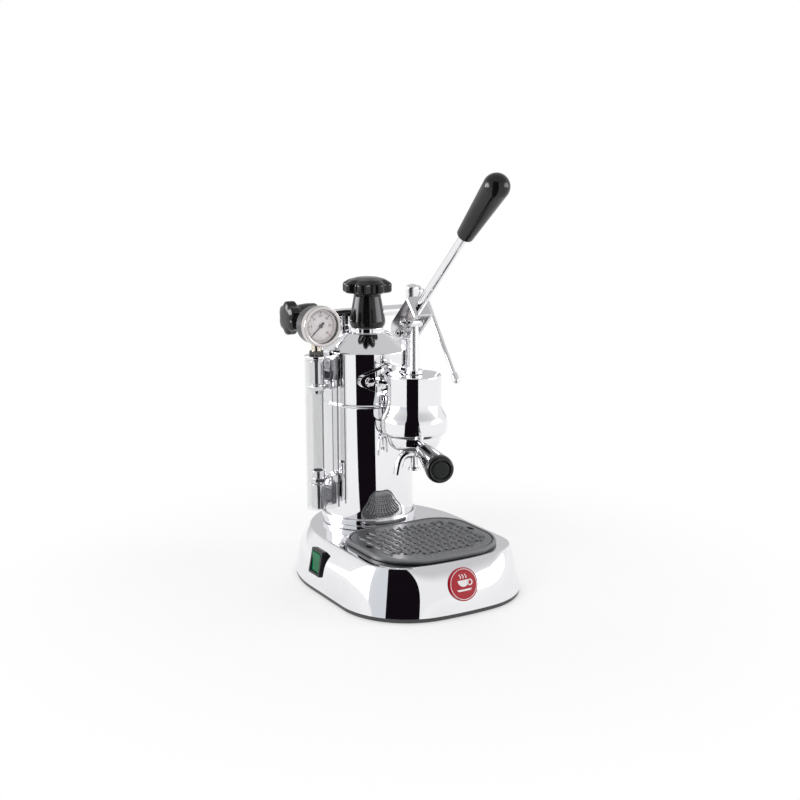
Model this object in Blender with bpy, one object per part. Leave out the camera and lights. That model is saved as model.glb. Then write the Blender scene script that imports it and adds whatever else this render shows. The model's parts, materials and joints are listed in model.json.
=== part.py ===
"""Lever espresso machine: a chromed boiler on a pressed base, with a lever group at its front, a sight
glass and a pressure gauge at its left and a steam valve behind it.

Lengths are in metres. +Z is up, the front faces -Y and the left side faces -X. Each moving piece hangs
on an empty that stands on its joint's axis. The lever is drawn half raised, as it stands at rest.
"""

from math import acos, asin, atan2, atan, cos, pi, radians, sin, sqrt, tan

import bmesh
import bpy
from mathutils import Matrix, Vector

# Gaps, overruns and facets
GAP = 0.0003
OVERRUN = 0.004
WELD_DISTANCE = 0.000005
LARGE_FACETS = 28
MEDIUM_FACETS = 18
SMALL_FACETS = 10
HEX_FACETS = 6
BOW_STEPS = 4
CORNER_STEPS = 6
REAR_STEPS = 8
SMOOTH_ANGLE = radians(35)

# Feet and bottom pan
FOOT_RADIUS = 0.008
FOOT_HEIGHT = 0.0008
FOOT_SIDE_SHARE = 0.66
FOOT_FRONT_SHARE = 0.62
FOOT_REAR_SHARE = 0.55
PAN_INSET = 0.0006
PAN_CHAMFER = 0.001
PAN_EDGE = 0.0042
PAN_LIP = 0.003
PAN_LEAN = 0.0008
PAN_SHEET = 0.0018

# Base shell
BASE_WIDTH = 0.200
BASE_FRONT = 0.145
BASE_SIDE_END = 0.003
BASE_REAR_DEPTH = 0.127
BASE_BOW = 0.015
BASE_CORNER = 0.075
BASE_TOP_CORNER = 0.040
BASE_TOP_INSET = 0.0173
BASE_HEIGHT = 0.0476
BASE_WALL = 0.002
BASE_LEAN_SHARE = 0.434
BASE_CURVE_POWER = 4
BASE_CORNER_POWER = 4
BASE_RING_SHARES = (0, 0.45, 0.66, 0.80, 0.91, 1)
BASE_HALF = BASE_WIDTH / 2
BASE_BOW_RADIUS = (BASE_HALF ** 2 + BASE_BOW ** 2) / (2 * BASE_BOW)
SHELL_BOTTOM = FOOT_HEIGHT + GAP + PAN_EDGE + GAP
BASE_TOP = SHELL_BOTTOM + BASE_HEIGHT

# Badge and switch on the base
BADGE_RADIUS = 0.0166
BADGE_THICKNESS = 0.0018
BADGE_FACE_SHARES = ((1, 0.6), (0.97, 1), (0.90, 1), (0.88, 0.7), (0, 0.7))
BADGE_BACK = 0.004
BADGE_SIDE = 0.003
BADGE_HEIGHT_SHARE = 0.57
SWITCH_HEIGHT = 0.027
SWITCH_LENGTH = 0.024
SWITCH_FLANGE = 0.0032
SWITCH_FRAME = 0.0028
SWITCH_BODY_MARGIN = 0.0014
SWITCH_DEPTH = 0.012
SWITCH_WELL = 0.0100
SWITCH_Y = -0.004
SWITCH_HEIGHT_SHARE = 0.565
SWITCH_LEAN = radians(11)
ROCKER_PIVOT_DROP = 0.0032
ROCKER_TILT = radians(8)
ROCKER_UPPER_ANGLE = radians(16)
ROCKER_LOWER_ANGLE = radians(22)

# Cord gland at the rear
GLAND_RADIUS = 0.008
GLAND_BORE = 0.0033
GLAND_FLANGE = 0.003
GLAND_FLANGE_SHARES = ((1, 0.6), (0.8, 1))
GLAND_BODY_RADIUS = 0.006
GLAND_LENGTH = 0.012
GLAND_HEIGHT_SHARE = 0.36

# Boiler
BOILER_Y = 0.0569
BOILER_RADIUS = 0.049
BOILER_WALL = 0.0015
SIGHT_LENGTH = 0.1600
BOILER_BESIDE_SIGHT = 0.0271
BOILER_SIDE = SIGHT_LENGTH + BOILER_BESIDE_SIGHT
BOILER_FLOOR = 0.003
BOILER_PORT = 0.030
COLLAR_RADIUS = 0.051
COLLAR_HEIGHT = 0.0023
COLLAR_BORE = 0.040
RING_RADIUS = 0.0524
RING_HEIGHT = 0.0068
RING_EDGE_SHARES = ((0, 0.5), (0.15, 0.15), (0.5, 0))
SEAM_DROP = 0.0565
SEAM_WIDTH = 0.0035
SEAM_PROUD = 0.0012
CONE_TOP_RADIUS = 0.0225
CONE_HEIGHT = 0.0176
SHOULDER_FILLET = 0.0012
SHOULDER_SHARES = ((0.25, -0.3), (1, 0.4))
NECK_EDGE_SHARE = 0.2
NECK_RADIUS = 0.0181
NECK_HEIGHT = 0.0055
NECK_BORE = 0.0125
BOILER_BOTTOM = BASE_TOP + COLLAR_HEIGHT + GAP
BOILER_SHOULDER = BOILER_BOTTOM + BOILER_SIDE
CONE_TOP = BOILER_SHOULDER + CONE_HEIGHT
NECK_TOP = CONE_TOP + NECK_HEIGHT

# Heating element under the water
FLANGE_DISC_RADIUS = 0.037
FLANGE_DISC_SHEET = 0.003
ELEMENT_RADIUS = 0.004
ELEMENT_LOOP = 0.024
ELEMENT_RISE = 0.014
ELEMENT_OPENING = radians(20)
ELEMENT_STEPS = 12

# Boiler cap
CAP_KNOB_RADIUS = 0.0269
CAP_KNOB_HEIGHT = 0.0541
CAP_LOBES = 8
CAP_LOBE_DEPTH = 0.0034
CAP_LOBE_POINTS = 4
CAP_PLUG_LENGTH = 0.0075
PLUG_EDGE_SHARE = 0.85
CAP_STEM_RADIUS = 0.006
CAP_STEM_RISE = 0.022
CAP_RECESS_RADIUS = 0.0166
GASKET_HEIGHT = 0.002
CAP_TURN = radians(4)
CAP_SHARES = (
    (0.655, 0.0, 0), (0.70, 0.03, 0), (0.729, 0.105, 0), (0.70, 0.2, 0), (0.547, 0.612, 0),
    (0.56, 0.655, 0), (0.95, 0.69, 1), (1.0, 0.715, 1), (1.0, 0.855, 1), (0.95, 0.885, 0.9),
    (0.74, 0.945, 0.3), (0.42, 0.985, 0), (0.12, 1.0, 0),
)

# Drip tray and grille
TRAY_SIDE_MARGIN = 0.0107
TRAY_FRONT_MARGIN = 0.0037
TRAY_RING_MARGIN = 0.0025
TRAY_CORNER = 0.050
TRAY_REAR_CORNER = 0.036
TRAY_EDGE = 0.0050
TRAY_CHAMFER = 0.0016
TRAY_LEDGE = 0.0030
TRAY_LEDGE_INSET = 0.0034
TRAY_LIP = 0.0050
TRAY_DEPTH = 0.0114
TRAY_WALL = 0.0020
WELL_PLAY = 0.0005
GRILLE_SHEET = 0.0020
GRILLE_PITCH = 0.0085
GRILLE_HOLE = 0.0046
GRILLE_BORDER = 0.0110
FINGER_WIDTH = 0.0056
FINGER_LENGTH = 0.0125
FINGER_MARGIN = 0.0042
FINGER_SHIFT = 0.006
TRAY_HALF = BASE_HALF - BASE_TOP_INSET - TRAY_SIDE_MARGIN
TRAY_FRONT = BASE_FRONT - BASE_TOP_INSET - TRAY_FRONT_MARGIN
TRAY_REAR = BOILER_Y - RING_RADIUS - TRAY_RING_MARGIN
TRAY_BOW_RADIUS = BASE_BOW_RADIUS - BASE_TOP_INSET - TRAY_FRONT_MARGIN
TRAY_BOTTOM = BASE_TOP + GAP
TRAY_FLOOR = BASE_TOP - TRAY_DEPTH
TRAY_TOP = TRAY_BOTTOM + TRAY_EDGE
GRILLE_BOTTOM = TRAY_TOP - TRAY_LEDGE + GAP

# Group bell with its flange and tower
GROUP_REACH = 0.0982
BELL_RADIUS = 0.0279
BELL_HEIGHT = 0.0631
BELL_SKIRT_RADIUS = 0.0344
BELL_LIP_RADIUS = 0.0300
BELL_FILLET = 0.002
BELL_ROOF = 0.0042
BELL_SHARES = (
    (0.0, 0.53), (0.09, 0.48), (0.34, 0.41), (0.74, 0.335), (0.94, 0.285), (1.0, 0.235), (1.0, 0.14),
    (0.94, 0.075), (0.80, 0.045),
)
BELL_EDGE_SHARE = 0.3
FLANGE_DROP = 0.0279
BELL_RISE = 0.0137
FLANGE_HALF_WIDTH = 0.034
FLANGE_HALF_HEIGHT = 0.018
FLANGE_TIP_RADIUS = 0.0075
FLANGE_THICKNESS = 0.006
GROUP_GASKET_SHEET = 0.0012
NECK_HALF_WIDTH = 0.0175
NECK_HALF_HEIGHT = 0.0135
NECK_SPREAD_SHARE = 1.3
GROUP_PASSAGE = 0.0045
BOLT_SPACING = 0.0255
BOLT_RADIUS = 0.0027
BOLT_HEAD_RADIUS = 0.0046
BOLT_HEAD_HEIGHT = 0.004
BOLT_SEAT_RADIUS = 0.0054
BOLT_SEAT_DEPTH = 0.0012
SLEEVE_BORE = 0.0226
SLEEVE_WALL = 0.002
LIP_HEIGHT = 0.002
LIP_BORE = 0.0284
BAYONET_RADIUS = 0.0299
BAYONET_HEIGHT = 0.0074
GLAND_NUT_RADIUS = 0.009
GLAND_NUT_HEIGHT = 0.0042
GLAND_NUT_STEM = 0.0062
GLAND_NUT_SINK = 0.0022
GLAND_NUT_SHARES = ((1, 0.75), (0.9, 1))
FLANGE_Z = BOILER_SHOULDER - FLANGE_DROP
BELL_TOP = FLANGE_Z + BELL_RISE
BELL_BOTTOM = BELL_TOP - BELL_HEIGHT
BAYONET_ROOF = BELL_BOTTOM + LIP_HEIGHT + BAYONET_HEIGHT
SLEEVE_RADIUS = SLEEVE_BORE + SLEEVE_WALL
BELL_BORE = SLEEVE_RADIUS + GAP
BELL_BORE_TOP = BELL_TOP - BELL_ROOF
BOILER_FRONT = GROUP_REACH - BOILER_RADIUS

# Lever and its linkage
FULCRUM_BACK = 0.0133
FULCRUM_RISE = 0.0413
LEVER_ANGLE = radians(42.5)
TOWER_SIDE = 0.009
TOWER_FOOT_WIDTH = 0.014
TOWER_FOOT_HEIGHT = 0.008
TOWER_SINK = 0.0015
TOWER_EYE_RADIUS = 0.007
EYE_WIDTH = 0.0154
PIN_RADIUS = 0.0022
PIN_PLAY = 0.0003
PIN_HEAD_RADIUS = 0.0042
PIN_HEAD_HEIGHT = 0.002
PIN_TAIL = 0.0045
PIN_TAIL_SHARES = ((0.8, 1), (1, 0.9))
PIN_HEAD_SHARES = ((1, 0.7), (0.75, 1))
CLIP_RADIUS = 0.0046
CLIP_SHEET = 0.001
FORK_PLATE = 0.003
FORK_REAR = 0.0125
FORK_FRONT = 0.040
FORK_LOW = 0.0065
FORK_HIGH = 0.016
FORK_BEND = 0.004
SLOT_NEAR = 0.0138
SLOT_FAR = 0.0204
SLOT_HALF_HEIGHT = 0.0037
SLOT_DROP = 0.00055
LEVER_ROD_RISE = 0.0055
LEVER_ROD_RADIUS = 0.0045
LEVER_ROD_NECK = 0.0034
LEVER_HANDLE_START = 0.149
LEVER_HANDLE_RADIUS = 0.0085
LEVER_HANDLE_LENGTH = 0.0686
LEVER_BALL_RADIUS = 0.0127
LEVER_BORE_LENGTH = 0.050
HANDLE_EDGE_SHARES = ((0.88, 0), (1, 0.18))
PISTON_ROD_RADIUS = 0.0046
PISTON_EYE_RADIUS = 0.006
FULCRUM_Z = BELL_TOP + FULCRUM_RISE
FORK_HALF = EYE_WIDTH / 2 + GAP + FORK_PLATE
PISTON_PIN_Z = FULCRUM_Z + FULCRUM_BACK * tan(LEVER_ANGLE)

# Piston
PISTON_RADIUS = 0.0215
PISTON_HEIGHT = 0.011
PISTON_TOP_DROP = 0.007
PISTON_GROOVE_HEIGHT = 0.003
PISTON_GROOVE_DEPTH = 0.002
PISTON_GROOVE_SHARES = (0.14, 0.59)
PISTON_SKIN = 0.0015
PISTON_TOP = BELL_BORE_TOP - PISTON_TOP_DROP
PISTON_BOTTOM = PISTON_TOP - PISTON_HEIGHT

# Portafilter, basket, screen and seal
PORTAFILTER_TURN = radians(20)
SCREEN_SHEET = 0.0016
SEAL_BORE = 0.0246
SEAL_HEIGHT = 0.0037
BOWL_RADIUS = 0.0279
BOWL_HEIGHT = 0.0196
BOWL_WALL = 0.002
BOWL_EAR_HALF = 0.009
BOWL_EAR_HEIGHT = 0.0017
BOWL_SHARES = ((0.62, 0.0), (0.79, 0.08), (0.885, 0.18), (0.955, 0.36), (1.0, 0.62))
BOWL_FLOOR = 0.0026
BOWL_WALL_SHARE = 0.40
BOWL_FLOOR_SHARES = ((0.82, 0.06),)
DRAIN_RADIUS = 0.003
BASKET_SHEET = 0.0008
BASKET_FOOT_SHARES = (0.96, 0.94)
BASKET_DEPTH = 0.0125
BASKET_PLAY = 0.0006
BASKET_TAPER = 0.001
SHANK_RADIUS = 0.0053
SHANK_END_RADIUS = 0.0086
SHANK_END = 0.060
SHANK_DROP = 0.0101
STUD_RADIUS = 0.0045
STUD_LENGTH = 0.022
GRIP_LENGTH = 0.0697
GRIP_RADIUS = 0.0136
GRIP_SHARES = ((0.62, 0.0), (0.66, 0.03), (0.70, 0.16), (0.84, 0.5), (0.96, 0.82), (1.0, 0.92), (0.97, 0.97))
GRIP_FACE_SHARE = 0.88
END_CAP_RADIUS = 0.0085
END_CAP_SINK = 0.0015
END_CAP_SHARES = ((1, -0.2), (0.85, 0.1), (0, 0.2))
SPOUT_PLATE_RADIUS = 0.0085
SPOUT_PLATE_HEIGHT = 0.0026
SPOUT_STEM_RADIUS = 0.0034
SPOUT_STEM_LENGTH = 0.0195
SPOUT_FLARE_SHARE = 0.06
SPOUT_THROAT_SHARES = ((1.15, 0.22),)
SPOUT_FLARE_RADIUS = 0.0068
SPOUT_REACH = 0.0176
SPOUT_DROP = 0.0264
SPOUT_RADIUS = 0.0046
SPOUT_BORE = 0.0034
SPOUT_PATH_SHARES = (
    (0.05, 0.19), (0.34, 0.195), (0.56, 0.23), (0.74, 0.34), (0.86, 0.52), (0.94, 0.75), (1.0, 1.0),
)
SEAL_TOP = BAYONET_ROOF - GAP
SEAL_BOTTOM = SEAL_TOP - SEAL_HEIGHT
BASKET_TOP = SEAL_BOTTOM - GAP
BOWL_TOP = BASKET_TOP - BASKET_SHEET - GAP
BOWL_BOTTOM = BOWL_TOP - BOWL_HEIGHT
SPOUT_TOP = BOWL_BOTTOM - GAP
SPOUT_TIP = SPOUT_TOP - SPOUT_DROP

# Sight glass at the boiler's left
SIGHT_REACH = 0.0725
SIGHT_TURN = radians(13.5)
SIGHT_BODY_RADIUS = 0.008
SIGHT_BODY_HEIGHT = 0.0245
SIGHT_LOWER_HEIGHT = 0.027
SIGHT_ARM_HALF = 0.007
SIGHT_ARM_REACH = 0.0195
SIGHT_ARM_RISE = 0.002
SIGHT_POST_START = 0.012
SIGHT_POST_DROP = 0.007
SIGHT_LINK_RADIUS = 0.0054
SIGHT_LINK_DROP = 0.002
SIGHT_TUBE_RADIUS = 0.0054
SIGHT_TUBE_WALL = 0.0012
SIGHT_NUT_RADIUS = 0.009
SIGHT_NUT_HEIGHT = 0.0043
SIGHT_NUT_LENGTH = 0.0100
SIGHT_LOWER_NUT_LENGTH = 0.0145
SIGHT_COLLAR_RADIUS = 0.0072
SIGHT_PLATE_DROP = 0.0001
SHIELD_RADIUS = 0.013
SHIELD_WALL = 0.0015
SHIELD_REACH = 0.0180
SHIELD_HANG = 0.0002
SHIELD_STEPS = 12
PLATE_SHEET = 0.003
PLATE_PLUG = 0.0025
PLATE_NUT_X = 0.0146
PLATE_NUT_Y = -0.0060
PLATE_NUT_RADIUS = 0.0031
PLATE_NUT_HEIGHT = 0.0045
PLATE_NUT_SHARES = ((1, 0.5), (0.7, 0.12))
PLATE_TOP = BOILER_SHOULDER - SIGHT_PLATE_DROP
PLATE_BOTTOM = PLATE_TOP - PLATE_SHEET
SIGHT_TOP = PLATE_BOTTOM - PLATE_PLUG - GAP
SIGHT_BODY_BOTTOM = SIGHT_TOP - SIGHT_BODY_HEIGHT
SIGHT_LOWER_BOTTOM = SIGHT_TOP - SIGHT_LENGTH
SIGHT_LOWER_TOP = SIGHT_LOWER_BOTTOM + SIGHT_LOWER_HEIGHT

# Pressure gauge
GAUGE_RADIUS = 0.0213
GAUGE_CASE_RADIUS = 0.020
GAUGE_DEPTH = 0.023
GAUGE_BEZEL_DEPTH = 0.008
GAUGE_BEZEL_LIP = 0.0012
GAUGE_BEZEL_BORE = 0.0178
GAUGE_WALL = 0.0012
GAUGE_GLASS = 0.0015
GAUGE_DIAL = 0.001
GAUGE_DIAL_RADIUS = 0.0185
GAUGE_DIAL_DEPTH = 0.006
GAUGE_LEDGE = 0.0015
GAUGE_BACK = 0.0015
GAUGE_RISE = 0.0317
GAUGE_STEM_RADIUS = 0.004
GAUGE_STEM_SINK = 0.007
GAUGE_COLLAR_RADIUS = 0.0055
GAUGE_NUT_RADIUS = 0.0085
GAUGE_NUT_HEIGHT = 0.0045
GAUGE_STEM_BACK = 0.016
GAUGE_REAR_SHARES = (0.9, 0.92)
BEZEL_EDGE_SHARES = (0.8, 0.5)
NEEDLE_LENGTH = 0.0130
NEEDLE_TAIL = 0.0050
NEEDLE_HALF_WIDTH = 0.0007
NEEDLE_SHEET = 0.0006
NEEDLE_HUB = 0.0020
NEEDLE_HUB_HEIGHT = 0.0016
NEEDLE_ZERO = radians(135)

# Steam valve
STEAM_BACK = 0.0281
STEAM_RISE = 0.0170
STEAM_RADIUS = 0.006
STEAM_LEFT = 0.038
STEAM_NECK_X = -0.014
STEAM_NECK_RADIUS = 0.008
STEAM_NECK_WAIST = 0.0062
STEAM_NUT_RADIUS = 0.0088
STEAM_NUT_LENGTH = 0.0075
STEAM_OUTLET_X = 0.0735
STEAM_OUTLET_RADIUS = 0.0074
STEAM_OUTLET_DROP = 0.0085
STEAM_OUTLET_RISE = 0.0282
STEAM_OUTLET_DOME = 0.0040
STEAM_DOME_SHARES = ((0.86, 0.5), (0.5, 0.13))
STEAM_BOSS_RADIUS = 0.0063
STEAM_BOSS_END = 0.0794
STEAM_SPINDLE_RADIUS = 0.003
STEAM_SPINDLE_SINK = 0.030
STEAM_KNOB_START = 0.048
STEAM_KNOB_LENGTH = 0.0385
STEAM_KNOB_RADIUS = 0.018
STEAM_KNOB_BORE = 0.020
STEAM_LOBES = 6
STEAM_LOBE_DEPTH = 0.0026
STEAM_LOBE_POINTS = 4
STEAM_KNOB_SHARES = (
    (0.70, 0.0, 0), (0.79, 0.04, 0), (0.80, 0.30, 0), (0.74, 0.56, 0), (0.78, 0.62, 0),
    (0.96, 0.665, 1), (1.0, 0.70, 1), (1.0, 0.90, 1), (0.95, 0.935, 0.9), (0.70, 0.975, 0.3),
    (0.25, 1.0, 0),
)
BALL_RADIUS = 0.0042
BALL_X = 0.0823
BALL_RISE = 0.0197
BALL_NUT_RADIUS = 0.0066
BALL_NUT_LENGTH = 0.0030
WAND_RADIUS = 0.0027
WAND_OUT = 0.0060
WAND_DROP = 0.0962
WAND_FORWARD = 0.063
WAND_SPREAD = 0.0052
WAND_BEND_SHARES = ((0.0, 0.0, 0.0), (0.60, 0.0, 0.0), (0.86, 0.010, 0.008), (1.0, 0.045, 0.042))
WAND_TIP_RADIUS = 0.0042
WAND_TIP_LENGTH = 0.011
WAND_TIP_SHARES = ((0.8, -1), (1, -0.8), (1, -0.15), (0.6, 0.12), (0, 0.16))
STEAM_Y = BOILER_Y + STEAM_BACK
STEAM_Z = CONE_TOP + STEAM_RISE
BALL_Z = STEAM_Z + BALL_RISE

# Directions for pieces that are turned about another axis than Z
TO_X = Matrix.Rotation(pi / 2, 4, "Y")
TO_LEFT = Matrix.Rotation(-pi / 2, 4, "Y")
TO_FRONT = Matrix.Rotation(pi / 2, 4, "X")
TO_REAR = Matrix.Rotation(-pi / 2, 4, "X")


# Materials
def material(name, colour, metallic, roughness, alpha=1):
    """A plain surface finish."""
    made = bpy.data.materials.new(name)
    made.use_nodes = True
    shader = made.node_tree.nodes["Principled BSDF"]
    shader.inputs["Base Color"].default_value = (*colour, 1)
    shader.inputs["Metallic"].default_value = metallic
    shader.inputs["Roughness"].default_value = roughness
    shader.inputs["Alpha"].default_value = alpha
    return made


# Shapes
def solid(name, mesh_builder):
    """An object from a finished bmesh, with its faces pointing out."""
    bmesh.ops.recalc_face_normals(mesh_builder, faces=mesh_builder.faces[:])
    mesh = bpy.data.meshes.new(name)
    mesh_builder.to_mesh(mesh)
    mesh_builder.free()
    made = bpy.data.objects.new(name, mesh)
    bpy.context.scene.collection.objects.link(made)
    return made


def turned(name, outline, facets, closed=False):
    """A solid of revolution about Z from (radius, height) points. A closed outline makes a ring."""
    builder = bmesh.new()
    verts = [builder.verts.new((radius, 0, height)) for radius, height in outline]
    ends = zip(verts, verts[1:] + verts[:1]) if closed else zip(verts, verts[1:])
    edges = [builder.edges.new(pair) for pair in ends]
    bmesh.ops.spin(
        builder, geom=verts + edges, axis=(0, 0, 1), cent=(0, 0, 0), angle=2 * pi, steps=facets,
    )
    bmesh.ops.remove_doubles(builder, verts=builder.verts[:], dist=WELD_DISTANCE)
    return solid(name, builder)


def lofted(name, rings):
    """A solid through rings of equal point counts, closed by a face at each end."""
    builder = bmesh.new()
    loops = [[builder.verts.new(point) for point in ring] for ring in rings]
    builder.faces.new(loops[0])
    builder.faces.new(loops[-1])
    for low, high in zip(loops, loops[1:]):
        for here in range(len(low)):
            after = (here + 1) % len(low)
            builder.faces.new((low[here], low[after], high[after], high[here]))
    return solid(name, builder)


def scaled(shares, radius, base, height):
    return [(wide * radius, base + up * height) for wide, up in shares]


def extruded(name, outline, low, high):
    """A prism of a plan outline between two heights."""
    return lofted(name, [[(x, y, height) for x, y in outline] for height in (low, high)])


def cylinder(name, radius, low, high, facets=MEDIUM_FACETS):
    return turned(name, [(0, low), (radius, low), (radius, high), (0, high)], facets)


def box(name, low, high):
    """A box between two opposite corners."""
    corners = [(low[0], low[1]), (high[0], low[1]), (high[0], high[1]), (low[0], high[1])]
    return extruded(name, corners, low[2], high[2])


def ball(name, radius):
    builder = bmesh.new()
    bmesh.ops.create_uvsphere(
        builder, u_segments=MEDIUM_FACETS, v_segments=MEDIUM_FACETS // 2, radius=radius,
    )
    return solid(name, builder)


def tube(name, points, radius):
    """A round bar along a line of points."""
    curve = bpy.data.curves.new(name, "CURVE")
    curve.dimensions = "3D"
    curve.bevel_depth = radius
    curve.bevel_resolution = 3
    curve.use_fill_caps = True
    spline = curve.splines.new("POLY")
    spline.points.add(len(points) - 1)
    for spot, point in zip(spline.points, points):
        spot.co = (*point, 1)
    path = bpy.data.objects.new(name, curve)
    bpy.context.scene.collection.objects.link(path)
    graph = bpy.context.evaluated_depsgraph_get()
    mesh = bpy.data.meshes.new_from_object(path.evaluated_get(graph))
    bpy.data.objects.remove(path)
    builder = bmesh.new()
    builder.from_mesh(mesh)
    bmesh.ops.remove_doubles(builder, verts=builder.verts[:], dist=WELD_DISTANCE)
    return solid(name, builder)


def moved(shape, matrix):
    """The same object with its mesh moved or turned."""
    shape.data.transform(matrix)
    return shape


def at(x, y, z):
    return Matrix.Translation((x, y, z))


def welded(mesh):
    """Joins the points that a cut left a hair apart."""
    builder = bmesh.new()
    builder.from_mesh(mesh)
    bmesh.ops.remove_doubles(builder, verts=builder.verts[:], dist=WELD_DISTANCE)
    bmesh.ops.dissolve_degenerate(builder, edges=builder.edges[:], dist=WELD_DISTANCE)
    builder.to_mesh(mesh)
    builder.free()
    return mesh


def combined(body, operation, *tools):
    """The body joined with, cut by or cropped to the tools, one after the other."""
    for tool in tools:
        step = body.modifiers.new(tool.name, "BOOLEAN")
        step.operation = operation
        step.solver = "EXACT"
        step.object = tool
        graph = bpy.context.evaluated_depsgraph_get()
        mesh = bpy.data.meshes.new_from_object(body.evaluated_get(graph))
        body.modifiers.clear()
        body.data = welded(mesh)
        bpy.data.objects.remove(tool)
    return body


def finished(shape, name, parent, finish):
    """The node itself: named, carried by its parent and given its finish."""
    shape.name = name
    shape.data.name = name
    shape.parent = parent
    shape.data.materials.clear()
    shape.data.materials.append(finish)
    shape.data.shade_smooth()
    shape.data.set_sharp_from_angle(angle=SMOOTH_ANGLE)
    return shape


def empty(name, parent, location, rotation=(0, 0, 0)):
    made = bpy.data.objects.new(name, None)
    bpy.context.scene.collection.objects.link(made)
    made.parent = parent
    made.location = location
    made.rotation_euler = rotation
    return made


# Outlines
def arc(centre_x, centre_y, radius, start, end, steps):
    """Points along an arc, its two ends included. Angles run from +X towards +Y."""
    angles = [start + (end - start) * step / steps for step in range(steps + 1)]
    return [(centre_x + radius * cos(angle), centre_y + radius * sin(angle)) for angle in angles]


def plan_outline(half_width, front, bow_radius, corner, rear_half):
    """A plan outline, anticlockwise from the middle of its bowed front. The points of the right half's
    rear, from the end of the side to the middle of the rear, are given."""
    bow_y = bow_radius - front
    corner_x = half_width - corner
    corner_y = bow_y - sqrt((bow_radius - corner) ** 2 - corner_x ** 2)
    join = atan2(corner_x, bow_y - corner_y) - pi / 2
    bow = arc(0, bow_y, bow_radius, -pi / 2, join, BOW_STEPS)[:-1]
    right = bow + arc(corner_x, corner_y, corner, join, 0, CORNER_STEPS) + rear_half
    left = [(-x, y) for x, y in reversed(right) if x > WELD_DISTANCE]
    return right + left


def base_inset(share):
    """How far the base's wall has leaned in at a share of its height."""
    return BASE_TOP_INSET * (BASE_LEAN_SHARE * share + (1 - BASE_LEAN_SHARE) * share ** BASE_CURVE_POWER)


def base_plan(share, growth=0):
    """The base's outline at a share of its height, grown outwards. Its front corners tighten upwards."""
    inset = base_inset(share) - growth
    half_width = BASE_HALF - inset
    corner = BASE_CORNER - (BASE_CORNER - BASE_TOP_CORNER) * share ** BASE_CORNER_POWER + growth
    rear_depth = BASE_REAR_DEPTH - inset
    turns = [pi / 2 * step / REAR_STEPS for step in range(REAR_STEPS + 1)]
    rear = [(half_width * cos(turn), BASE_SIDE_END + rear_depth * sin(turn)) for turn in turns]
    rear[-1] = (0, rear[-1][1])
    return plan_outline(half_width, BASE_FRONT - inset, BASE_BOW_RADIUS - inset, corner, rear)


def tray_plan(inset):
    """The drip tray's outline, drawn in by an inset: bowed at the front and straight at the rear."""
    corner_x = TRAY_HALF - TRAY_REAR_CORNER
    corner_y = TRAY_REAR - TRAY_REAR_CORNER
    rear = arc(corner_x, corner_y, TRAY_REAR_CORNER - inset, 0, pi / 2, CORNER_STEPS)
    bow_radius = TRAY_BOW_RADIUS - inset
    return plan_outline(TRAY_HALF - inset, TRAY_FRONT - inset, bow_radius, TRAY_CORNER - inset, rear)


def at_height(outline, height):
    return [(x, y, height) for x, y in outline]


def base_lean(share):
    """The wall's lean from upright at a share of its height."""
    steepening = BASE_CURVE_POWER * share ** (BASE_CURVE_POWER - 1)
    slope = BASE_LEAN_SHARE + (1 - BASE_LEAN_SHARE) * steepening
    return atan(slope * BASE_TOP_INSET / BASE_HEIGHT)


def base_solid(name, growth, top, skirt):
    """The base's outer form, grown or shrunk, with an upright skirt below its edge."""
    rings = []
    if skirt:
        rings.append(at_height(base_plan(0, growth), SHELL_BOTTOM - skirt))
    for share in BASE_RING_SHARES:
        height = SHELL_BOTTOM + (top - SHELL_BOTTOM) * share
        rings.append(at_height(base_plan(share, growth), height))
    return lofted(name, rings)


def convex_holds(outline, x, y):
    """True where a point lies inside an anticlockwise convex outline."""
    ends = zip(outline, outline[1:] + outline[:1])
    return all((bx - ax) * (y - ay) > (by - ay) * (x - ax) for (ax, ay), (bx, by) in ends)


def lobed_ring(radius, height, flute, lobes, points_each):
    """A round with rounded lobes, whose flutes are cut in by a depth."""
    count = lobes * points_each
    ring = []
    for index in range(count):
        turn = 2 * pi * index / count
        reach = radius - flute * (1 - cos(lobes * turn)) / 2
        ring.append((reach * cos(turn), reach * sin(turn), height))
    return ring


def lobed_knob(name, shares, radius, length, flute, lobes, points_each):
    rings = [
        lobed_ring(radius * wide, length * high, flute * cut, lobes, points_each)
        for wide, high, cut in shares
    ]
    return lofted(name, rings)


def boiler_form(name, growth):
    """The boiler's outer form grown by a gap, for cutting what seats against it."""
    side = BOILER_RADIUS + growth
    outline = [
        (0, BOILER_BOTTOM), (side, BOILER_BOTTOM), (side, BOILER_SHOULDER),
        (CONE_TOP_RADIUS + growth, CONE_TOP + growth), (0, CONE_TOP + growth),
    ]
    return turned(name, outline, LARGE_FACETS)


# Base
def feet(machine, rubber):
    """Four round feet under the pan."""
    side = BASE_HALF * FOOT_SIDE_SHARE
    rows = (-BASE_FRONT * FOOT_FRONT_SHARE, BASE_REAR_DEPTH * FOOT_REAR_SHARE)
    for number, (x, y) in enumerate([(x, y) for y in rows for x in (-side, side)], start=1):
        foot = moved(cylinder("foot", FOOT_RADIUS, 0, FOOT_HEIGHT, SMALL_FACETS), at(x, y, 0))
        finished(foot, f"foot_{number}", machine, rubber)


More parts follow.
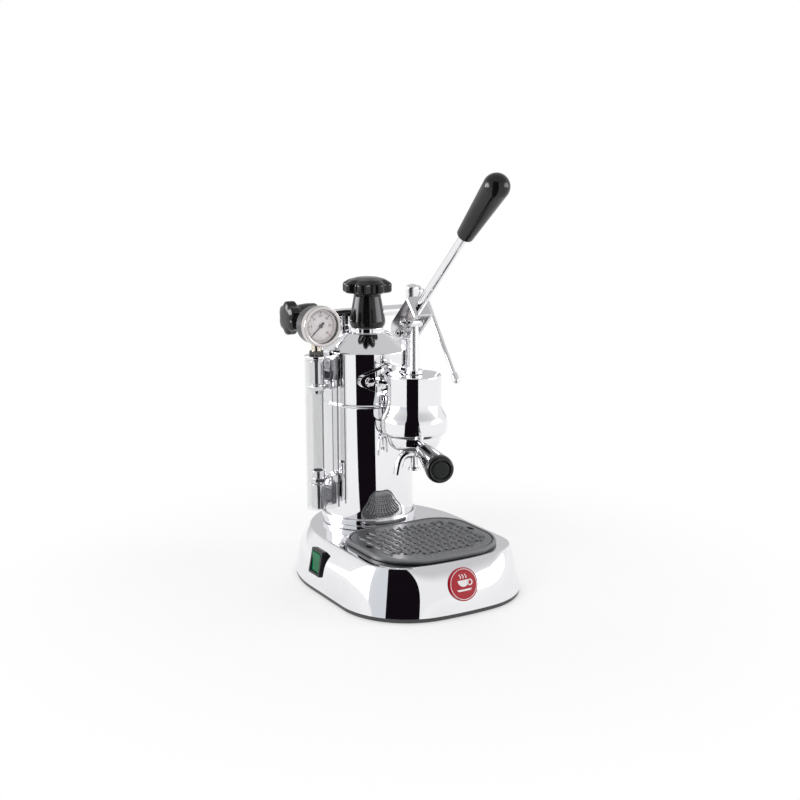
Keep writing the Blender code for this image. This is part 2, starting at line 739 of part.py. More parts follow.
def bottom_pan(machine, dark):
    """The pan that closes the base, with a lip inside the shell."""
    bottom = FOOT_HEIGHT + GAP
    edge = bottom + PAN_EDGE
    lip = BASE_WALL + GAP + GAP
    rings = [
        at_height(base_plan(0, -PAN_INSET - PAN_CHAMFER), bottom),
        at_height(base_plan(0, -PAN_INSET), bottom + PAN_CHAMFER),
        at_height(base_plan(0, -PAN_INSET), edge),
        at_height(base_plan(0, -lip), edge),
        at_height(base_plan(0, -lip - PAN_LEAN), edge + PAN_LIP),
        at_height(base_plan(0, -lip - PAN_LEAN - PAN_SHEET), edge + PAN_LIP),
        at_height(base_plan(0, -lip - PAN_SHEET), bottom + PAN_SHEET),
    ]
    finished(lofted("pan", rings), "bottom_pan", machine, dark)


def base_shell(machine, chrome):
    """The pressed shell with its collar for the boiler, its well for the tray and its cut-outs."""
    well_floor = TRAY_FLOOR - GAP
    well = TRAY_LIP - WELL_PLAY
    shell = base_solid("shell", 0, BASE_TOP, 0)
    inside = base_solid("inside", -BASE_WALL, BASE_TOP - BASE_WALL, OVERRUN)
    dish = extruded("dish", tray_plan(well - BASE_WALL), well_floor - BASE_WALL, BASE_TOP + OVERRUN)
    inside = combined(inside, "DIFFERENCE", dish)
    low = BASE_TOP - BASE_WALL / 2
    collar = cylinder("collar", COLLAR_RADIUS, low, BASE_TOP + COLLAR_HEIGHT, LARGE_FACETS)
    collar = moved(collar, at(0, BOILER_Y, 0))
    hole = cylinder("hole", COLLAR_BORE, SHELL_BOTTOM + OVERRUN, BASE_TOP + OVERRUN, LARGE_FACETS)
    hole = moved(hole, at(0, BOILER_Y, 0))
    recess = extruded("recess", tray_plan(well), well_floor, BASE_TOP + OVERRUN)
    shell = combined(shell, "DIFFERENCE", inside)
    shell = combined(shell, "UNION", collar)
    shell = combined(shell, "DIFFERENCE", hole, recess, switch_hole(), gland_hole())
    finished(shell, "base_shell", machine, chrome)


def badge(machine, enamel):
    """The round badge on the front wall, its back hollowed to the wall."""
    radius = BADGE_RADIUS
    outline = [
        (0, -BADGE_BACK), (radius, -BADGE_BACK), *scaled(BADGE_FACE_SHARES, radius, 0, BADGE_THICKNESS),
    ]
    disc = turned("disc", outline, MEDIUM_FACETS)
    turn = Matrix.Rotation(pi / 2 - base_lean(BADGE_HEIGHT_SHARE), 4, "X")
    wall = base_inset(BADGE_HEIGHT_SHARE) - BASE_FRONT
    height = SHELL_BOTTOM + BASE_HEIGHT * BADGE_HEIGHT_SHARE
    disc = moved(disc, at(-BADGE_SIDE, wall, height) @ turn)
    disc = combined(disc, "DIFFERENCE", base_solid("wall", GAP, BASE_TOP + GAP, OVERRUN))
    finished(disc, "badge", machine, enamel)


# Switch
def switch_place():
    """The switch's frame: its X runs up the wall and its Z points out of it."""
    wall = base_inset(SWITCH_HEIGHT_SHARE) - BASE_HALF
    height = SHELL_BOTTOM + BASE_HEIGHT * SWITCH_HEIGHT_SHARE
    return at(wall, SWITCH_Y, height) @ Matrix.Rotation(SWITCH_LEAN - pi / 2, 4, "Y")


def switch_box(name, margin, low, high):
    """A box of the switch's outline, drawn in by a margin."""
    half_height = SWITCH_HEIGHT / 2 - margin
    half_length = SWITCH_LENGTH / 2 - margin
    return box(name, (-half_height, -half_length, low), (half_height, half_length, high))


def switch_hole():
    """The cut-out in the shell for the switch's body."""
    cut = switch_box("cut_out", SWITCH_BODY_MARGIN - GAP, -SWITCH_DEPTH, SWITCH_DEPTH)
    return moved(cut, switch_place())


def switch_bezel(machine, black):
    """The frame outside the wall and the body that passes through it, open at the front."""
    place = switch_place()
    flange = moved(switch_box("flange", 0, -SWITCH_DEPTH, SWITCH_FLANGE), place)
    flange = combined(flange, "DIFFERENCE", base_solid("wall", GAP, BASE_TOP + GAP, OVERRUN))
    body = moved(switch_box("body", SWITCH_BODY_MARGIN, -SWITCH_DEPTH, SWITCH_FLANGE / 2), place)
    well = moved(switch_box("well", SWITCH_FRAME, SWITCH_FLANGE - SWITCH_WELL, SWITCH_DEPTH), place)
    bezel = combined(combined(flange, "UNION", body), "DIFFERENCE", well)
    finished(bezel, "switch_bezel", machine, black)


def switch_rocker(machine, green):
    """The rocker, its ends rounded about the pivot at the middle of its well."""
    half_height = SWITCH_HEIGHT / 2 - SWITCH_FRAME - GAP
    half_length = SWITCH_LENGTH / 2 - SWITCH_FRAME - GAP
    pivot = SWITCH_FLANGE - ROCKER_PIVOT_DROP
    right = arc(0, 0, half_height, -ROCKER_LOWER_ANGLE, ROCKER_UPPER_ANGLE, 3)
    left = [(-x, z) for x, z in reversed(right)]
    waist = (0, right[-1][1] - half_height * sin(ROCKER_TILT) / 2)
    outline = right + [waist] + left
    rings = [[(x, y, z) for x, z in outline] for y in (-half_length, half_length)]
    rocker = moved(lofted("rocker", rings), Matrix.Rotation(-ROCKER_TILT, 4, "Y"))
    place = switch_place() @ at(0, 0, pivot)
    pivot_empty = empty("switch_pivot", machine, place.to_translation(), place.to_euler())
    finished(rocker, "switch_rocker", pivot_empty, green)


# Cord gland
def gland_place():
    """The gland's frame: its Z points out of the rear wall."""
    rear = BASE_SIDE_END + BASE_REAR_DEPTH - base_inset(GLAND_HEIGHT_SHARE)
    return at(0, rear, SHELL_BOTTOM + BASE_HEIGHT * GLAND_HEIGHT_SHARE) @ TO_REAR


def gland_hole():
    cut = cylinder("gland_cut", GLAND_BODY_RADIUS + GAP, -GLAND_LENGTH, GLAND_LENGTH, SMALL_FACETS)
    return moved(cut, gland_place())


def cord_gland(machine, rubber):
    """The bushing that the supply cord would come out of."""
    outline = [
        (GLAND_BORE, -GLAND_LENGTH), (GLAND_BODY_RADIUS, -GLAND_LENGTH), (GLAND_BODY_RADIUS, -GLAND_FLANGE),
        (GLAND_RADIUS, -GLAND_FLANGE), *scaled(GLAND_FLANGE_SHARES, GLAND_RADIUS, 0, GLAND_FLANGE),
        (GLAND_BORE, GLAND_FLANGE),
    ]
    bushing = moved(turned("bushing", outline, SMALL_FACETS, closed=True), gland_place())
    wall = base_solid("wall", GAP, BASE_TOP + GAP, OVERRUN)
    inner = cylinder("inner", GLAND_BODY_RADIUS + GAP, -2 * GLAND_LENGTH, GLAND_LENGTH, SMALL_FACETS)
    wall = combined(wall, "DIFFERENCE", moved(inner, gland_place()))
    finished(combined(bushing, "DIFFERENCE", wall), "cord_gland", machine, rubber)


# Drip tray
def drip_tray(machine, tray_grey):
    """The tray: a rim on the base's top, a ledge for the grille and a dish in the well."""
    inner = TRAY_LIP + TRAY_WALL
    rings = [
        at_height(tray_plan(TRAY_LIP + WELL_PLAY), TRAY_FLOOR),
        at_height(tray_plan(TRAY_LIP), TRAY_BOTTOM),
        at_height(tray_plan(0), TRAY_BOTTOM),
        at_height(tray_plan(0), TRAY_TOP - TRAY_CHAMFER),
        at_height(tray_plan(TRAY_CHAMFER), TRAY_TOP),
        at_height(tray_plan(TRAY_LEDGE_INSET - GAP), TRAY_TOP),
        at_height(tray_plan(TRAY_LEDGE_INSET - GAP), TRAY_TOP - TRAY_LEDGE),
        at_height(tray_plan(inner), TRAY_TOP - TRAY_LEDGE),
        at_height(tray_plan(inner + WELL_PLAY), TRAY_FLOOR + TRAY_WALL),
    ]
    finished(lofted("tray", rings), "drip_tray", machine, tray_grey)


def drip_grille(machine, steel):
    """The flat grille: a grid of drain holes inside its border, and two finger holes."""
    plan = tray_plan(TRAY_LEDGE_INSET)
    grille = extruded("plate", plan, GRILLE_BOTTOM, GRILLE_BOTTOM + GRILLE_SHEET)
    field = tray_plan(TRAY_LEDGE_INSET + GRILLE_BORDER)
    middle = (TRAY_REAR - TRAY_FRONT) / 2
    half = GRILLE_HOLE / 2
    low = GRILLE_BOTTOM - OVERRUN
    high = GRILLE_BOTTOM + GRILLE_SHEET + OVERRUN
    across = int(TRAY_HALF / GRILLE_PITCH)
    along = int((TRAY_FRONT + TRAY_REAR) / 2 / GRILLE_PITCH) + 1
    builder = bmesh.new()
    for column in range(-across, across + 1):
        for row in range(-along, along + 1):
            x = column * GRILLE_PITCH
            y = middle + row * GRILLE_PITCH
            sides = ((-half, -half), (half, -half), (half, half), (-half, half))
            corners = [(x + side_x, y + side_y) for side_x, side_y in sides]
            if all(convex_holds(field, *corner) for corner in corners):
                rings = [[builder.verts.new((*corner, z)) for corner in corners] for z in (low, high)]
                builder.faces.new(rings[0])
                builder.faces.new(rings[1])
                for here in range(4):
                    after = (here + 1) % 4
                    builder.faces.new((rings[0][here], rings[0][after], rings[1][after], rings[1][here]))
    holes = solid("holes", builder)
    fingers = []
    for side in (-1, 1):
        x = side * (TRAY_HALF - TRAY_LEDGE_INSET - FINGER_MARGIN - FINGER_WIDTH / 2)
        y = middle + FINGER_SHIFT
        corner = (x - FINGER_WIDTH / 2, y - FINGER_LENGTH / 2, low)
        fingers.append(box("finger", corner, (x + FINGER_WIDTH / 2, y + FINGER_LENGTH / 2, high)))
    finished(combined(grille, "DIFFERENCE", holes, *fingers), "drip_grille", machine, steel)


# Boiler
def boiler_body(boiler, chrome):
    """The tall boiler: a floor with a port, a seam bead, a cone and a neck, with its side ports."""
    radius = BOILER_RADIUS
    inner = BOILER_RADIUS - BOILER_WALL
    seam = BOILER_SHOULDER - SEAM_DROP
    half_seam = SEAM_WIDTH / 2
    fillet = SHOULDER_FILLET
    shoulder = [(radius - fillet * inward, BOILER_SHOULDER + fillet * up) for inward, up in SHOULDER_SHARES]
    edge = NECK_EDGE_SHARE * NECK_HEIGHT
    outline = [
        (BOILER_PORT, BOILER_BOTTOM), (radius, BOILER_BOTTOM), (radius, seam - half_seam),
        (radius + SEAM_PROUD, seam - half_seam / 2), (radius + SEAM_PROUD, seam + half_seam / 2),
        (radius, seam + half_seam), (radius, BOILER_SHOULDER - fillet), *shoulder,
        (CONE_TOP_RADIUS, CONE_TOP), (NECK_RADIUS, CONE_TOP), (NECK_RADIUS, NECK_TOP - edge),
        (NECK_RADIUS - edge, NECK_TOP), (NECK_BORE, NECK_TOP),
        (NECK_BORE, CONE_TOP - BOILER_WALL), (CONE_TOP_RADIUS, CONE_TOP - 2 * BOILER_WALL),
        (inner, BOILER_SHOULDER - 2 * BOILER_WALL), (inner, BOILER_BOTTOM + BOILER_FLOOR),
        (BOILER_PORT, BOILER_BOTTOM + BOILER_FLOOR),
    ]
    body = turned("vessel", outline, LARGE_FACETS, closed=True)
    port = cylinder("port", GROUP_PASSAGE, 0, BOILER_RADIUS + OVERRUN, SMALL_FACETS)
    port = moved(port, at(0, 0, FLANGE_Z) @ TO_FRONT)
    body = combined(body, "DIFFERENCE", port)
    finished(body, "boiler_body", boiler, chrome)


def boiler_ring(boiler, chrome):
    """The ring around the boiler's foot."""
    inner = BOILER_RADIUS + GAP
    low = BOILER_BOTTOM
    high = low + RING_HEIGHT
    edge = RING_RADIUS - inner
    outline = [
        (inner, low), (RING_RADIUS, low),
        *[(RING_RADIUS - edge * inward, high - edge * down) for inward, down in RING_EDGE_SHARES],
        (inner, high),
    ]
    finished(turned("ring", outline, LARGE_FACETS, closed=True), "boiler_ring", boiler, chrome)


def heating(boiler, steel):
    """The flange that closes the boiler's floor, and the element's loop that stands on it."""
    top = BOILER_BOTTOM + BOILER_FLOOR
    under = BOILER_BOTTOM - GAP
    boss = BOILER_PORT - GAP
    outline = [
        (0, under - FLANGE_DISC_SHEET), (FLANGE_DISC_RADIUS, under - FLANGE_DISC_SHEET),
        (FLANGE_DISC_RADIUS, under), (boss, under), (boss, top), (0, top),
    ]
    finished(turned("flange", outline, MEDIUM_FACETS), "element_flange", boiler, steel)
    loop_z = top + ELEMENT_RISE
    start = -pi / 2 + ELEMENT_OPENING
    end = 3 * pi / 2 - ELEMENT_OPENING
    ring = [(*point, loop_z) for point in arc(0, 0, ELEMENT_LOOP, start, end, ELEMENT_STEPS)]
    foot = top + GAP
    shoulder = loop_z - ELEMENT_RADIUS
    first = [(ring[0][0], ring[0][1], foot), (ring[0][0], ring[0][1], shoulder)]
    last = [(ring[-1][0], ring[-1][1], shoulder), (ring[-1][0], ring[-1][1], foot)]
    finished(tube("loop", first + ring[1:-1] + last, ELEMENT_RADIUS), "heating_element", boiler, steel)


def boiler_cap(boiler, black, brass, rubber):
    """The screw cap: a lobed knob on a plug, with a gasket ring between it and the neck."""
    bottom = NECK_TOP + GAP
    lift = empty("cap_lift", boiler, (0, 0, bottom))
    turn = empty("cap_axis", lift, (0, 0, 0))
    recess = GASKET_HEIGHT + GAP
    knob = lobed_knob(
        "knob", CAP_SHARES, CAP_KNOB_RADIUS, CAP_KNOB_HEIGHT, CAP_LOBE_DEPTH, CAP_LOBES, CAP_LOBE_POINTS,
    )
    knob = moved(knob, Matrix.Rotation(CAP_TURN, 4, "Z"))
    hollow = cylinder("hollow", CAP_RECESS_RADIUS, -OVERRUN, recess)
    bore = cylinder("bore", CAP_STEM_RADIUS + GAP, recess - OVERRUN / 2, recess + CAP_STEM_RISE)
    knob = combined(knob, "DIFFERENCE", combined(hollow, "UNION", bore))
    finished(knob, "cap_knob", turn, black)
    plug_radius = NECK_BORE - GAP
    outline = [
        (0, -CAP_PLUG_LENGTH), (PLUG_EDGE_SHARE * plug_radius, -CAP_PLUG_LENGTH),
        (plug_radius, -PLUG_EDGE_SHARE * CAP_PLUG_LENGTH),
        (plug_radius, GASKET_HEIGHT), (CAP_STEM_RADIUS, GASKET_HEIGHT),
        (CAP_STEM_RADIUS, GASKET_HEIGHT + CAP_STEM_RISE), (0, GASKET_HEIGHT + CAP_STEM_RISE),
    ]
    finished(turned("plug", outline, MEDIUM_FACETS), "cap_plug", turn, brass)
    ring = [
        (NECK_BORE + GAP, 0), (CAP_RECESS_RADIUS - GAP, 0), (CAP_RECESS_RADIUS - GAP, GASKET_HEIGHT),
        (NECK_BORE + GAP, GASKET_HEIGHT),
    ]
    finished(turned("gasket", ring, MEDIUM_FACETS, closed=True), "cap_gasket", lift, rubber)


# Group
def rhombic_outline(half_width, half_height, tip_radius):
    """A flange outline: a middle round and two tip rounds, joined by their tangents."""
    reach = half_width - tip_radius
    turn = acos((half_height - tip_radius) / reach)
    right = arc(reach, 0, tip_radius, -turn, turn, 6)
    top = arc(0, 0, half_height, turn, pi - turn, 6)
    left = arc(-reach, 0, tip_radius, pi - turn, pi + turn, 6)
    bottom = arc(0, 0, half_height, pi + turn, 2 * pi - turn, 6)
    return right + top + left + bottom


def upright(name, outline, near, far, height):
    """A prism of an (x, z) outline that runs from front to rear."""
    rings = [[(x, y, height + z) for x, z in outline] for y in (near, far)]
    return lofted(name, rings)


def about_boiler(shape):
    """A shape about the boiler's axis, placed in the group's frame."""
    return moved(shape, at(0, GROUP_REACH, 0))


def bolt_seat():
    """How far behind the group's axis the bolts' heads seat on the curved flange."""
    radius = BOILER_RADIUS + GAP + GROUP_GASKET_SHEET + GAP + FLANGE_THICKNESS
    return GROUP_REACH - sqrt(radius ** 2 - BOLT_SPACING ** 2) + BOLT_SEAT_DEPTH


def bell_form():
    """The bell's solid outer form: a drum, a flared skirt and a rolled lip."""
    swell = BELL_SKIRT_RADIUS - BELL_RADIUS
    skirt = [(BELL_RADIUS + swell * out, BELL_BOTTOM + BELL_HEIGHT * up) for out, up in BELL_SHARES]
    edge = BELL_EDGE_SHARE * BELL_FILLET
    lip = BELL_EDGE_SHARE * LIP_HEIGHT
    outline = [
        (0, BELL_TOP), (BELL_RADIUS - BELL_FILLET, BELL_TOP), (BELL_RADIUS - edge, BELL_TOP - edge),
        (BELL_RADIUS, BELL_TOP - BELL_FILLET), *skirt, (BELL_LIP_RADIUS, BELL_BOTTOM + lip),
        (BELL_LIP_RADIUS - lip, BELL_BOTTOM), (0, BELL_BOTTOM),
    ]
    return turned("bell", outline, LARGE_FACETS)


def bell_space():
    """The bell's inside: its mouth, the bayonet's space, the cylinder's bore and the rod's bore."""
    rod_bore = PISTON_ROD_RADIUS + GAP
    outline = [
        (0, BELL_BOTTOM - OVERRUN), (LIP_BORE, BELL_BOTTOM - OVERRUN), (LIP_BORE, BELL_BOTTOM + LIP_HEIGHT),
        (BAYONET_RADIUS, BELL_BOTTOM + LIP_HEIGHT), (BAYONET_RADIUS, BAYONET_ROOF), (BELL_BORE, BAYONET_ROOF),
        (BELL_BORE, BELL_BORE_TOP), (rod_bore, BELL_BORE_TOP), (rod_bore, BELL_TOP + OVERRUN),
        (0, BELL_TOP + OVERRUN),
    ]
    return turned("space", outline, LARGE_FACETS)


def group_bell(group, chrome):
    """The bell casting with its neck, its curved flange and the tower that carries the fulcrum."""
    bell = bell_form()
    spread = NECK_SPREAD_SHARE
    face = BOILER_FRONT - FLANGE_THICKNESS
    sides = [(0, 1), (BELL_RADIUS, 1), (face, spread), (GROUP_REACH, spread)]
    rings = []
    for y, grow in sides:
        ring = arc(0, 0, 1, 0, 2 * pi, SMALL_FACETS)[:-1]
        wide = NECK_HALF_WIDTH * grow
        high = NECK_HALF_HEIGHT * grow
        rings.append([(wide * x, y, FLANGE_Z + high * z) for x, z in ring])
    neck = lofted("neck", rings)
    outline = rhombic_outline(FLANGE_HALF_WIDTH, FLANGE_HALF_HEIGHT, FLANGE_TIP_RADIUS)
    flange = upright("flange", outline, BELL_RADIUS, GROUP_REACH, FLANGE_Z)
    back = BOILER_RADIUS + GAP + GROUP_GASKET_SHEET + GAP
    tall = (FLANGE_Z - 2 * FLANGE_HALF_HEIGHT, FLANGE_Z + 2 * FLANGE_HALF_HEIGHT)
    skin = about_boiler(cylinder("skin", back + FLANGE_THICKNESS, *tall, LARGE_FACETS))
    flange = combined(flange, "INTERSECT", skin)
    flange = combined(flange, "UNION", neck)
    flange = combined(flange, "DIFFERENCE", about_boiler(cylinder("back", back, *tall, LARGE_FACETS)))
    body = combined(bell, "UNION", flange)
    body = combined(body, "UNION", tower())
    eye = moved(cylinder("eye", TOWER_EYE_RADIUS, -EYE_WIDTH / 2, EYE_WIDTH / 2, SMALL_FACETS), TO_X)
    body = combined(body, "UNION", moved(eye, at(0, FULCRUM_BACK, FULCRUM_Z)))
    nut = cylinder("nut", GLAND_NUT_STEM + GAP, BELL_TOP - GLAND_NUT_SINK, BELL_TOP + OVERRUN)
    cuts = [bell_space(), nut, *flange_holes()]
    pin = moved(cylinder("pin", PIN_RADIUS + PIN_PLAY, -EYE_WIDTH, EYE_WIDTH, SMALL_FACETS), TO_X)
    cuts.append(moved(pin, at(0, FULCRUM_BACK, FULCRUM_Z)))
    finished(combined(body, "DIFFERENCE", *cuts), "group_bell", group, chrome)


def tower():
    """The square post behind the piston rod, on a flared foot."""
    half = TOWER_SIDE / 2
    foot = TOWER_FOOT_WIDTH / 2
    levels = [
        (foot, BELL_TOP - TOWER_SINK), (foot, BELL_TOP + TOWER_SINK), (half, BELL_TOP + TOWER_FOOT_HEIGHT),
        (half, FULCRUM_Z),
    ]
    rings = [
        [(-wide, FULCRUM_BACK - half, z), (wide, FULCRUM_BACK - half, z), (wide, FULCRUM_BACK + half, z),
         (-wide, FULCRUM_BACK + half, z)]
        for wide, z in levels
    ]
    nut_top = BELL_TOP + GLAND_NUT_HEIGHT + 3 * GAP
    nut_space = cylinder("nut_space", GLAND_NUT_RADIUS + GAP, BELL_TOP - OVERRUN, nut_top)
    return combined(lofted("tower", rings), "DIFFERENCE", nut_space)


def flange_holes():
    """Cutters for the water passage, the bolts and the flat seats of their heads."""
    passage = cylinder("passage", GROUP_PASSAGE, SLEEVE_BORE, GROUP_REACH, SMALL_FACETS)
    cuts = [moved(passage, at(0, 0, FLANGE_Z) @ TO_REAR)]
    seat = bolt_seat()
    for side in (-BOLT_SPACING, BOLT_SPACING):
        place = at(side, 0, FLANGE_Z) @ TO_REAR
        hole = cylinder("hole", BOLT_RADIUS + GAP, seat - OVERRUN, GROUP_REACH, SMALL_FACETS)
        flat = cylinder("seat", BOLT_SEAT_RADIUS, BELL_RADIUS, seat, SMALL_FACETS)
        cuts += [moved(hole, place), moved(flat, place)]
    return cuts


def group_fixings(group, chrome, rubber):
    """The gasket behind the flange and the two bolts through it."""
    inset = 2 * GAP
    outline = rhombic_outline(
        FLANGE_HALF_WIDTH - inset, FLANGE_HALF_HEIGHT - inset, FLANGE_TIP_RADIUS - inset,
    )
    gasket = upright("gasket", outline, BELL_RADIUS, GROUP_REACH, FLANGE_Z)
    tall = (FLANGE_Z - 2 * FLANGE_HALF_HEIGHT, FLANGE_Z + 2 * FLANGE_HALF_HEIGHT)
    inner = BOILER_RADIUS + GAP
    skin = about_boiler(cylinder("skin", inner + GROUP_GASKET_SHEET, *tall, LARGE_FACETS))
    gasket = combined(gasket, "INTERSECT", skin)
    holes = [about_boiler(cylinder("inner", inner, *tall, LARGE_FACETS))]
    passage = cylinder("passage", GROUP_PASSAGE, SLEEVE_BORE, GROUP_REACH, SMALL_FACETS)
    holes.append(moved(passage, at(0, 0, FLANGE_Z) @ TO_REAR))
    for side in (-BOLT_SPACING, BOLT_SPACING):
        hole = cylinder("hole", BOLT_RADIUS + GAP, BELL_RADIUS, GROUP_REACH, SMALL_FACETS)
        holes.append(moved(hole, at(side, 0, FLANGE_Z) @ TO_REAR))
    finished(combined(gasket, "DIFFERENCE", *holes), "group_gasket", group, rubber)
    seat = bolt_seat() - GAP
    tip = GROUP_REACH - sqrt(inner ** 2 - (BOLT_SPACING - BOLT_RADIUS) ** 2) - 2 * GAP
    for side, name in ((-BOLT_SPACING, "group_bolt_left"), (BOLT_SPACING, "group_bolt_right")):
        head = cylinder("head", BOLT_HEAD_RADIUS, seat - BOLT_HEAD_HEIGHT, seat, HEX_FACETS)
        shank = cylinder("shank", BOLT_RADIUS, seat - BOLT_HEAD_HEIGHT / 2, tip, SMALL_FACETS)
        bolt = moved(combined(head, "UNION", shank), at(side, 0, FLANGE_Z) @ TO_REAR)
        finished(bolt, name, group, chrome)


def group_inner(group, brass, chrome, steel, rubber):
    """What sits in the bell: the sleeve, the gland nut, the screen and the portafilter's seal."""
    screen_top = BAYONET_ROOF - GAP
    sleeve = [
        (SLEEVE_BORE, screen_top + GAP), (SLEEVE_RADIUS, screen_top + GAP),
        (SLEEVE_RADIUS, BELL_BORE_TOP - GAP), (SLEEVE_BORE, BELL_BORE_TOP - GAP),
    ]
    finished(turned("sleeve", sleeve, MEDIUM_FACETS, closed=True), "group_sleeve", group, brass)
    bore = PISTON_ROD_RADIUS + GAP
    base = BELL_TOP + GAP
    nut = [
        (bore, BELL_TOP - GLAND_NUT_SINK + GAP), (GLAND_NUT_STEM, BELL_TOP - GLAND_NUT_SINK + GAP),
        (GLAND_NUT_STEM, base), (GLAND_NUT_RADIUS, base),
        *scaled(GLAND_NUT_SHARES, GLAND_NUT_RADIUS, base, GLAND_NUT_HEIGHT), (bore, base + GLAND_NUT_HEIGHT),
    ]
    finished(turned("nut", nut, MEDIUM_FACETS, closed=True), "gland_nut", group, chrome)
    screen = cylinder("screen", SEAL_BORE - GAP, screen_top - SCREEN_SHEET, screen_top)
    finished(screen, "shower_screen", group, steel)
    seal = [
        (SEAL_BORE, SEAL_BOTTOM), (LIP_BORE, SEAL_BOTTOM), (LIP_BORE, SEAL_TOP), (SEAL_BORE, SEAL_TOP),
    ]
    finished(turned("seal", seal, MEDIUM_FACETS, closed=True), "portafilter_seal", group, rubber)


def piston(slide, steel, rubber, chrome):
    """The piston, its two seals and the rod with its eye, all on the group's axis."""
    groove = PISTON_RADIUS - PISTON_GROOVE_DEPTH
    rod_bore = PISTON_ROD_RADIUS + GAP
    outline = [(0, PISTON_BOTTOM), (PISTON_RADIUS, PISTON_BOTTOM)]
    for share in PISTON_GROOVE_SHARES:
        low = PISTON_BOTTOM + PISTON_HEIGHT * share
        high = low + PISTON_GROOVE_HEIGHT
        outline += [(PISTON_RADIUS, low), (groove, low), (groove, high), (PISTON_RADIUS, high)]
    outline += [
        (PISTON_RADIUS, PISTON_TOP), (rod_bore, PISTON_TOP), (rod_bore, PISTON_BOTTOM + PISTON_SKIN),
        (0, PISTON_BOTTOM + PISTON_SKIN),
    ]
    finished(turned("piston", outline, MEDIUM_FACETS), "piston_head", slide, steel)
    names = ("piston_seal_lower", "piston_seal_upper")
    for share, name in zip(PISTON_GROOVE_SHARES, names):
        low = PISTON_BOTTOM + PISTON_HEIGHT * share + GAP
        high = low + PISTON_GROOVE_HEIGHT - 2 * GAP
        outer = SLEEVE_BORE - GAP
        ring = [(groove + GAP, low), (outer, low), (outer, high), (groove + GAP, high)]
        finished(turned("seal", ring, MEDIUM_FACETS, closed=True), name, slide, rubber)
    rod = cylinder("rod", PISTON_ROD_RADIUS, PISTON_BOTTOM + PISTON_SKIN + GAP, PISTON_PIN_Z, SMALL_FACETS)
    eye = moved(cylinder("eye", PISTON_EYE_RADIUS, -EYE_WIDTH / 2, EYE_WIDTH / 2, SMALL_FACETS), TO_X)
    rod = combined(rod, "UNION", moved(eye, at(0, 0, PISTON_PIN_Z)))
    pin = moved(cylinder("pin", PIN_RADIUS + PIN_PLAY, -EYE_WIDTH, EYE_WIDTH, SMALL_FACETS), TO_X)
    rod = combined(rod, "DIFFERENCE", moved(pin, at(0, 0, PISTON_PIN_Z)))
    finished(rod, "piston_rod", slide, chrome)


def pin_and_clip(name, parent, y, z, chrome, steel):
    """A headed pin across the fork, and the clip that holds it at its left end."""
    side = FORK_HALF + GAP
    tail = -side - CLIP_SHEET
    outline = [
        (0, tail - PIN_TAIL), *scaled(PIN_TAIL_SHARES, PIN_RADIUS, tail, -PIN_TAIL), (PIN_RADIUS, side),
        (PIN_HEAD_RADIUS, side), *scaled(PIN_HEAD_SHARES, PIN_HEAD_RADIUS, side, PIN_HEAD_HEIGHT),
        (0, side + PIN_HEAD_HEIGHT),
    ]
    pin = moved(turned("pin", outline, SMALL_FACETS), at(0, y, z) @ TO_X)
    finished(pin, f"{name}_pin", parent, chrome)
    bore = PIN_RADIUS + GAP
    ring = [(bore, tail), (CLIP_RADIUS, tail), (CLIP_RADIUS, -side), (bore, -side)]
    clip = moved(turned("clip", ring, SMALL_FACETS, closed=True), at(0, y, z) @ TO_X)
    finished(clip, f"{name}_pin_clip", parent, steel)


# Lever, drawn level in its own frame: forward is -Y and the rod lies above the fulcrum
def stadium(near, far, radius):
    """A slot outline in (forward, up) places."""
    front = arc(far, 0, radius, -pi / 2, pi / 2, 6)
    rear = arc(near, 0, radius, pi / 2, 3 * pi / 2, 6)
    return front + rear


def crosswise(name, outline, half_width):
    """A prism across the lever from (forward, up) points."""
    rings = [[(x, -forward, up) for forward, up in outline] for x in (-half_width, half_width)]
    return lofted(name, rings)


def lever_fork(lever, chrome):
    """The U-shaped fork: two cheeks with a round rear end, joined by a web at the front."""
    outer = FORK_HALF
    inner = FORK_HALF - FORK_PLATE
    bend = FORK_BEND
    inner_bend = FORK_BEND - FORK_PLATE
    web = FORK_FRONT - FORK_PLATE
    plan = [(-outer, FORK_REAR)]
    plan += arc(bend - outer, bend - FORK_FRONT, bend, pi, 3 * pi / 2, 4)
    plan += arc(outer - bend, bend - FORK_FRONT, bend, 3 * pi / 2, 2 * pi, 4)
    plan += [(outer, FORK_REAR), (inner, FORK_REAR)]
    plan += arc(inner - inner_bend, inner_bend - web, inner_bend, 2 * pi, 3 * pi / 2, 2)
    plan += arc(inner_bend - inner, inner_bend - web, inner_bend, 3 * pi / 2, pi, 2)
    plan += [(-inner, FORK_REAR)]
    fork = extruded("fork", plan, -FORK_LOW - OVERRUN, FORK_HIGH + OVERRUN)
    half = (FORK_LOW + FORK_HIGH) / 2
    middle = FORK_HIGH - half
    rear = [(half - FORK_REAR + x, middle + z) for x, z in arc(0, 0, half, pi / 2, 3 * pi / 2, 10)]
    front = [(FORK_FRONT + OVERRUN, middle - half), (FORK_FRONT + OVERRUN, middle + half)]
    fork = combined(fork, "INTERSECT", crosswise("side", rear + front, FORK_HALF + OVERRUN))
    pin = moved(cylinder("pin", PIN_RADIUS + PIN_PLAY, -2 * FORK_HALF, 2 * FORK_HALF, SMALL_FACETS), TO_X)
    slot = stadium(SLOT_NEAR, SLOT_FAR, SLOT_HALF_HEIGHT)
    slot = moved(crosswise("slot", slot, 2 * FORK_HALF), at(0, 0, -SLOT_DROP))
    neck = cylinder("neck", LEVER_ROD_NECK + GAP, web - OVERRUN, FORK_FRONT + OVERRUN, SMALL_FACETS)
    neck = moved(neck, at(0, 0, LEVER_ROD_RISE) @ TO_FRONT)
    finished(combined(fork, "DIFFERENCE", pin, slot, neck), "lever_fork", lever, chrome)


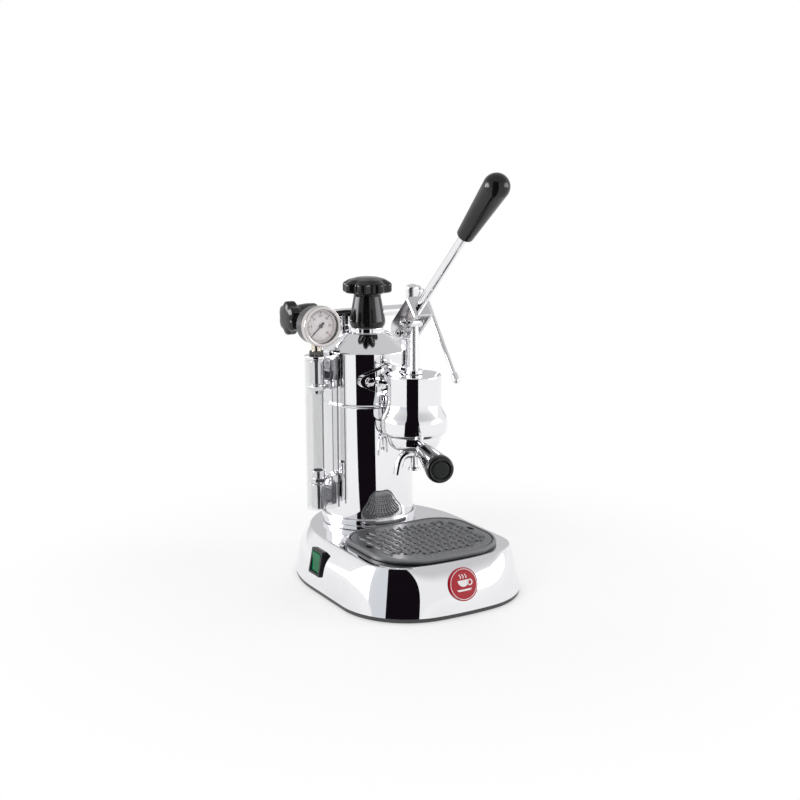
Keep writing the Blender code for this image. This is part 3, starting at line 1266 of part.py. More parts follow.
def lever_rod_and_handle(lever, chrome, black):
    """The round rod, its neck through the fork's web, and the handle on its end."""
    web = FORK_FRONT - FORK_PLATE
    start = FORK_FRONT + GAP
    bore_end = LEVER_HANDLE_START + LEVER_BORE_LENGTH
    rod = [
        (0, web + GAP), (LEVER_ROD_NECK, web + GAP), (LEVER_ROD_NECK, start), (LEVER_ROD_RADIUS, start),
        (LEVER_ROD_RADIUS, bore_end - GAP), (0, bore_end - GAP),
    ]
    place = at(0, 0, LEVER_ROD_RISE) @ TO_FRONT
    finished(moved(turned("rod", rod, SMALL_FACETS), place), "lever_rod", lever, chrome)
    start = LEVER_HANDLE_START
    small = LEVER_HANDLE_RADIUS
    large = LEVER_BALL_RADIUS
    centre = start + LEVER_HANDLE_LENGTH
    bore = LEVER_ROD_RADIUS + GAP
    lean = asin((large - small) / LEVER_HANDLE_LENGTH)
    outline = [(0, bore_end), (bore, bore_end), (bore, start)]
    outline += scaled(HANDLE_EDGE_SHARES, small, start, small)
    outline += [(radius, centre + up) for radius, up in arc(0, 0, large, -lean, pi / 2, 7)[:-1]]
    outline.append((0, centre + large))
    handle = turned("handle", outline, MEDIUM_FACETS)
    finished(moved(handle, place), "lever_handle", lever, black)


# Portafilter, drawn with its handle forward in its own frame
def portafilter_bowl(holder, chrome):
    """The bowl with its drain, its two ears and the shank and stud of its handle."""
    outer = [(BOWL_RADIUS * wide, BOWL_BOTTOM + BOWL_HEIGHT * high) for wide, high in BOWL_SHARES]
    inner = BOWL_RADIUS - BOWL_WALL
    floor = BOWL_BOTTOM + BOWL_FLOOR
    wall_end = BOWL_BOTTOM + BOWL_WALL_SHARE * BOWL_HEIGHT
    outline = [(DRAIN_RADIUS, BOWL_BOTTOM), *outer, (BOWL_RADIUS, BOWL_TOP), (inner, BOWL_TOP)]
    outline += [(inner, wall_end), *scaled(BOWL_FLOOR_SHARES, inner, floor, BOWL_HEIGHT)]
    outline.append((DRAIN_RADIUS, floor))
    bowl = turned("bowl", outline, LARGE_FACETS, closed=True)
    ear_radius = BAYONET_RADIUS - GAP
    low = BOWL_TOP - BOWL_EAR_HEIGHT
    ring = [(inner, low), (ear_radius, low), (ear_radius, BOWL_TOP), (inner, BOWL_TOP)]
    ears = turned("ears", ring, LARGE_FACETS, closed=True)
    crop_low = (-BAYONET_RADIUS, -BOWL_EAR_HALF, low - OVERRUN)
    crop = box("crop", crop_low, (BAYONET_RADIUS, BOWL_EAR_HALF, BOWL_TOP + OVERRUN))
    ears = combined(ears, "INTERSECT", crop)
    bowl = combined(bowl, "UNION", ears)
    stud_end = SHANK_END + STUD_LENGTH
    shank = [
        (0, inner + BOWL_WALL / 2), (SHANK_RADIUS, inner + BOWL_WALL / 2),
        (SHANK_END_RADIUS, SHANK_END - GAP), (STUD_RADIUS, SHANK_END - GAP), (STUD_RADIUS, stud_end),
        (0, stud_end),
    ]
    shank = moved(turned("shank", shank, SMALL_FACETS), at(0, 0, BOWL_TOP - SHANK_DROP) @ TO_FRONT)
    bowl = combined(bowl, "UNION", shank)
    space = cylinder("space", inner, wall_end, BOWL_TOP + OVERRUN, LARGE_FACETS)
    finished(combined(bowl, "DIFFERENCE", space), "portafilter_bowl", holder, chrome)


def filter_basket(holder, steel):
    """The basket, hung by its rim on the bowl's rim."""
    sheet = BASKET_SHEET
    top = BOWL_RADIUS - BOWL_WALL - BASKET_PLAY
    low = top - BASKET_TAPER
    rim = BASKET_TOP - sheet
    floor = BASKET_TOP - BASKET_DEPTH
    outer_share, inner_share = BASKET_FOOT_SHARES
    outline = [
        (0, floor), (outer_share * low, floor), (low, floor + sheet), (top, rim), (BOWL_RADIUS - GAP, rim),
        (BOWL_RADIUS - GAP, BASKET_TOP), (top - sheet, BASKET_TOP), (low - sheet, floor + 2 * sheet),
        (inner_share * low, floor + sheet), (0, floor + sheet),
    ]
    finished(turned("basket", outline, LARGE_FACETS), "filter_basket", holder, steel)


def portafilter_grip(holder, black, dark):
    """The swelling handle on the stud, with a disc let into its end."""
    end = SHANK_END + GRIP_LENGTH
    outer = [(GRIP_RADIUS * wide, SHANK_END + GRIP_LENGTH * high) for wide, high in GRIP_SHARES]
    bore = STUD_RADIUS + GAP
    bore_end = SHANK_END + STUD_LENGTH + GAP
    outline = [(0, bore_end), (bore, bore_end), (bore, SHANK_END), *outer]
    outline += [
        (GRIP_RADIUS * GRIP_FACE_SHARE, end), (END_CAP_RADIUS + GAP, end),
        (END_CAP_RADIUS + GAP, end - END_CAP_SINK), (0, end - END_CAP_SINK),
    ]
    place = at(0, 0, BOWL_TOP - SHANK_DROP) @ TO_FRONT
    finished(moved(turned("grip", outline, MEDIUM_FACETS), place), "portafilter_handle", holder, black)
    seat = end - END_CAP_SINK + GAP
    disc = [
        (0, seat), (END_CAP_RADIUS, seat), *scaled(END_CAP_SHARES, END_CAP_RADIUS, end, END_CAP_SINK),
    ]
    finished(moved(turned("disc", disc, MEDIUM_FACETS), place), "handle_end_cap", holder, dark)


def spout(holder, chrome):
    """The double spout: a plate and a flared stem under the bowl, and an arched arm to each side."""
    plate_bottom = SPOUT_TOP - SPOUT_PLATE_HEIGHT
    stem_bottom = plate_bottom - SPOUT_STEM_LENGTH
    outline = [
        (0, stem_bottom), (SPOUT_FLARE_RADIUS, stem_bottom),
        (SPOUT_FLARE_RADIUS, stem_bottom + SPOUT_FLARE_SHARE * SPOUT_STEM_LENGTH),
        *scaled(SPOUT_THROAT_SHARES, SPOUT_STEM_RADIUS, stem_bottom, SPOUT_STEM_LENGTH),
        (SPOUT_STEM_RADIUS, plate_bottom),
        (SPOUT_PLATE_RADIUS, plate_bottom), (SPOUT_PLATE_RADIUS, SPOUT_TOP), (0, SPOUT_TOP),
    ]
    body = turned("stem", outline, MEDIUM_FACETS)
    arms = []
    bores = []
    for side in (-1, 1):
        path = [
            (side * SPOUT_REACH * out, 0, SPOUT_TOP - SPOUT_DROP * down) for out, down in SPOUT_PATH_SHARES
        ]
        arms.append(tube("arm", path, SPOUT_RADIUS))
        bore = cylinder("bore", SPOUT_BORE, SPOUT_TIP - OVERRUN, SPOUT_TIP + SPOUT_BORE, SMALL_FACETS)
        bores.append(moved(bore, at(side * SPOUT_REACH, 0, 0)))
    body = combined(body, "UNION", arms[0])
    body = combined(body, "UNION", arms[1])
    finished(combined(body, "DIFFERENCE", *bores), "spout", holder, chrome)


# Sight glass, drawn in a frame on the glass's axis whose X points to the boiler's axis
def sight_fitting(name, sight, low, high, link_z, post, chrome, socket=None):
    """A fitting: a round body, an arm towards the boiler and the link that reaches it."""
    body = cylinder("body", SIGHT_BODY_RADIUS, low, high)
    half = SIGHT_ARM_HALF
    arm = box("arm", (0, -half, low + SIGHT_ARM_RISE), (SIGHT_ARM_REACH, half, high - GAP))
    foot = box("post", (SIGHT_POST_START, -half, post[0]), (SIGHT_ARM_REACH, half, post[1]))
    link = cylinder("link", SIGHT_LINK_RADIUS, SIGHT_POST_START + GAP, SIGHT_REACH, SMALL_FACETS)
    link = moved(link, at(0, 0, link_z) @ TO_X)
    for shape in (arm, foot, link):
        body = combined(body, "UNION", shape)
    wall = moved(boiler_form("wall", GAP), at(SIGHT_REACH, 0, 0) @ Matrix.Rotation(-SIGHT_TURN, 4, "Z"))
    cuts = [wall] if socket is None else [wall, socket]
    finished(combined(body, "DIFFERENCE", *cuts), name, sight, chrome)


def sight_fittings(sight, chrome):
    floor = SIGHT_TOP - GAUGE_STEM_SINK
    stem = cylinder("socket", GAUGE_STEM_RADIUS + GAP, floor, SIGHT_TOP + OVERRUN, SMALL_FACETS)
    low = SIGHT_BODY_BOTTOM
    post = (low - SIGHT_POST_DROP, SIGHT_TOP - GAP)
    sight_fitting("sight_upper_fitting", sight, low, SIGHT_TOP, low - SIGHT_LINK_DROP, post, chrome, stem)
    high = SIGHT_LOWER_TOP
    post = (SIGHT_LOWER_BOTTOM + SIGHT_POST_DROP, high + SIGHT_POST_DROP)
    link_z = high + SIGHT_LINK_DROP
    sight_fitting("sight_lower_fitting", sight, SIGHT_LOWER_BOTTOM, high, link_z, post, chrome)


def sight_nut(name, sight, start, end, hex_at, chrome):
    """A gland nut around the glass, with a hexagon part way along it."""
    low, high = sorted((start, end))
    half = SIGHT_NUT_HEIGHT / 2
    body = cylinder("collar", SIGHT_COLLAR_RADIUS, low, high, SMALL_FACETS)
    hexagon = cylinder("hexagon", SIGHT_NUT_RADIUS, hex_at - half, hex_at + half, HEX_FACETS)
    body = combined(body, "UNION", moved(hexagon, Matrix.Rotation(pi / HEX_FACETS, 4, "Z")))
    clear = cylinder("clear", SIGHT_TUBE_RADIUS + GAP, low - OVERRUN, high + OVERRUN, SMALL_FACETS)
    finished(combined(body, "DIFFERENCE", clear), name, sight, chrome)


def sight_glass(sight, chrome, glass):
    """The glass tube and the nuts that seal it to both fittings."""
    low = SIGHT_LOWER_TOP + GAP
    high = SIGHT_BODY_BOTTOM - GAP
    bore = SIGHT_TUBE_RADIUS - SIGHT_TUBE_WALL
    ring = [(bore, low), (SIGHT_TUBE_RADIUS, low), (SIGHT_TUBE_RADIUS, high), (bore, high)]
    finished(turned("glass", ring, SMALL_FACETS, closed=True), "sight_tube", sight, glass)
    hex_at = high - SIGHT_NUT_HEIGHT
    sight_nut("sight_nut_upper", sight, high, high - SIGHT_NUT_LENGTH, hex_at, chrome)
    sight_nut("sight_nut_lower", sight, low, low + SIGHT_LOWER_NUT_LENGTH, low + SIGHT_NUT_HEIGHT, chrome)


def shield_plan(outset, reach=SHIELD_REACH):
    """The shield's U outline, grown outwards by an outset, as a closed shape."""
    radius = SHIELD_RADIUS + outset
    return [(reach, radius), *arc(0, 0, radius, pi / 2, 3 * pi / 2, SHIELD_STEPS), (reach, -radius)]


def sight_shield(sight, clear):
    """The clear U-shaped shield around the glass, open towards the boiler."""
    section = shield_plan(0) + list(reversed(shield_plan(-SHIELD_WALL)))
    bottom = SIGHT_LOWER_BOTTOM - SHIELD_HANG
    shield = extruded("shield", section, bottom, PLATE_BOTTOM - GAP)
    finished(shield, "sight_shield", sight, clear)


def sight_top_plate(sight, chrome):
    """The plate on the shield, plugged into its top, with a domed nut."""
    plug = shield_plan(-SHIELD_WALL - GAP, SHIELD_REACH - SHIELD_WALL)
    rings = [
        at_height(plug, SIGHT_TOP + GAP), at_height(plug, PLATE_BOTTOM),
        at_height(shield_plan(0), PLATE_BOTTOM), at_height(shield_plan(0), PLATE_TOP - PLATE_SHEET / 4),
        at_height(shield_plan(-PLATE_SHEET / 4), PLATE_TOP),
    ]
    plate = lofted("plate", rings)
    radius = PLATE_NUT_RADIUS
    top = PLATE_TOP + PLATE_NUT_HEIGHT
    dome = [
        (0, PLATE_TOP - PLATE_SHEET / 2), (radius, PLATE_TOP - PLATE_SHEET / 2),
        *scaled(PLATE_NUT_SHARES, radius, top, -radius), (0, top),
    ]
    nut = moved(turned("nut", dome, SMALL_FACETS), at(PLATE_NUT_X, PLATE_NUT_Y, 0))
    plate = combined(plate, "UNION", nut)
    hole = cylinder("hole", GAUGE_STEM_RADIUS + GAP, SIGHT_TOP - OVERRUN, PLATE_TOP + OVERRUN, SMALL_FACETS)
    wall = moved(boiler_form("wall", GAP), at(SIGHT_REACH, 0, 0) @ Matrix.Rotation(-SIGHT_TURN, 4, "Z"))
    finished(combined(plate, "DIFFERENCE", hole, wall), "sight_top_plate", sight, chrome)


# Gauge, drawn about its own axis with its face towards +Z, then turned to the front
def gauge(mount, chrome, steel, paint, red, glass):
    """The pressure gauge on its stem: case, bezel, dial, needle and glass."""
    face = empty("gauge_face", mount, (0, -GAUGE_STEM_BACK, PLATE_TOP + GAUGE_RISE), (pi / 2, 0, 0))
    radius = GAUGE_CASE_RADIUS
    front = -GAUGE_BEZEL_LIP - GAP - GAUGE_GLASS - GAP
    inner = radius - GAUGE_WALL
    ledge = -GAUGE_DIAL_DEPTH - GAUGE_DIAL - GAP
    back = GAUGE_BACK - GAUGE_DEPTH
    rear_share, side_share = GAUGE_REAR_SHARES
    outline = [
        (0, -GAUGE_DEPTH), (rear_share * radius, -GAUGE_DEPTH), (radius, -side_share * GAUGE_DEPTH),
        (radius, front), (inner, front), (inner, ledge), (inner - GAUGE_LEDGE, ledge),
        (inner - GAUGE_LEDGE, back), (0, back),
    ]
    case = turned("case", outline, MEDIUM_FACETS)
    fall = GAUGE_RISE + PLATE_TOP
    seat = PLATE_TOP + GAP
    waist = seat + GAUGE_NUT_HEIGHT / 2
    top = fall - radius + GAUGE_WALL / 2
    stem = turned("stem", [
        (0, SIGHT_TOP - GAUGE_STEM_SINK + GAP), (GAUGE_STEM_RADIUS, SIGHT_TOP - GAUGE_STEM_SINK + GAP),
        (GAUGE_STEM_RADIUS, waist), (GAUGE_COLLAR_RADIUS, waist), (GAUGE_COLLAR_RADIUS, top), (0, top),
    ], SMALL_FACETS)
    nut = cylinder("nut", GAUGE_NUT_RADIUS, seat, seat + GAUGE_NUT_HEIGHT, HEX_FACETS)
    down = Matrix.Rotation(-pi / 2, 4, "X") @ at(0, GAUGE_STEM_BACK, -fall)
    stem = moved(combined(stem, "UNION", nut), down)
    front_space = cylinder("front", GAUGE_RADIUS + GAP, -GAUGE_BEZEL_DEPTH - GAP, OVERRUN)
    stem = combined(stem, "DIFFERENCE", front_space)
    case = combined(case, "UNION", stem)
    finished(case, "gauge_case", face, steel)
    bezel_bore = radius + GAP
    outer_share, inner_share = BEZEL_EDGE_SHARES
    ease = inner_share * GAUGE_BEZEL_LIP
    bezel = [
        (bezel_bore, -GAUGE_BEZEL_DEPTH), (GAUGE_RADIUS, -GAUGE_BEZEL_DEPTH),
        (GAUGE_RADIUS, -GAUGE_BEZEL_LIP), (GAUGE_RADIUS - outer_share * GAUGE_BEZEL_LIP, 0),
        (GAUGE_BEZEL_BORE + ease, 0), (GAUGE_BEZEL_BORE, -ease), (GAUGE_BEZEL_BORE, -GAUGE_BEZEL_LIP),
        (bezel_bore, -GAUGE_BEZEL_LIP),
    ]
    finished(turned("bezel", bezel, MEDIUM_FACETS, closed=True), "gauge_bezel", face, chrome)
    dial = cylinder("dial", GAUGE_DIAL_RADIUS, -GAUGE_DIAL_DEPTH - GAUGE_DIAL, -GAUGE_DIAL_DEPTH)
    finished(dial, "gauge_dial", face, paint)
    pane = cylinder("pane", radius - GAP, front + GAP, front + GAP + GAUGE_GLASS)
    finished(pane, "gauge_glass", face, glass)
    low = GAP - GAUGE_DIAL_DEPTH
    hub = cylinder("hub", NEEDLE_HUB, low, low + NEEDLE_HUB_HEIGHT, SMALL_FACETS)
    plan = [
        (-NEEDLE_HALF_WIDTH, -NEEDLE_TAIL), (NEEDLE_HALF_WIDTH, -NEEDLE_TAIL),
        (NEEDLE_HALF_WIDTH / 2, NEEDLE_LENGTH), (-NEEDLE_HALF_WIDTH / 2, NEEDLE_LENGTH),
    ]
    blade = extruded("blade", plan, low + NEEDLE_SHEET / 2, low + NEEDLE_SHEET * 3 / 2)
    needle = moved(combined(hub, "UNION", blade), Matrix.Rotation(NEEDLE_ZERO, 4, "Z"))
    finished(needle, "gauge_needle", face, red)


# Steam valve
def steam_valve(machine, chrome, steel, black):
    """The valve across the boiler's rear, its spindle and knob, and the ball nut at its outlet."""
    left = STEAM_LEFT
    line = at(0, STEAM_Y, STEAM_Z)
    outlet_low = STEAM_Z - STEAM_OUTLET_DROP
    outlet_high = STEAM_Z + STEAM_OUTLET_RISE
    wide = STEAM_OUTLET_RADIUS
    dome = [
        (0, outlet_low), (wide, outlet_low), (wide, outlet_high - STEAM_OUTLET_DOME),
        *scaled(STEAM_DOME_SHARES, wide, outlet_high, -STEAM_OUTLET_DOME), (0, outlet_high),
    ]
    body = moved(cylinder("pipe", STEAM_RADIUS, -left, STEAM_OUTLET_X, MEDIUM_FACETS), line @ TO_X)
    outlet = moved(turned("outlet", dome, MEDIUM_FACETS), at(STEAM_OUTLET_X, STEAM_Y, 0))
    nut_end = -left + STEAM_NUT_LENGTH / 2
    nut = cylinder("nut", STEAM_NUT_RADIUS, -left - STEAM_NUT_LENGTH, nut_end, HEX_FACETS)
    nut = moved(nut, line @ TO_X)
    neck_outline = [
        (0, BOILER_SHOULDER), (STEAM_NECK_RADIUS, BOILER_SHOULDER), (STEAM_NECK_RADIUS, CONE_TOP),
        (STEAM_NECK_WAIST, CONE_TOP + STEAM_RISE / 4), (STEAM_NECK_WAIST, STEAM_Z), (0, STEAM_Z),
    ]
    neck = moved(turned("neck", neck_outline, SMALL_FACETS), at(STEAM_NECK_X, STEAM_Y, 0))
    boss = cylinder("boss", STEAM_BOSS_RADIUS, STEAM_OUTLET_X, STEAM_BOSS_END, SMALL_FACETS)
    boss = moved(boss, at(0, STEAM_Y, BALL_Z) @ TO_X)
    for shape in (outlet, nut, neck, boss):
        body = combined(body, "UNION", shape)
    wall = moved(boiler_form("wall", GAP), at(0, BOILER_Y, 0))
    socket = moved(ball("socket", BALL_RADIUS + GAP), at(BALL_X, STEAM_Y, BALL_Z))
    bore_end = STEAM_SPINDLE_SINK - left - STEAM_NUT_LENGTH
    bore = cylinder("bore", STEAM_SPINDLE_RADIUS + GAP, -left - 2 * STEAM_NUT_LENGTH, bore_end, SMALL_FACETS)
    seat = cylinder("seat", BALL_NUT_RADIUS + GAP, STEAM_BOSS_END, STEAM_BOSS_END + OVERRUN)
    seat = moved(seat, at(0, STEAM_Y, BALL_Z) @ TO_X)
    cuts = [wall, socket, seat, moved(bore, line @ TO_X)]
    finished(combined(body, "DIFFERENCE", *cuts), "steam_valve_body", machine, chrome)
    turn = empty("steam_axis", machine, (0, STEAM_Y, STEAM_Z))
    knob_bore = STEAM_KNOB_START + STEAM_KNOB_BORE
    spindle = cylinder("spindle", STEAM_SPINDLE_RADIUS, GAP - bore_end, knob_bore - GAP, SMALL_FACETS)
    finished(moved(spindle, TO_LEFT), "steam_spindle", turn, steel)
    knob = lobed_knob(
        "knob", STEAM_KNOB_SHARES, STEAM_KNOB_RADIUS, STEAM_KNOB_LENGTH, STEAM_LOBE_DEPTH, STEAM_LOBES,
        STEAM_LOBE_POINTS,
    )
    hollow = cylinder("hollow", STEAM_SPINDLE_RADIUS + GAP, -OVERRUN, STEAM_KNOB_BORE, SMALL_FACETS)
    knob = combined(knob, "DIFFERENCE", hollow)
    finished(moved(knob, TO_LEFT @ at(0, 0, STEAM_KNOB_START)), "steam_knob", turn, black)
    start = STEAM_BOSS_END + GAP
    end = start + BALL_NUT_LENGTH
    bore = BALL_RADIUS + GAP
    ring = [(bore, start), (BALL_NUT_RADIUS, start), (BALL_NUT_RADIUS, end), (bore, end)]
    ring = moved(turned("ball_nut", ring, SMALL_FACETS, closed=True), at(0, STEAM_Y, BALL_Z) @ TO_X)
    finished(ring, "steam_ball_nut", machine, chrome)


def steam_wand(machine, chrome):
    """The wand: a ball, a short bend out of it and a straight pipe down to its tip."""
    swing = empty("wand_axis", machine, (BALL_X, STEAM_Y, BALL_Z))
    tip = Vector((WAND_OUT + WAND_SPREAD, -WAND_FORWARD, -WAND_DROP))
    points = [
        (WAND_OUT * out, -WAND_FORWARD * ahead, -WAND_DROP * down) for out, ahead, down in WAND_BEND_SHARES
    ]
    points.append(tuple(tip))
    wand = combined(ball("ball", BALL_RADIUS), "UNION", tube("pipe", points, WAND_RADIUS))
    along = tip - Vector(points[-2])
    nozzle = turned("nozzle", [
        (0, -WAND_TIP_LENGTH), *scaled(WAND_TIP_SHARES, WAND_TIP_RADIUS, 0, WAND_TIP_LENGTH),
    ], SMALL_FACETS)
    turn = along.to_track_quat("Z", "Y").to_matrix().to_4x4()
    wand = combined(wand, "UNION", moved(nozzle, Matrix.Translation(tip) @ turn))
    finished(wand, "steam_wand", swing, chrome)


def settle(machine, parts):
    """Moves the machine so that the middle of its box's underside is the origin."""
    bpy.context.view_layer.update()
    corners = [part.matrix_world @ vert.co for part in parts for vert in part.data.vertices]
    lows = [min(corner[axis] for corner in corners) for axis in range(3)]
    highs = [max(corner[axis] for corner in corners) for axis in range(3)]
    machine.location = (-(lows[0] + highs[0]) / 2, -(lows[1] + highs[1]) / 2, -lows[2])


def main():
    for leftover in list(bpy.data.objects):
        bpy.data.objects.remove(leftover)

    chrome = material("chrome", (0.80, 0.80, 0.82), 1, 0.08)
    steel = material("steel", (0.62, 0.62, 0.64), 1, 0.30)
    brass = material("brass", (0.72, 0.58, 0.33), 1, 0.25)
    black = material("black_bakelite", (0.012, 0.012, 0.013), 0, 0.18)
    dark = material("dark_plastic", (0.03, 0.03, 0.032), 0, 0.5)
    rubber = material("rubber", (0.02, 0.02, 0.02), 0, 0.8)
    tray_grey = material("grey_plastic", (0.17, 0.17, 0.18), 0, 0.4)
    enamel = material("red_enamel", (0.60, 0.03, 0.05), 0, 0.25)
    green = material("green_plastic", (0.01, 0.25, 0.08), 0, 0.25)
    paint = material("white_paint", (0.85, 0.83, 0.80), 0, 0.4)
    needle_black = material("needle_paint", (0.05, 0.05, 0.05), 0, 0.5)
    glass = material("glass", (0.95, 0.97, 0.97), 0, 0.05, 0.3)
    clear = material("clear_plastic", (0.93, 0.94, 0.95), 0, 0.1, 0.25)

    machine = empty("machine", None, (0, 0, 0))
    boiler = empty("boiler_axis", machine, (0, BOILER_Y, 0))
    group = empty("group_axis", machine, (0, BOILER_Y - GROUP_REACH, 0))
    holder = empty("portafilter_axis", group, (0, 0, 0), (0, 0, -PORTAFILTER_TURN))
    slide = empty("piston_axis", group, (0, 0, 0))
    lever = empty("lever_axis", group, (0, FULCRUM_BACK, FULCRUM_Z), (-LEVER_ANGLE, 0, 0))
    sight_x = -SIGHT_REACH * cos(SIGHT_TURN)
    sight_y = BOILER_Y - SIGHT_REACH * sin(SIGHT_TURN)
    sight = empty("sight_axis", machine, (sight_x, sight_y, 0), (0, 0, SIGHT_TURN))
    gauge_mount = empty("gauge_mount", machine, (sight_x, sight_y, 0))

    feet(machine, rubber)
    bottom_pan(machine, dark)
    base_shell(machine, chrome)
    badge(machine, enamel)
    switch_bezel(machine, black)
    switch_rocker(machine, green)
    cord_gland(machine, rubber)
    drip_tray(machine, tray_grey)
    drip_grille(machine, steel)
    boiler_body(boiler, chrome)
    boiler_ring(boiler, chrome)
    heating(boiler, steel)
    boiler_cap(boiler, black, brass, rubber)
    group_bell(group, chrome)
    group_fixings(group, chrome, rubber)
    group_inner(group, brass, chrome, steel, rubber)
    piston(slide, steel, rubber, chrome)
    pin_and_clip("piston", slide, 0, PISTON_PIN_Z, chrome, steel)
    pin_and_clip("fulcrum", group, FULCRUM_BACK, FULCRUM_Z, chrome, steel)
    lever_fork(lever, chrome)
    lever_rod_and_handle(lever, chrome, black)
    portafilter_bowl(holder, chrome)
    filter_basket(holder, steel)
    portafilter_grip(holder, black, dark)
    spout(holder, chrome)
    sight_fittings(sight, chrome)
    sight_glass(sight, chrome, glass)
    sight_shield(sight, clear)
    sight_top_plate(sight, chrome)
    gauge(gauge_mount, chrome, steel, paint, needle_black, glass)
    steam_valve(machine, chrome, steel, black)
    steam_wand(machine, chrome)
    settle(machine, [part for part in bpy.data.objects if part.type == "MESH"])


main()
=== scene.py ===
"""The looks of the lever espresso machine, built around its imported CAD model."""

import json
from math import acos, asin, atan, atan2, cos, pi, radians, sin, sqrt, tan

import bmesh
import bpy
from mathutils import Matrix, Vector


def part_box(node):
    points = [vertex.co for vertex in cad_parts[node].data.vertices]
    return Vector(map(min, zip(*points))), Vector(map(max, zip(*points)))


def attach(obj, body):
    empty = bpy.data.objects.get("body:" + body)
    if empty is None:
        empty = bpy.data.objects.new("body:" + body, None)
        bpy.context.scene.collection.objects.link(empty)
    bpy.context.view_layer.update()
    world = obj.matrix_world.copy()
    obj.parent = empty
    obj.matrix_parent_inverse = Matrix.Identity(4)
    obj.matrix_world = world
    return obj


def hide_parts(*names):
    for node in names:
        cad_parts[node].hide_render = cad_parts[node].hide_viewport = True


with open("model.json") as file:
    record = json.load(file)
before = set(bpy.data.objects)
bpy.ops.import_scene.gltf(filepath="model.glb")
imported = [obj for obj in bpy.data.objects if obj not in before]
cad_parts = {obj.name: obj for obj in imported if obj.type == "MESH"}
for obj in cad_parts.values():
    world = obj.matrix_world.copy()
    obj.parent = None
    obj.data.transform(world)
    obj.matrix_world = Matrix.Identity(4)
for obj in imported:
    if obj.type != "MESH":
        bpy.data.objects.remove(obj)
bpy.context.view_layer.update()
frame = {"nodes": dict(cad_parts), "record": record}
RECORD = frame["record"]
SLOT_OF = {part["node"]: part["material_slot"] for part in RECORD["subparts"]}

GAP = 0.0003
OVERRUN = 0.004
WELD_DISTANCE = 0.000005

# Feet and bottom pan
FOOT_HEIGHT = 0.0008
PAN_INSET = 0.0006
PAN_CHAMFER = 0.001
PAN_EDGE = 0.0042
PAN_LIP = 0.003
PAN_LEAN = 0.0008
PAN_SHEET = 0.0018

# Base shell
BASE_WIDTH = 0.200
BASE_FRONT = 0.145
BASE_SIDE_END = 0.003
BASE_REAR_DEPTH = 0.127
BASE_BOW = 0.015
BASE_CORNER = 0.075
BASE_TOP_CORNER = 0.040
BASE_TOP_INSET = 0.0173
BASE_HEIGHT = 0.0476
BASE_WALL = 0.002
BASE_LEAN_SHARE = 0.434
BASE_CURVE_POWER = 4
BASE_CORNER_POWER = 4
BASE_HALF = BASE_WIDTH / 2
BASE_BOW_RADIUS = (BASE_HALF ** 2 + BASE_BOW ** 2) / (2 * BASE_BOW)
SHELL_BOTTOM = FOOT_HEIGHT + GAP + PAN_EDGE + GAP
BASE_TOP = SHELL_BOTTOM + BASE_HEIGHT

# Badge and switch on the base
BADGE_RADIUS = 0.0166
BADGE_THICKNESS = 0.0018
BADGE_BACK = 0.004
BADGE_SIDE = 0.003
BADGE_HEIGHT_SHARE = 0.57
SWITCH_HEIGHT = 0.027
SWITCH_LENGTH = 0.024
SWITCH_FLANGE = 0.0032
SWITCH_FRAME = 0.0028
SWITCH_BODY_MARGIN = 0.0014
SWITCH_DEPTH = 0.012
SWITCH_WELL = 0.0100
SWITCH_Y = -0.004
SWITCH_HEIGHT_SHARE = 0.565
SWITCH_LEAN = radians(11)
ROCKER_PIVOT_DROP = 0.0032
ROCKER_TILT = radians(8)
ROCKER_UPPER_ANGLE = radians(16)
ROCKER_LOWER_ANGLE = radians(22)

# Cord gland at the rear
GLAND_RADIUS = 0.008
GLAND_BORE = 0.0033
GLAND_FLANGE = 0.003
GLAND_BODY_RADIUS = 0.006
GLAND_LENGTH = 0.012
GLAND_HEIGHT_SHARE = 0.36

# Boiler
BOILER_Y = 0.0569
BOILER_RADIUS = 0.049
BOILER_WALL = 0.0015
SIGHT_LENGTH = 0.1600
BOILER_BESIDE_SIGHT = 0.0271
BOILER_SIDE = SIGHT_LENGTH + BOILER_BESIDE_SIGHT
BOILER_FLOOR = 0.003
BOILER_PORT = 0.030
COLLAR_RADIUS = 0.051
COLLAR_HEIGHT = 0.0023
RING_RADIUS = 0.0524
RING_HEIGHT = 0.0068
SEAM_DROP = 0.0565
SEAM_WIDTH = 0.0035
SEAM_PROUD = 0.0012
CONE_TOP_RADIUS = 0.0225
CONE_HEIGHT = 0.0176
NECK_RADIUS = 0.0181
NECK_HEIGHT = 0.0055
NECK_BORE = 0.0125
BOILER_BOTTOM = BASE_TOP + COLLAR_HEIGHT + GAP
BOILER_SHOULDER = BOILER_BOTTOM + BOILER_SIDE
CONE_TOP = BOILER_SHOULDER + CONE_HEIGHT
NECK_TOP = CONE_TOP + NECK_HEIGHT

# Boiler cap
CAP_KNOB_RADIUS = 0.0269
CAP_KNOB_HEIGHT = 0.0541
CAP_LOBES = 8
CAP_LOBE_DEPTH = 0.0034
CAP_PLUG_LENGTH = 0.0075
CAP_STEM_RADIUS = 0.006
CAP_STEM_RISE = 0.022
CAP_RECESS_RADIUS = 0.0166
GASKET_HEIGHT = 0.002
CAP_TURN = radians(4)
CAP_SHARES = (
    (0.655, 0.0, 0), (0.70, 0.03, 0), (0.729, 0.105, 0), (0.70, 0.2, 0), (0.547, 0.612, 0),
    (0.56, 0.655, 0), (0.95, 0.69, 1), (1.0, 0.715, 1), (1.0, 0.855, 1), (0.95, 0.885, 0.9),
    (0.74, 0.945, 0.3), (0.42, 0.985, 0), (0.12, 1.0, 0),
)

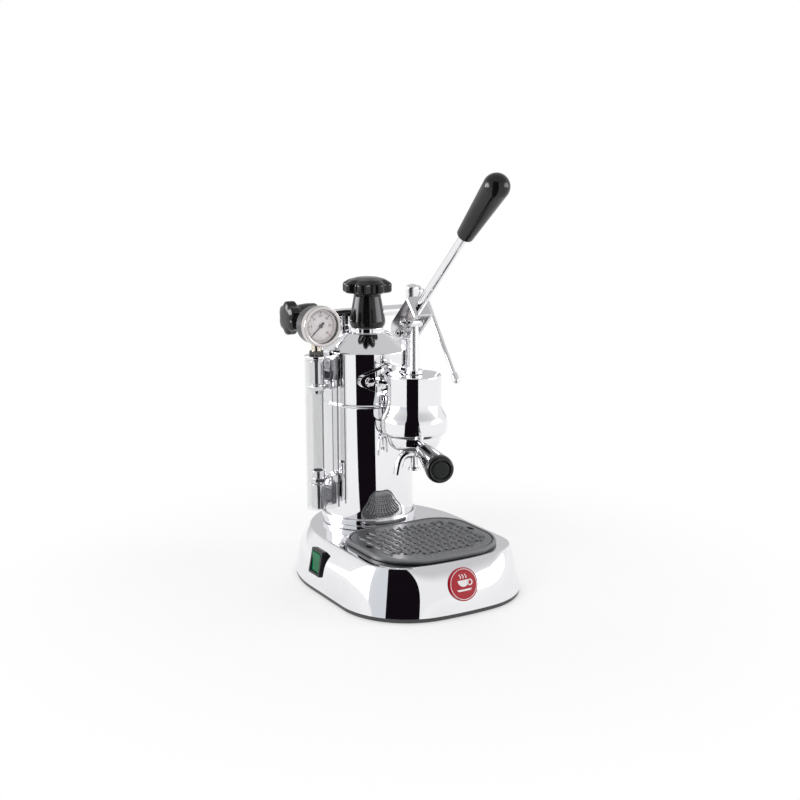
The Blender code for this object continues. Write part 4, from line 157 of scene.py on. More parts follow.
# Drip tray and grille
TRAY_SIDE_MARGIN = 0.0107
TRAY_FRONT_MARGIN = 0.0037
TRAY_RING_MARGIN = 0.0025
TRAY_CORNER = 0.050
TRAY_REAR_CORNER = 0.036
TRAY_EDGE = 0.0050
TRAY_CHAMFER = 0.0016
TRAY_LEDGE = 0.0030
TRAY_LEDGE_INSET = 0.0034
TRAY_LIP = 0.0050
TRAY_DEPTH = 0.0114
TRAY_WALL = 0.0020
WELL_PLAY = 0.0005
GRILLE_SHEET = 0.0020
GRILLE_PITCH = 0.0085
GRILLE_HOLE = 0.0046
GRILLE_BORDER = 0.0110
FINGER_WIDTH = 0.0056
FINGER_LENGTH = 0.0125
FINGER_MARGIN = 0.0042
FINGER_SHIFT = 0.006
TRAY_HALF = BASE_HALF - BASE_TOP_INSET - TRAY_SIDE_MARGIN
TRAY_FRONT = BASE_FRONT - BASE_TOP_INSET - TRAY_FRONT_MARGIN
TRAY_REAR = BOILER_Y - RING_RADIUS - TRAY_RING_MARGIN
TRAY_BOW_RADIUS = BASE_BOW_RADIUS - BASE_TOP_INSET - TRAY_FRONT_MARGIN
TRAY_BOTTOM = BASE_TOP + GAP
TRAY_FLOOR = BASE_TOP - TRAY_DEPTH
TRAY_TOP = TRAY_BOTTOM + TRAY_EDGE
GRILLE_BOTTOM = TRAY_TOP - TRAY_LEDGE + GAP

# Group bell with its flange and tower
GROUP_REACH = 0.0982
BELL_RADIUS = 0.0279
BELL_HEIGHT = 0.0631
BELL_SKIRT_RADIUS = 0.0344
BELL_LIP_RADIUS = 0.0300
BELL_ROOF = 0.0042
BELL_SHARES = (
    (0.0, 0.53), (0.09, 0.48), (0.34, 0.41), (0.74, 0.335), (0.94, 0.285), (1.0, 0.235), (1.0, 0.14),
    (0.94, 0.075), (0.80, 0.045),
)
FLANGE_DROP = 0.0279
BELL_RISE = 0.0137
FLANGE_HALF_WIDTH = 0.034
FLANGE_HALF_HEIGHT = 0.018
FLANGE_TIP_RADIUS = 0.0075
FLANGE_THICKNESS = 0.006
GROUP_GASKET_SHEET = 0.0012
NECK_HALF_WIDTH = 0.0175
NECK_HALF_HEIGHT = 0.0135
BOLT_SPACING = 0.0255
BOLT_RADIUS = 0.0027
BOLT_HEAD_RADIUS = 0.0046
BOLT_HEAD_HEIGHT = 0.004
BOLT_SEAT_DEPTH = 0.0012
SLEEVE_BORE = 0.0226
SLEEVE_WALL = 0.002
LIP_HEIGHT = 0.002
LIP_BORE = 0.0284
BAYONET_RADIUS = 0.0299
BAYONET_HEIGHT = 0.0074
GLAND_NUT_RADIUS = 0.009
GLAND_NUT_HEIGHT = 0.0042
GLAND_NUT_STEM = 0.0062
FLANGE_Z = BOILER_SHOULDER - FLANGE_DROP
BELL_TOP = FLANGE_Z + BELL_RISE
BELL_BOTTOM = BELL_TOP - BELL_HEIGHT
BAYONET_ROOF = BELL_BOTTOM + LIP_HEIGHT + BAYONET_HEIGHT
SLEEVE_RADIUS = SLEEVE_BORE + SLEEVE_WALL
BELL_BORE = SLEEVE_RADIUS + GAP
BELL_BORE_TOP = BELL_TOP - BELL_ROOF
BOILER_FRONT = GROUP_REACH - BOILER_RADIUS

# Lever and its linkage
FULCRUM_BACK = 0.0133
FULCRUM_RISE = 0.0413
LEVER_ANGLE = radians(42.5)
TOWER_SIDE = 0.009
TOWER_FOOT_WIDTH = 0.014
TOWER_FOOT_HEIGHT = 0.008
TOWER_SINK = 0.0015
TOWER_EYE_RADIUS = 0.007
EYE_WIDTH = 0.0154
PIN_RADIUS = 0.0022
PIN_PLAY = 0.0003
PIN_HEAD_RADIUS = 0.0042
PIN_HEAD_HEIGHT = 0.002
PIN_TAIL = 0.0045
CLIP_RADIUS = 0.0046
CLIP_SHEET = 0.001
FORK_PLATE = 0.003
FORK_REAR = 0.0125
FORK_FRONT = 0.040
FORK_LOW = 0.0065
FORK_HIGH = 0.016
FORK_BEND = 0.004
SLOT_NEAR = 0.0138
SLOT_FAR = 0.0204
SLOT_HALF_HEIGHT = 0.0037
SLOT_DROP = 0.00055
LEVER_ROD_RISE = 0.0055
LEVER_ROD_RADIUS = 0.0045
LEVER_ROD_NECK = 0.0034
LEVER_HANDLE_START = 0.149
LEVER_HANDLE_RADIUS = 0.0085
LEVER_HANDLE_LENGTH = 0.0686
LEVER_BALL_RADIUS = 0.0127
LEVER_BORE_LENGTH = 0.050
PISTON_ROD_RADIUS = 0.0046
PISTON_EYE_RADIUS = 0.006
FULCRUM_Z = BELL_TOP + FULCRUM_RISE
FORK_HALF = EYE_WIDTH / 2 + GAP + FORK_PLATE
PISTON_PIN_Z = FULCRUM_Z + FULCRUM_BACK * tan(LEVER_ANGLE)

# Piston
PISTON_HEIGHT = 0.011
PISTON_TOP_DROP = 0.007
PISTON_SKIN = 0.0015
PISTON_TOP = BELL_BORE_TOP - PISTON_TOP_DROP
PISTON_BOTTOM = PISTON_TOP - PISTON_HEIGHT

# Portafilter, basket, screen and seal
PORTAFILTER_TURN = radians(20)
SEAL_HEIGHT = 0.0037
BOWL_RADIUS = 0.0279
BOWL_HEIGHT = 0.0196
BOWL_WALL = 0.002
BOWL_EAR_HALF = 0.009
BOWL_EAR_HEIGHT = 0.0017
BOWL_SHARES = ((0.62, 0.0), (0.79, 0.08), (0.885, 0.18), (0.955, 0.36), (1.0, 0.62))
BOWL_FLOOR = 0.0026
DRAIN_RADIUS = 0.003
BASKET_SHEET = 0.0008
BASKET_DEPTH = 0.0125
BASKET_PLAY = 0.0006
BASKET_TAPER = 0.001
SHANK_RADIUS = 0.0053
SHANK_END_RADIUS = 0.0086
SHANK_END = 0.060
SHANK_DROP = 0.0101
STUD_RADIUS = 0.0045
STUD_LENGTH = 0.022
GRIP_LENGTH = 0.0697
GRIP_RADIUS = 0.0136
GRIP_SHARES = ((0.62, 0.0), (0.66, 0.03), (0.70, 0.16), (0.84, 0.5), (0.96, 0.82), (1.0, 0.92), (0.97, 0.97))
GRIP_FACE_SHARE = 0.88
END_CAP_RADIUS = 0.0085
END_CAP_SINK = 0.0015
SPOUT_PLATE_RADIUS = 0.0085
SPOUT_PLATE_HEIGHT = 0.0026
SPOUT_STEM_RADIUS = 0.0034
SPOUT_STEM_LENGTH = 0.0195
SPOUT_FLARE_RADIUS = 0.0068
SPOUT_REACH = 0.0176
SPOUT_DROP = 0.0264
SPOUT_RADIUS = 0.0046
SPOUT_BORE = 0.0034
SPOUT_PATH_SHARES = (
    (0.05, 0.19), (0.34, 0.195), (0.56, 0.23), (0.74, 0.34), (0.86, 0.52), (0.94, 0.75), (1.0, 1.0),
)
SEAL_TOP = BAYONET_ROOF - GAP
SEAL_BOTTOM = SEAL_TOP - SEAL_HEIGHT
BASKET_TOP = SEAL_BOTTOM - GAP
BOWL_TOP = BASKET_TOP - BASKET_SHEET - GAP
BOWL_BOTTOM = BOWL_TOP - BOWL_HEIGHT
SPOUT_TOP = BOWL_BOTTOM - GAP
SPOUT_TIP = SPOUT_TOP - SPOUT_DROP

# Sight glass at the boiler's left
SIGHT_REACH = 0.0725
SIGHT_TURN = radians(13.5)
SIGHT_BODY_RADIUS = 0.008
SIGHT_BODY_HEIGHT = 0.0245
SIGHT_LOWER_HEIGHT = 0.027
SIGHT_ARM_HALF = 0.007
SIGHT_ARM_REACH = 0.0195
SIGHT_ARM_RISE = 0.002
SIGHT_POST_START = 0.012
SIGHT_POST_DROP = 0.007
SIGHT_LINK_RADIUS = 0.0054
SIGHT_LINK_DROP = 0.002
SIGHT_TUBE_RADIUS = 0.0054
SIGHT_TUBE_WALL = 0.0012
SIGHT_NUT_RADIUS = 0.009
SIGHT_NUT_HEIGHT = 0.0043
SIGHT_NUT_LENGTH = 0.0100
SIGHT_LOWER_NUT_LENGTH = 0.0145
SIGHT_COLLAR_RADIUS = 0.0072
SIGHT_PLATE_DROP = 0.0001
SHIELD_RADIUS = 0.013
SHIELD_WALL = 0.0015
SHIELD_REACH = 0.0180
SHIELD_HANG = 0.0002
PLATE_SHEET = 0.003
PLATE_PLUG = 0.0025
PLATE_NUT_X = 0.0146
PLATE_NUT_Y = -0.0060
PLATE_NUT_RADIUS = 0.0031
PLATE_NUT_HEIGHT = 0.0045
PLATE_TOP = BOILER_SHOULDER - SIGHT_PLATE_DROP
PLATE_BOTTOM = PLATE_TOP - PLATE_SHEET
SIGHT_TOP = PLATE_BOTTOM - PLATE_PLUG - GAP
SIGHT_BODY_BOTTOM = SIGHT_TOP - SIGHT_BODY_HEIGHT
SIGHT_LOWER_BOTTOM = SIGHT_TOP - SIGHT_LENGTH
SIGHT_LOWER_TOP = SIGHT_LOWER_BOTTOM + SIGHT_LOWER_HEIGHT

# Pressure gauge
GAUGE_RADIUS = 0.0213
GAUGE_CASE_RADIUS = 0.020
GAUGE_DEPTH = 0.023
GAUGE_BEZEL_DEPTH = 0.008
GAUGE_BEZEL_LIP = 0.0012
GAUGE_BEZEL_BORE = 0.0178
GAUGE_WALL = 0.0012
GAUGE_GLASS = 0.0015
GAUGE_DIAL = 0.001
GAUGE_DIAL_RADIUS = 0.0185
GAUGE_DIAL_DEPTH = 0.006
GAUGE_LEDGE = 0.0015
GAUGE_BACK = 0.0015
GAUGE_RISE = 0.0317
GAUGE_STEM_RADIUS = 0.004
GAUGE_COLLAR_RADIUS = 0.0055
GAUGE_NUT_RADIUS = 0.0085
GAUGE_NUT_HEIGHT = 0.0045
GAUGE_STEM_BACK = 0.016
NEEDLE_LENGTH = 0.0130
NEEDLE_TAIL = 0.0050
NEEDLE_HALF_WIDTH = 0.0007
NEEDLE_SHEET = 0.0006
NEEDLE_HUB = 0.0020
NEEDLE_HUB_HEIGHT = 0.0016
NEEDLE_ZERO = radians(135)

# Steam valve
STEAM_BACK = 0.0281
STEAM_RISE = 0.0170
STEAM_RADIUS = 0.006
STEAM_LEFT = 0.038
STEAM_NECK_X = -0.014
STEAM_NECK_RADIUS = 0.008
STEAM_NECK_WAIST = 0.0062
STEAM_NUT_RADIUS = 0.0088
STEAM_NUT_LENGTH = 0.0075
STEAM_OUTLET_X = 0.0735
STEAM_OUTLET_RADIUS = 0.0074
STEAM_OUTLET_DROP = 0.0085
STEAM_OUTLET_RISE = 0.0282
STEAM_OUTLET_DOME = 0.0040
STEAM_BOSS_RADIUS = 0.0063
STEAM_BOSS_END = 0.0794
STEAM_SPINDLE_RADIUS = 0.003
STEAM_SPINDLE_SINK = 0.030
STEAM_KNOB_START = 0.048
STEAM_KNOB_LENGTH = 0.0385
STEAM_KNOB_RADIUS = 0.018
STEAM_KNOB_BORE = 0.020
STEAM_LOBES = 6
STEAM_LOBE_DEPTH = 0.0026
STEAM_KNOB_SHARES = (
    (0.70, 0.0, 0), (0.79, 0.04, 0), (0.80, 0.30, 0), (0.74, 0.56, 0), (0.78, 0.62, 0),
    (0.96, 0.665, 1), (1.0, 0.70, 1), (1.0, 0.90, 1), (0.95, 0.935, 0.9), (0.70, 0.975, 0.3),
    (0.25, 1.0, 0),
)
BALL_RADIUS = 0.0042
BALL_X = 0.0823
BALL_RISE = 0.0197
BALL_NUT_RADIUS = 0.0066
BALL_NUT_LENGTH = 0.0030
WAND_RADIUS = 0.0027
WAND_OUT = 0.0060
WAND_DROP = 0.0962
WAND_FORWARD = 0.063
WAND_SPREAD = 0.0052
WAND_BEND_SHARES = ((0.0, 0.0, 0.0), (0.60, 0.0, 0.0), (0.86, 0.010, 0.008), (1.0, 0.045, 0.042))
WAND_TIP_RADIUS = 0.0042
WAND_TIP_LENGTH = 0.011
STEAM_Y = BOILER_Y + STEAM_BACK
STEAM_Z = CONE_TOP + STEAM_RISE
BALL_Z = STEAM_Z + BALL_RISE

# Directions for pieces that are turned about another axis than Z
TO_X = Matrix.Rotation(pi / 2, 4, "Y")
TO_LEFT = Matrix.Rotation(-pi / 2, 4, "Y")
TO_FRONT = Matrix.Rotation(pi / 2, 4, "X")
TO_REAR = Matrix.Rotation(-pi / 2, 4, "X")

# Facets and edge radii of the dressed pieces
ROUND = 96
FINE = 48
SMOOTH = 72
BOILER_FACETS = 160
BELL_FACETS = 144
BOWL_FACETS = 120
TUBE_FACETS = 64
HEXAGON = 6
HAIR_EDGE = 0.0001
THIN_EDGE = 0.0002
SMALL_EDGE = 0.0003
LIGHT_EDGE = 0.0004
SLIGHT_EDGE = 0.0005
EDGE = 0.0006
FULL_EDGE = 0.0007
SOFT_EDGE = 0.0008
SOFTER_EDGE = 0.0009
BLUNT_EDGE = 0.0010
CAST_EDGE = 0.0011
MOULDED_EDGE = 0.0012
RING_EDGE = 0.0013
BROAD_EDGE = 0.0016
BELL_EDGE = 0.0020
CORNER_SHARE = 0.46
STRAIGHT_ANGLE = radians(170)
BEVEL_ANGLE = radians(30)
SHARP_ANGLE = radians(38)
PLAN_BOW = 20
PLAN_CORNER = 20
PLAN_REAR = 36


def at(x, y, z):
    return Matrix.Translation((x, y, z))


def spin_z(angle):
    return Matrix.Rotation(angle, 4, "Z")


# Frames of the sub-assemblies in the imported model's frame
ring_low, ring_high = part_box("boiler_ring")
BOILER_SPOT = (ring_low + ring_high) / 2
MACHINE = at(BOILER_SPOT.x, BOILER_SPOT.y - BOILER_Y, 0)
BOILER = MACHINE @ at(0, BOILER_Y, 0)
GROUP = BOILER @ at(0, -GROUP_REACH, 0)
HOLDER = GROUP @ spin_z(-PORTAFILTER_TURN)
GRIP_PLACE = HOLDER @ at(0, 0, BOWL_TOP - SHANK_DROP) @ TO_FRONT
LEVER = GROUP @ at(0, FULCRUM_BACK, FULCRUM_Z) @ Matrix.Rotation(-LEVER_ANGLE, 4, "X")
ROD_PLACE = LEVER @ at(0, 0, LEVER_ROD_RISE) @ TO_FRONT
SIGHT_SPOT = at(-SIGHT_REACH * cos(SIGHT_TURN), BOILER_Y - SIGHT_REACH * sin(SIGHT_TURN), 0)
SIGHT = MACHINE @ SIGHT_SPOT @ spin_z(SIGHT_TURN)
GAUGE = MACHINE @ SIGHT_SPOT @ at(0, -GAUGE_STEM_BACK, PLATE_TOP + GAUGE_RISE) @ TO_FRONT


# Meshes
def placed(name, data):
    made = bpy.data.objects.new(name, data)
    bpy.context.scene.collection.objects.link(made)
    return made


def built(builder, name="piece"):
    mesh = bpy.data.meshes.new(name)
    builder.to_mesh(mesh)
    builder.free()
    return placed(name, mesh)


def solid(builder):
    bmesh.ops.recalc_face_normals(builder, faces=builder.faces[:])
    return built(builder)


def welded(builder):
    bmesh.ops.remove_doubles(builder, verts=builder.verts[:], dist=WELD_DISTANCE)


def final_mesh(made):
    """The object's mesh with its modifiers or its curve worked out."""
    graph = bpy.context.evaluated_depsgraph_get()
    return bpy.data.meshes.new_from_object(made.evaluated_get(graph))


def softened(points, radius, closed=False, steps=4):
    """An outline with its corners rounded, each as far as its neighbours leave room."""
    spots = [Vector(point) for point in points]
    count = len(spots)
    made = []
    for index, spot in enumerate(spots):
        if not closed and index in (0, count - 1):
            made.append(spot)
            continue
        before = spots[index - 1] - spot
        after = spots[(index + 1) % count] - spot
        if before.length < WELD_DISTANCE or after.length < WELD_DISTANCE:
            continue
        if before.angle(after) > STRAIGHT_ANGLE:
            made.append(spot)
            continue
        near = before.normalized() * min(radius, before.length * CORNER_SHARE)
        far = after.normalized() * min(radius, after.length * CORNER_SHARE)
        for step in range(steps + 1):
            share = step / steps
            made.append(spot + near * (1 - share) ** 2 + far * share ** 2)
    return [tuple(spot) for spot in made]


def turned(outline, facets=ROUND, closed=False, edge=EDGE):
    """A solid of revolution about Z with softened edges."""
    outline = softened(outline, edge, closed)
    builder = bmesh.new()
    verts = [builder.verts.new((radius, 0, height)) for radius, height in outline]
    ends = zip(verts, verts[1:] + verts[:1]) if closed else zip(verts, verts[1:])
    edges = [builder.edges.new(pair) for pair in ends]
    bmesh.ops.spin(
        builder, geom=verts + edges, axis=(0, 0, 1), cent=(0, 0, 0), angle=2 * pi, steps=facets,
    )
    welded(builder)
    return solid(builder)


def lofted(rings):
    builder = bmesh.new()
    loops = [[builder.verts.new(point) for point in row] for row in rings]
    builder.faces.new(loops[0])
    builder.faces.new(loops[-1])
    for low, high in zip(loops, loops[1:]):
        for here in range(len(low)):
            after = (here + 1) % len(low)
            builder.faces.new((low[here], low[after], high[after], high[here]))
    return solid(builder)


def extruded(outline, low, high):
    return lofted([[(x, y, height) for x, y in outline] for height in (low, high)])


def cylinder(radius, low, high, facets=ROUND, edge=EDGE):
    return turned([(0, low), (radius, low), (radius, high), (0, high)], facets, edge=edge)


def ring(inner, outer, low, high, facets=ROUND, edge=EDGE):
    return turned([(inner, low), (outer, low), (outer, high), (inner, high)], facets, True, edge)


def box(low, high):
    corners = [(low[0], low[1]), (high[0], low[1]), (high[0], high[1]), (low[0], high[1])]
    return extruded(corners, low[2], high[2])


def moved(shape, matrix):
    shape.data.transform(matrix)
    return shape


def baked(shape):
    """The same object with its modifiers turned into its mesh."""
    mesh = final_mesh(shape)
    shape.modifiers.clear()
    shape.data = mesh
    return shape


def combined(body, operation, *tools):
    for tool in tools:
        step = body.modifiers.new("cut", "BOOLEAN")
        step.operation = operation
        step.solver = "EXACT"
        step.object = tool
        baked(body)
        builder = bmesh.new()
        builder.from_mesh(body.data)
        welded(builder)
        bmesh.ops.dissolve_degenerate(builder, edges=builder.edges[:], dist=WELD_DISTANCE)
        builder.to_mesh(body.data)
        builder.free()
        bpy.data.objects.remove(tool)
    return body


def bevelled(shape, width=EDGE, segments=3):
    step = shape.modifiers.new("edge", "BEVEL")
    step.width = width
    step.segments = segments
    step.limit_method = "ANGLE"
    step.angle_limit = BEVEL_ANGLE
    step.use_clamp_overlap = True
    return baked(shape)


def joined(*shapes):
    """Several closed shapes as one mesh."""
    builder = bmesh.new()
    for shape in shapes:
        builder.from_mesh(shape.data)
        bpy.data.objects.remove(shape)
    return built(builder)


def smooth_path(points, steps=8):
    """Points on a smooth line through the given points."""
    spots = [Vector(point) for point in points]
    made = []
    for index in range(len(spots) - 1):
        here, there = spots[index], spots[index + 1]
        before = spots[index - 1] if index else here
        after = spots[index + 2] if index + 2 < len(spots) else there
        for step in range(steps):
            t = step / steps
            made.append(0.5 * (
                2 * here + (there - before) * t + (2 * before - 5 * here + 4 * there - after) * t ** 2
                + (3 * here - before - 3 * there + after) * t ** 3
            ))
    return made + [spots[-1]]


def tube(points, radius, resolution=8):
    curve = bpy.data.curves.new("path", "CURVE")
    curve.dimensions = "3D"
    curve.bevel_depth = radius
    curve.bevel_resolution = resolution
    curve.use_fill_caps = True
    spline = curve.splines.new("POLY")
    spline.points.add(len(points) - 1)
    for spot, point in zip(spline.points, points):
        spot.co = (*point, 1)
    path = placed("path", curve)
    mesh = final_mesh(path)
    bpy.data.objects.remove(path)
    builder = bmesh.new()
    builder.from_mesh(mesh)
    welded(builder)
    return solid(builder)


def piece(shape, name, place, body, look, *nodes, slot=None):
    """A dressed piece: in its place, on its body, and standing for CAD nodes."""
    moved(shape, place)
    shape.name = name
    shape.data.name = name
    shape.data.materials.clear()
    shape.data.materials.append(look)
    shape.data.shade_smooth()
    shape.data.set_sharp_from_angle(angle=SHARP_ANGLE)
    shade = shape.modifiers.new("shading", "WEIGHTED_NORMAL")
    shade.keep_sharp = True
    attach(shape, body)
    if nodes:
        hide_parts(*nodes)
    slot or SLOT_OF[nodes[0]]


# Outlines
def arc(centre_x, centre_y, radius, start, end, steps):
    angles = [start + (end - start) * step / steps for step in range(steps + 1)]
    return [(centre_x + radius * cos(angle), centre_y + radius * sin(angle)) for angle in angles]


def circle(radius, steps):
    return arc(0, 0, radius, 0, 2 * pi, steps)[:-1]


def plan_outline(half_width, front, bow_radius, corner, rear_half):
    bow_y = bow_radius - front
    corner_x = half_width - corner
    corner_y = bow_y - sqrt((bow_radius - corner) ** 2 - corner_x ** 2)
    join = atan2(corner_x, bow_y - corner_y) - pi / 2
    bow = arc(0, bow_y, bow_radius, -pi / 2, join, PLAN_BOW)[:-1]
    right = bow + arc(corner_x, corner_y, corner, join, 0, PLAN_CORNER) + rear_half
    left = [(-x, y) for x, y in reversed(right) if x > WELD_DISTANCE]
    return right + left


def base_inset(share):
    return BASE_TOP_INSET * (BASE_LEAN_SHARE * share + (1 - BASE_LEAN_SHARE) * share ** BASE_CURVE_POWER)


def base_lean(share):
    steepening = BASE_CURVE_POWER * share ** (BASE_CURVE_POWER - 1)
    slope = BASE_LEAN_SHARE + (1 - BASE_LEAN_SHARE) * steepening
    return atan(slope * BASE_TOP_INSET / BASE_HEIGHT)


def base_plan(share, inset):
    """The base's outline at a share of its height, drawn in by an inset."""
    half_width = BASE_HALF - inset
    corner = BASE_CORNER - (BASE_CORNER - BASE_TOP_CORNER) * share ** BASE_CORNER_POWER
    corner += base_inset(share) - inset
    rear_depth = BASE_REAR_DEPTH - inset
    turns = [pi / 2 * step / PLAN_REAR for step in range(PLAN_REAR + 1)]
    rear = [(half_width * cos(turn), BASE_SIDE_END + rear_depth * sin(turn)) for turn in turns]
    rear[-1] = (0, rear[-1][1])
    return plan_outline(half_width, BASE_FRONT - inset, BASE_BOW_RADIUS - inset, corner, rear)


def tray_plan(inset):
    corner_x = TRAY_HALF - TRAY_REAR_CORNER
    corner_y = TRAY_REAR - TRAY_REAR_CORNER
    rear = arc(corner_x, corner_y, TRAY_REAR_CORNER - inset, 0, pi / 2, PLAN_REAR - 1)
    rear.append((0, TRAY_REAR - inset))
    return plan_outline(
        TRAY_HALF - inset, TRAY_FRONT - inset, TRAY_BOW_RADIUS - inset, TRAY_CORNER - inset, rear,
    )


def at_height(outline, height):
    return [(x, y, height) for x, y in outline]


def convex_holds(outline, x, y):
    ends = zip(outline, outline[1:] + outline[:1])
    return all((bx - ax) * (y - ay) > (by - ay) * (x - ax) for (ax, ay), (bx, by) in ends)


# Node trees
def set_inputs(tree, node, inputs):
    """Each input is linked from a node's output or set to a value."""
    for name, value in inputs.items():
        if isinstance(value, bpy.types.NodeSocket):
            tree.links.new(value, node.inputs[name])
        else:
            node.inputs[name].default_value = value


def add_node(tree, kind, inputs):
    node = tree.nodes.new("ShaderNode" + kind)
    set_inputs(tree, node, inputs)
    return node


def mixed(tree, share, low, high):
    """A colour between two, each a value or a node's output."""
    mix = tree.nodes.new("ShaderNodeMix")
    mix.data_type = "RGBA"
    set_inputs(tree, mix, {0: share, 6: low, 7: high})
    return mix.outputs[2]


def ramped(tree, value, low, high, start=0):
    """A smooth rise from start to 1 as a value goes from low to high."""
    ramp = add_node(tree, "MapRange", {"Value": value, "From Min": low, "From Max": high, "To Min": start})
    ramp.interpolation_type = "SMOOTHSTEP"
    return ramp.outputs["Result"]


# Finishes
BLACK = (0, 0, 0, 1)
WHITE = (1, 1, 1, 1)
REFRACTION = 1.46
NOISE_DETAIL = 5
TONE_SPAN = (0.3, 0.7)
GLOSS_SPREAD = 0.3
# How much of the colour the painted shade keeps at its darkest
PAINTED_SHADE_SHARE = 0.08
RELIEF_DEPTH = 0.0003
# Heights over which painted shade darkens the tray's well and the grille's hole walls towards the bottom
TRAY_SHADE = (TRAY_TOP - 0.0042, TRAY_TOP - 0.0012)
GRILLE_SHADE = (GRILLE_BOTTOM + 0.35 * GRILLE_SHEET, GRILLE_BOTTOM + 0.85 * GRILLE_SHEET)


def finish(name, colour, metallic, rough, grain, spread=0.05, bump=0, stretch=(1, 1, 1), alpha=1,
           shine=0.5, shade_heights=None):
    """A node material whose tone, gloss and relief vary over the surface, with painted shade darkening it
    below the shade heights.
    """
    made = bpy.data.materials.new(name)
    made.use_nodes = True
    tree = made.node_tree
    spots = add_node(tree, "TexCoord", {}).outputs["Object"]
    mapping = add_node(tree, "Mapping", {"Vector": spots, "Scale": stretch})
    noise = add_node(tree, "TexNoise", {
        "Vector": mapping.outputs["Vector"], "Scale": grain, "Detail": NOISE_DETAIL,
    }).outputs["Fac"]
    tone = add_node(tree, "ValToRGB", {"Fac": noise})
    for element, position, change in zip(tone.color_ramp.elements, TONE_SPAN, (-spread, spread)):
        element.position = position
        element.color = (*[min(1, max(0, channel * (1 + change))) for channel in colour], 1)
    tint = tone.outputs["Color"]
    # Painted shade: below the given heights the colour fades towards black
    if shade_heights:
        split = add_node(tree, "SeparateXYZ", {"Vector": spots})
        height = add_node(tree, "MapRange", {
            "Value": split.outputs["Z"], "From Min": shade_heights[0], "From Max": shade_heights[1], "To Min": PAINTED_SHADE_SHARE,
        })
        tint = mixed(tree, height.outputs["Result"], BLACK, tint)
    gloss = add_node(tree, "MapRange", {
        "Value": noise, "To Min": rough * (1 - GLOSS_SPREAD), "To Max": rough * (1 + GLOSS_SPREAD),
    })
    shader = tree.nodes["Principled BSDF"]
    set_inputs(tree, shader, {
        "Base Color": tint, "Metallic": metallic, "Roughness": gloss.outputs["Result"],
        "IOR": REFRACTION, "Alpha": alpha, "Specular IOR Level": shine,
    })
    if bump:
        relief = add_node(tree, "Bump", {"Height": noise, "Strength": bump, "Distance": RELIEF_DEPTH})
        tree.links.new(relief.outputs["Normal"], shader.inputs["Normal"])
    return made


CHROME = finish("mirror_chrome", (0.86, 0.86, 0.875), 1, 0.03, 18, spread=0.02)
STEEL = finish("satin_steel", (0.62, 0.62, 0.64), 1, 0.28, 900, bump=0.1, stretch=(1, 0.05, 1))
WARM_STEEL = finish("nickelled_brass", (0.74, 0.68, 0.58), 1, 0.16, 60)
CASE_STEEL = finish("gauge_case_steel", (0.11, 0.11, 0.115), 1, 0.28, 700, stretch=(1, 0.1, 1))
BEZEL_STEEL = finish("gauge_bezel_nickel", (0.64, 0.61, 0.60), 1, 0.12, 200)
FORK_STEEL = finish("fork_chrome", (0.70, 0.70, 0.715), 1, 0.09, 40, spread=0.03)
ROD_STEEL = finish("piston_rod_steel", (0.86, 0.86, 0.87), 1, 0.34, 300, spread=0.03, stretch=(1, 1, 0.1))
DARK_NUT = finish("dark_gauge_nut", (0.09, 0.088, 0.085), 1, 0.22, 300)
BRASS = finish("dull_brass", (0.72, 0.57, 0.33), 1, 0.22, 90)
BAKELITE = finish("polished_bakelite", (0.006, 0.0055, 0.006), 0, 0.11, 70, spread=0.3)
DARK = finish("dark_plastic_pan", (0.055, 0.055, 0.058), 0, 0.42, 500, spread=0.15, bump=0.15)
RUBBER = finish("matt_rubber", (0.022, 0.022, 0.023), 0, 0.75, 800, spread=0.2, bump=0.3)
# The tray and grille carry painted shade towards their lower parts
TRAY_GREY = finish("tray_grey", (0.185, 0.19, 0.197), 0, 0.24, 900, spread=0.08, bump=0.06, shade_heights=TRAY_SHADE)
GRILLE_GREY = finish(
    "grille_grey", (0.115, 0.117, 0.123), 0, 0.26, 900, spread=0.1, bump=0.06, shade_heights=GRILLE_SHADE,
)
RED = finish("badge_red", (0.39, 0.010, 0.020), 0, 0.16, 240, spread=0.08, shine=0.3)
PALE = finish("badge_pale", (0.84, 0.80, 0.80), 0, 0.25, 240, spread=0.03)
GREEN = finish("rocker_green", (0.0, 0.175, 0.066), 0, 0.10, 160, spread=0.25, shine=0.22)
SWITCH_BLACK = finish("switch_black", (0.014, 0.015, 0.016), 0, 0.30, 600, spread=0.2, bump=0.1, shine=0.3)
DIAL = finish("dial_paint", (0.96, 0.90, 0.905), 0, 0.45, 260, spread=0.03)
INK = finish("dial_ink", (0.09, 0.085, 0.09), 0, 0.5, 300, spread=0.2)
RED_INK = finish("dial_red_ink", (0.55, 0.10, 0.09), 0, 0.5, 300, spread=0.1)
CLEAR = finish("clear_acrylic", (0.25, 0.26, 0.28), 0, 0.04, 40, spread=0.02, alpha=0.09)
# Darker, less see-through grey for strips along the shield's cut edges: painted shade where clear plastic
# looks dark edge-on
CLEAR_EDGE_PAINTED_SHADE = finish("clear_acrylic_edge_painted_shade", (0.16, 0.165, 0.175), 0, 0.08, 40, spread=0.05, alpha=0.55)
TUBE_CLEAR = finish("sight_tube_glass", (0.30, 0.31, 0.325), 0, 0.03, 40, spread=0.02, alpha=0.08)
GAUGE_CLEAR = finish("gauge_glass", (0.95, 0.95, 0.95), 0, 0.02, 40, spread=0.02, alpha=0.05)

FINISH_OF_SLOT = {
    "chrome": CHROME, "steel": STEEL, "brass": BRASS, "black_bakelite": BAKELITE, "dark_plastic": DARK,
    "rubber": RUBBER, "grey_plastic": TRAY_GREY, "red_enamel": RED, "green_plastic": GREEN,
    "white_paint": DIAL, "needle_paint": INK, "glass": TUBE_CLEAR, "clear_plastic": CLEAR,
}
for node_name, node in frame["nodes"].items():
    node.data.materials.clear()
    node.data.materials.append(FINISH_OF_SLOT[SLOT_OF[node_name]])


# Base
SHELL_STEPS = 24
ROOF_MARGIN = 0.004
WELL_EDGE = 0.0004
COLLAR_SINK = 0.001
PAN_EDGE_SHARES = ((0.9, 0.0), (0.25, 0.3), (0.0, 1.0))


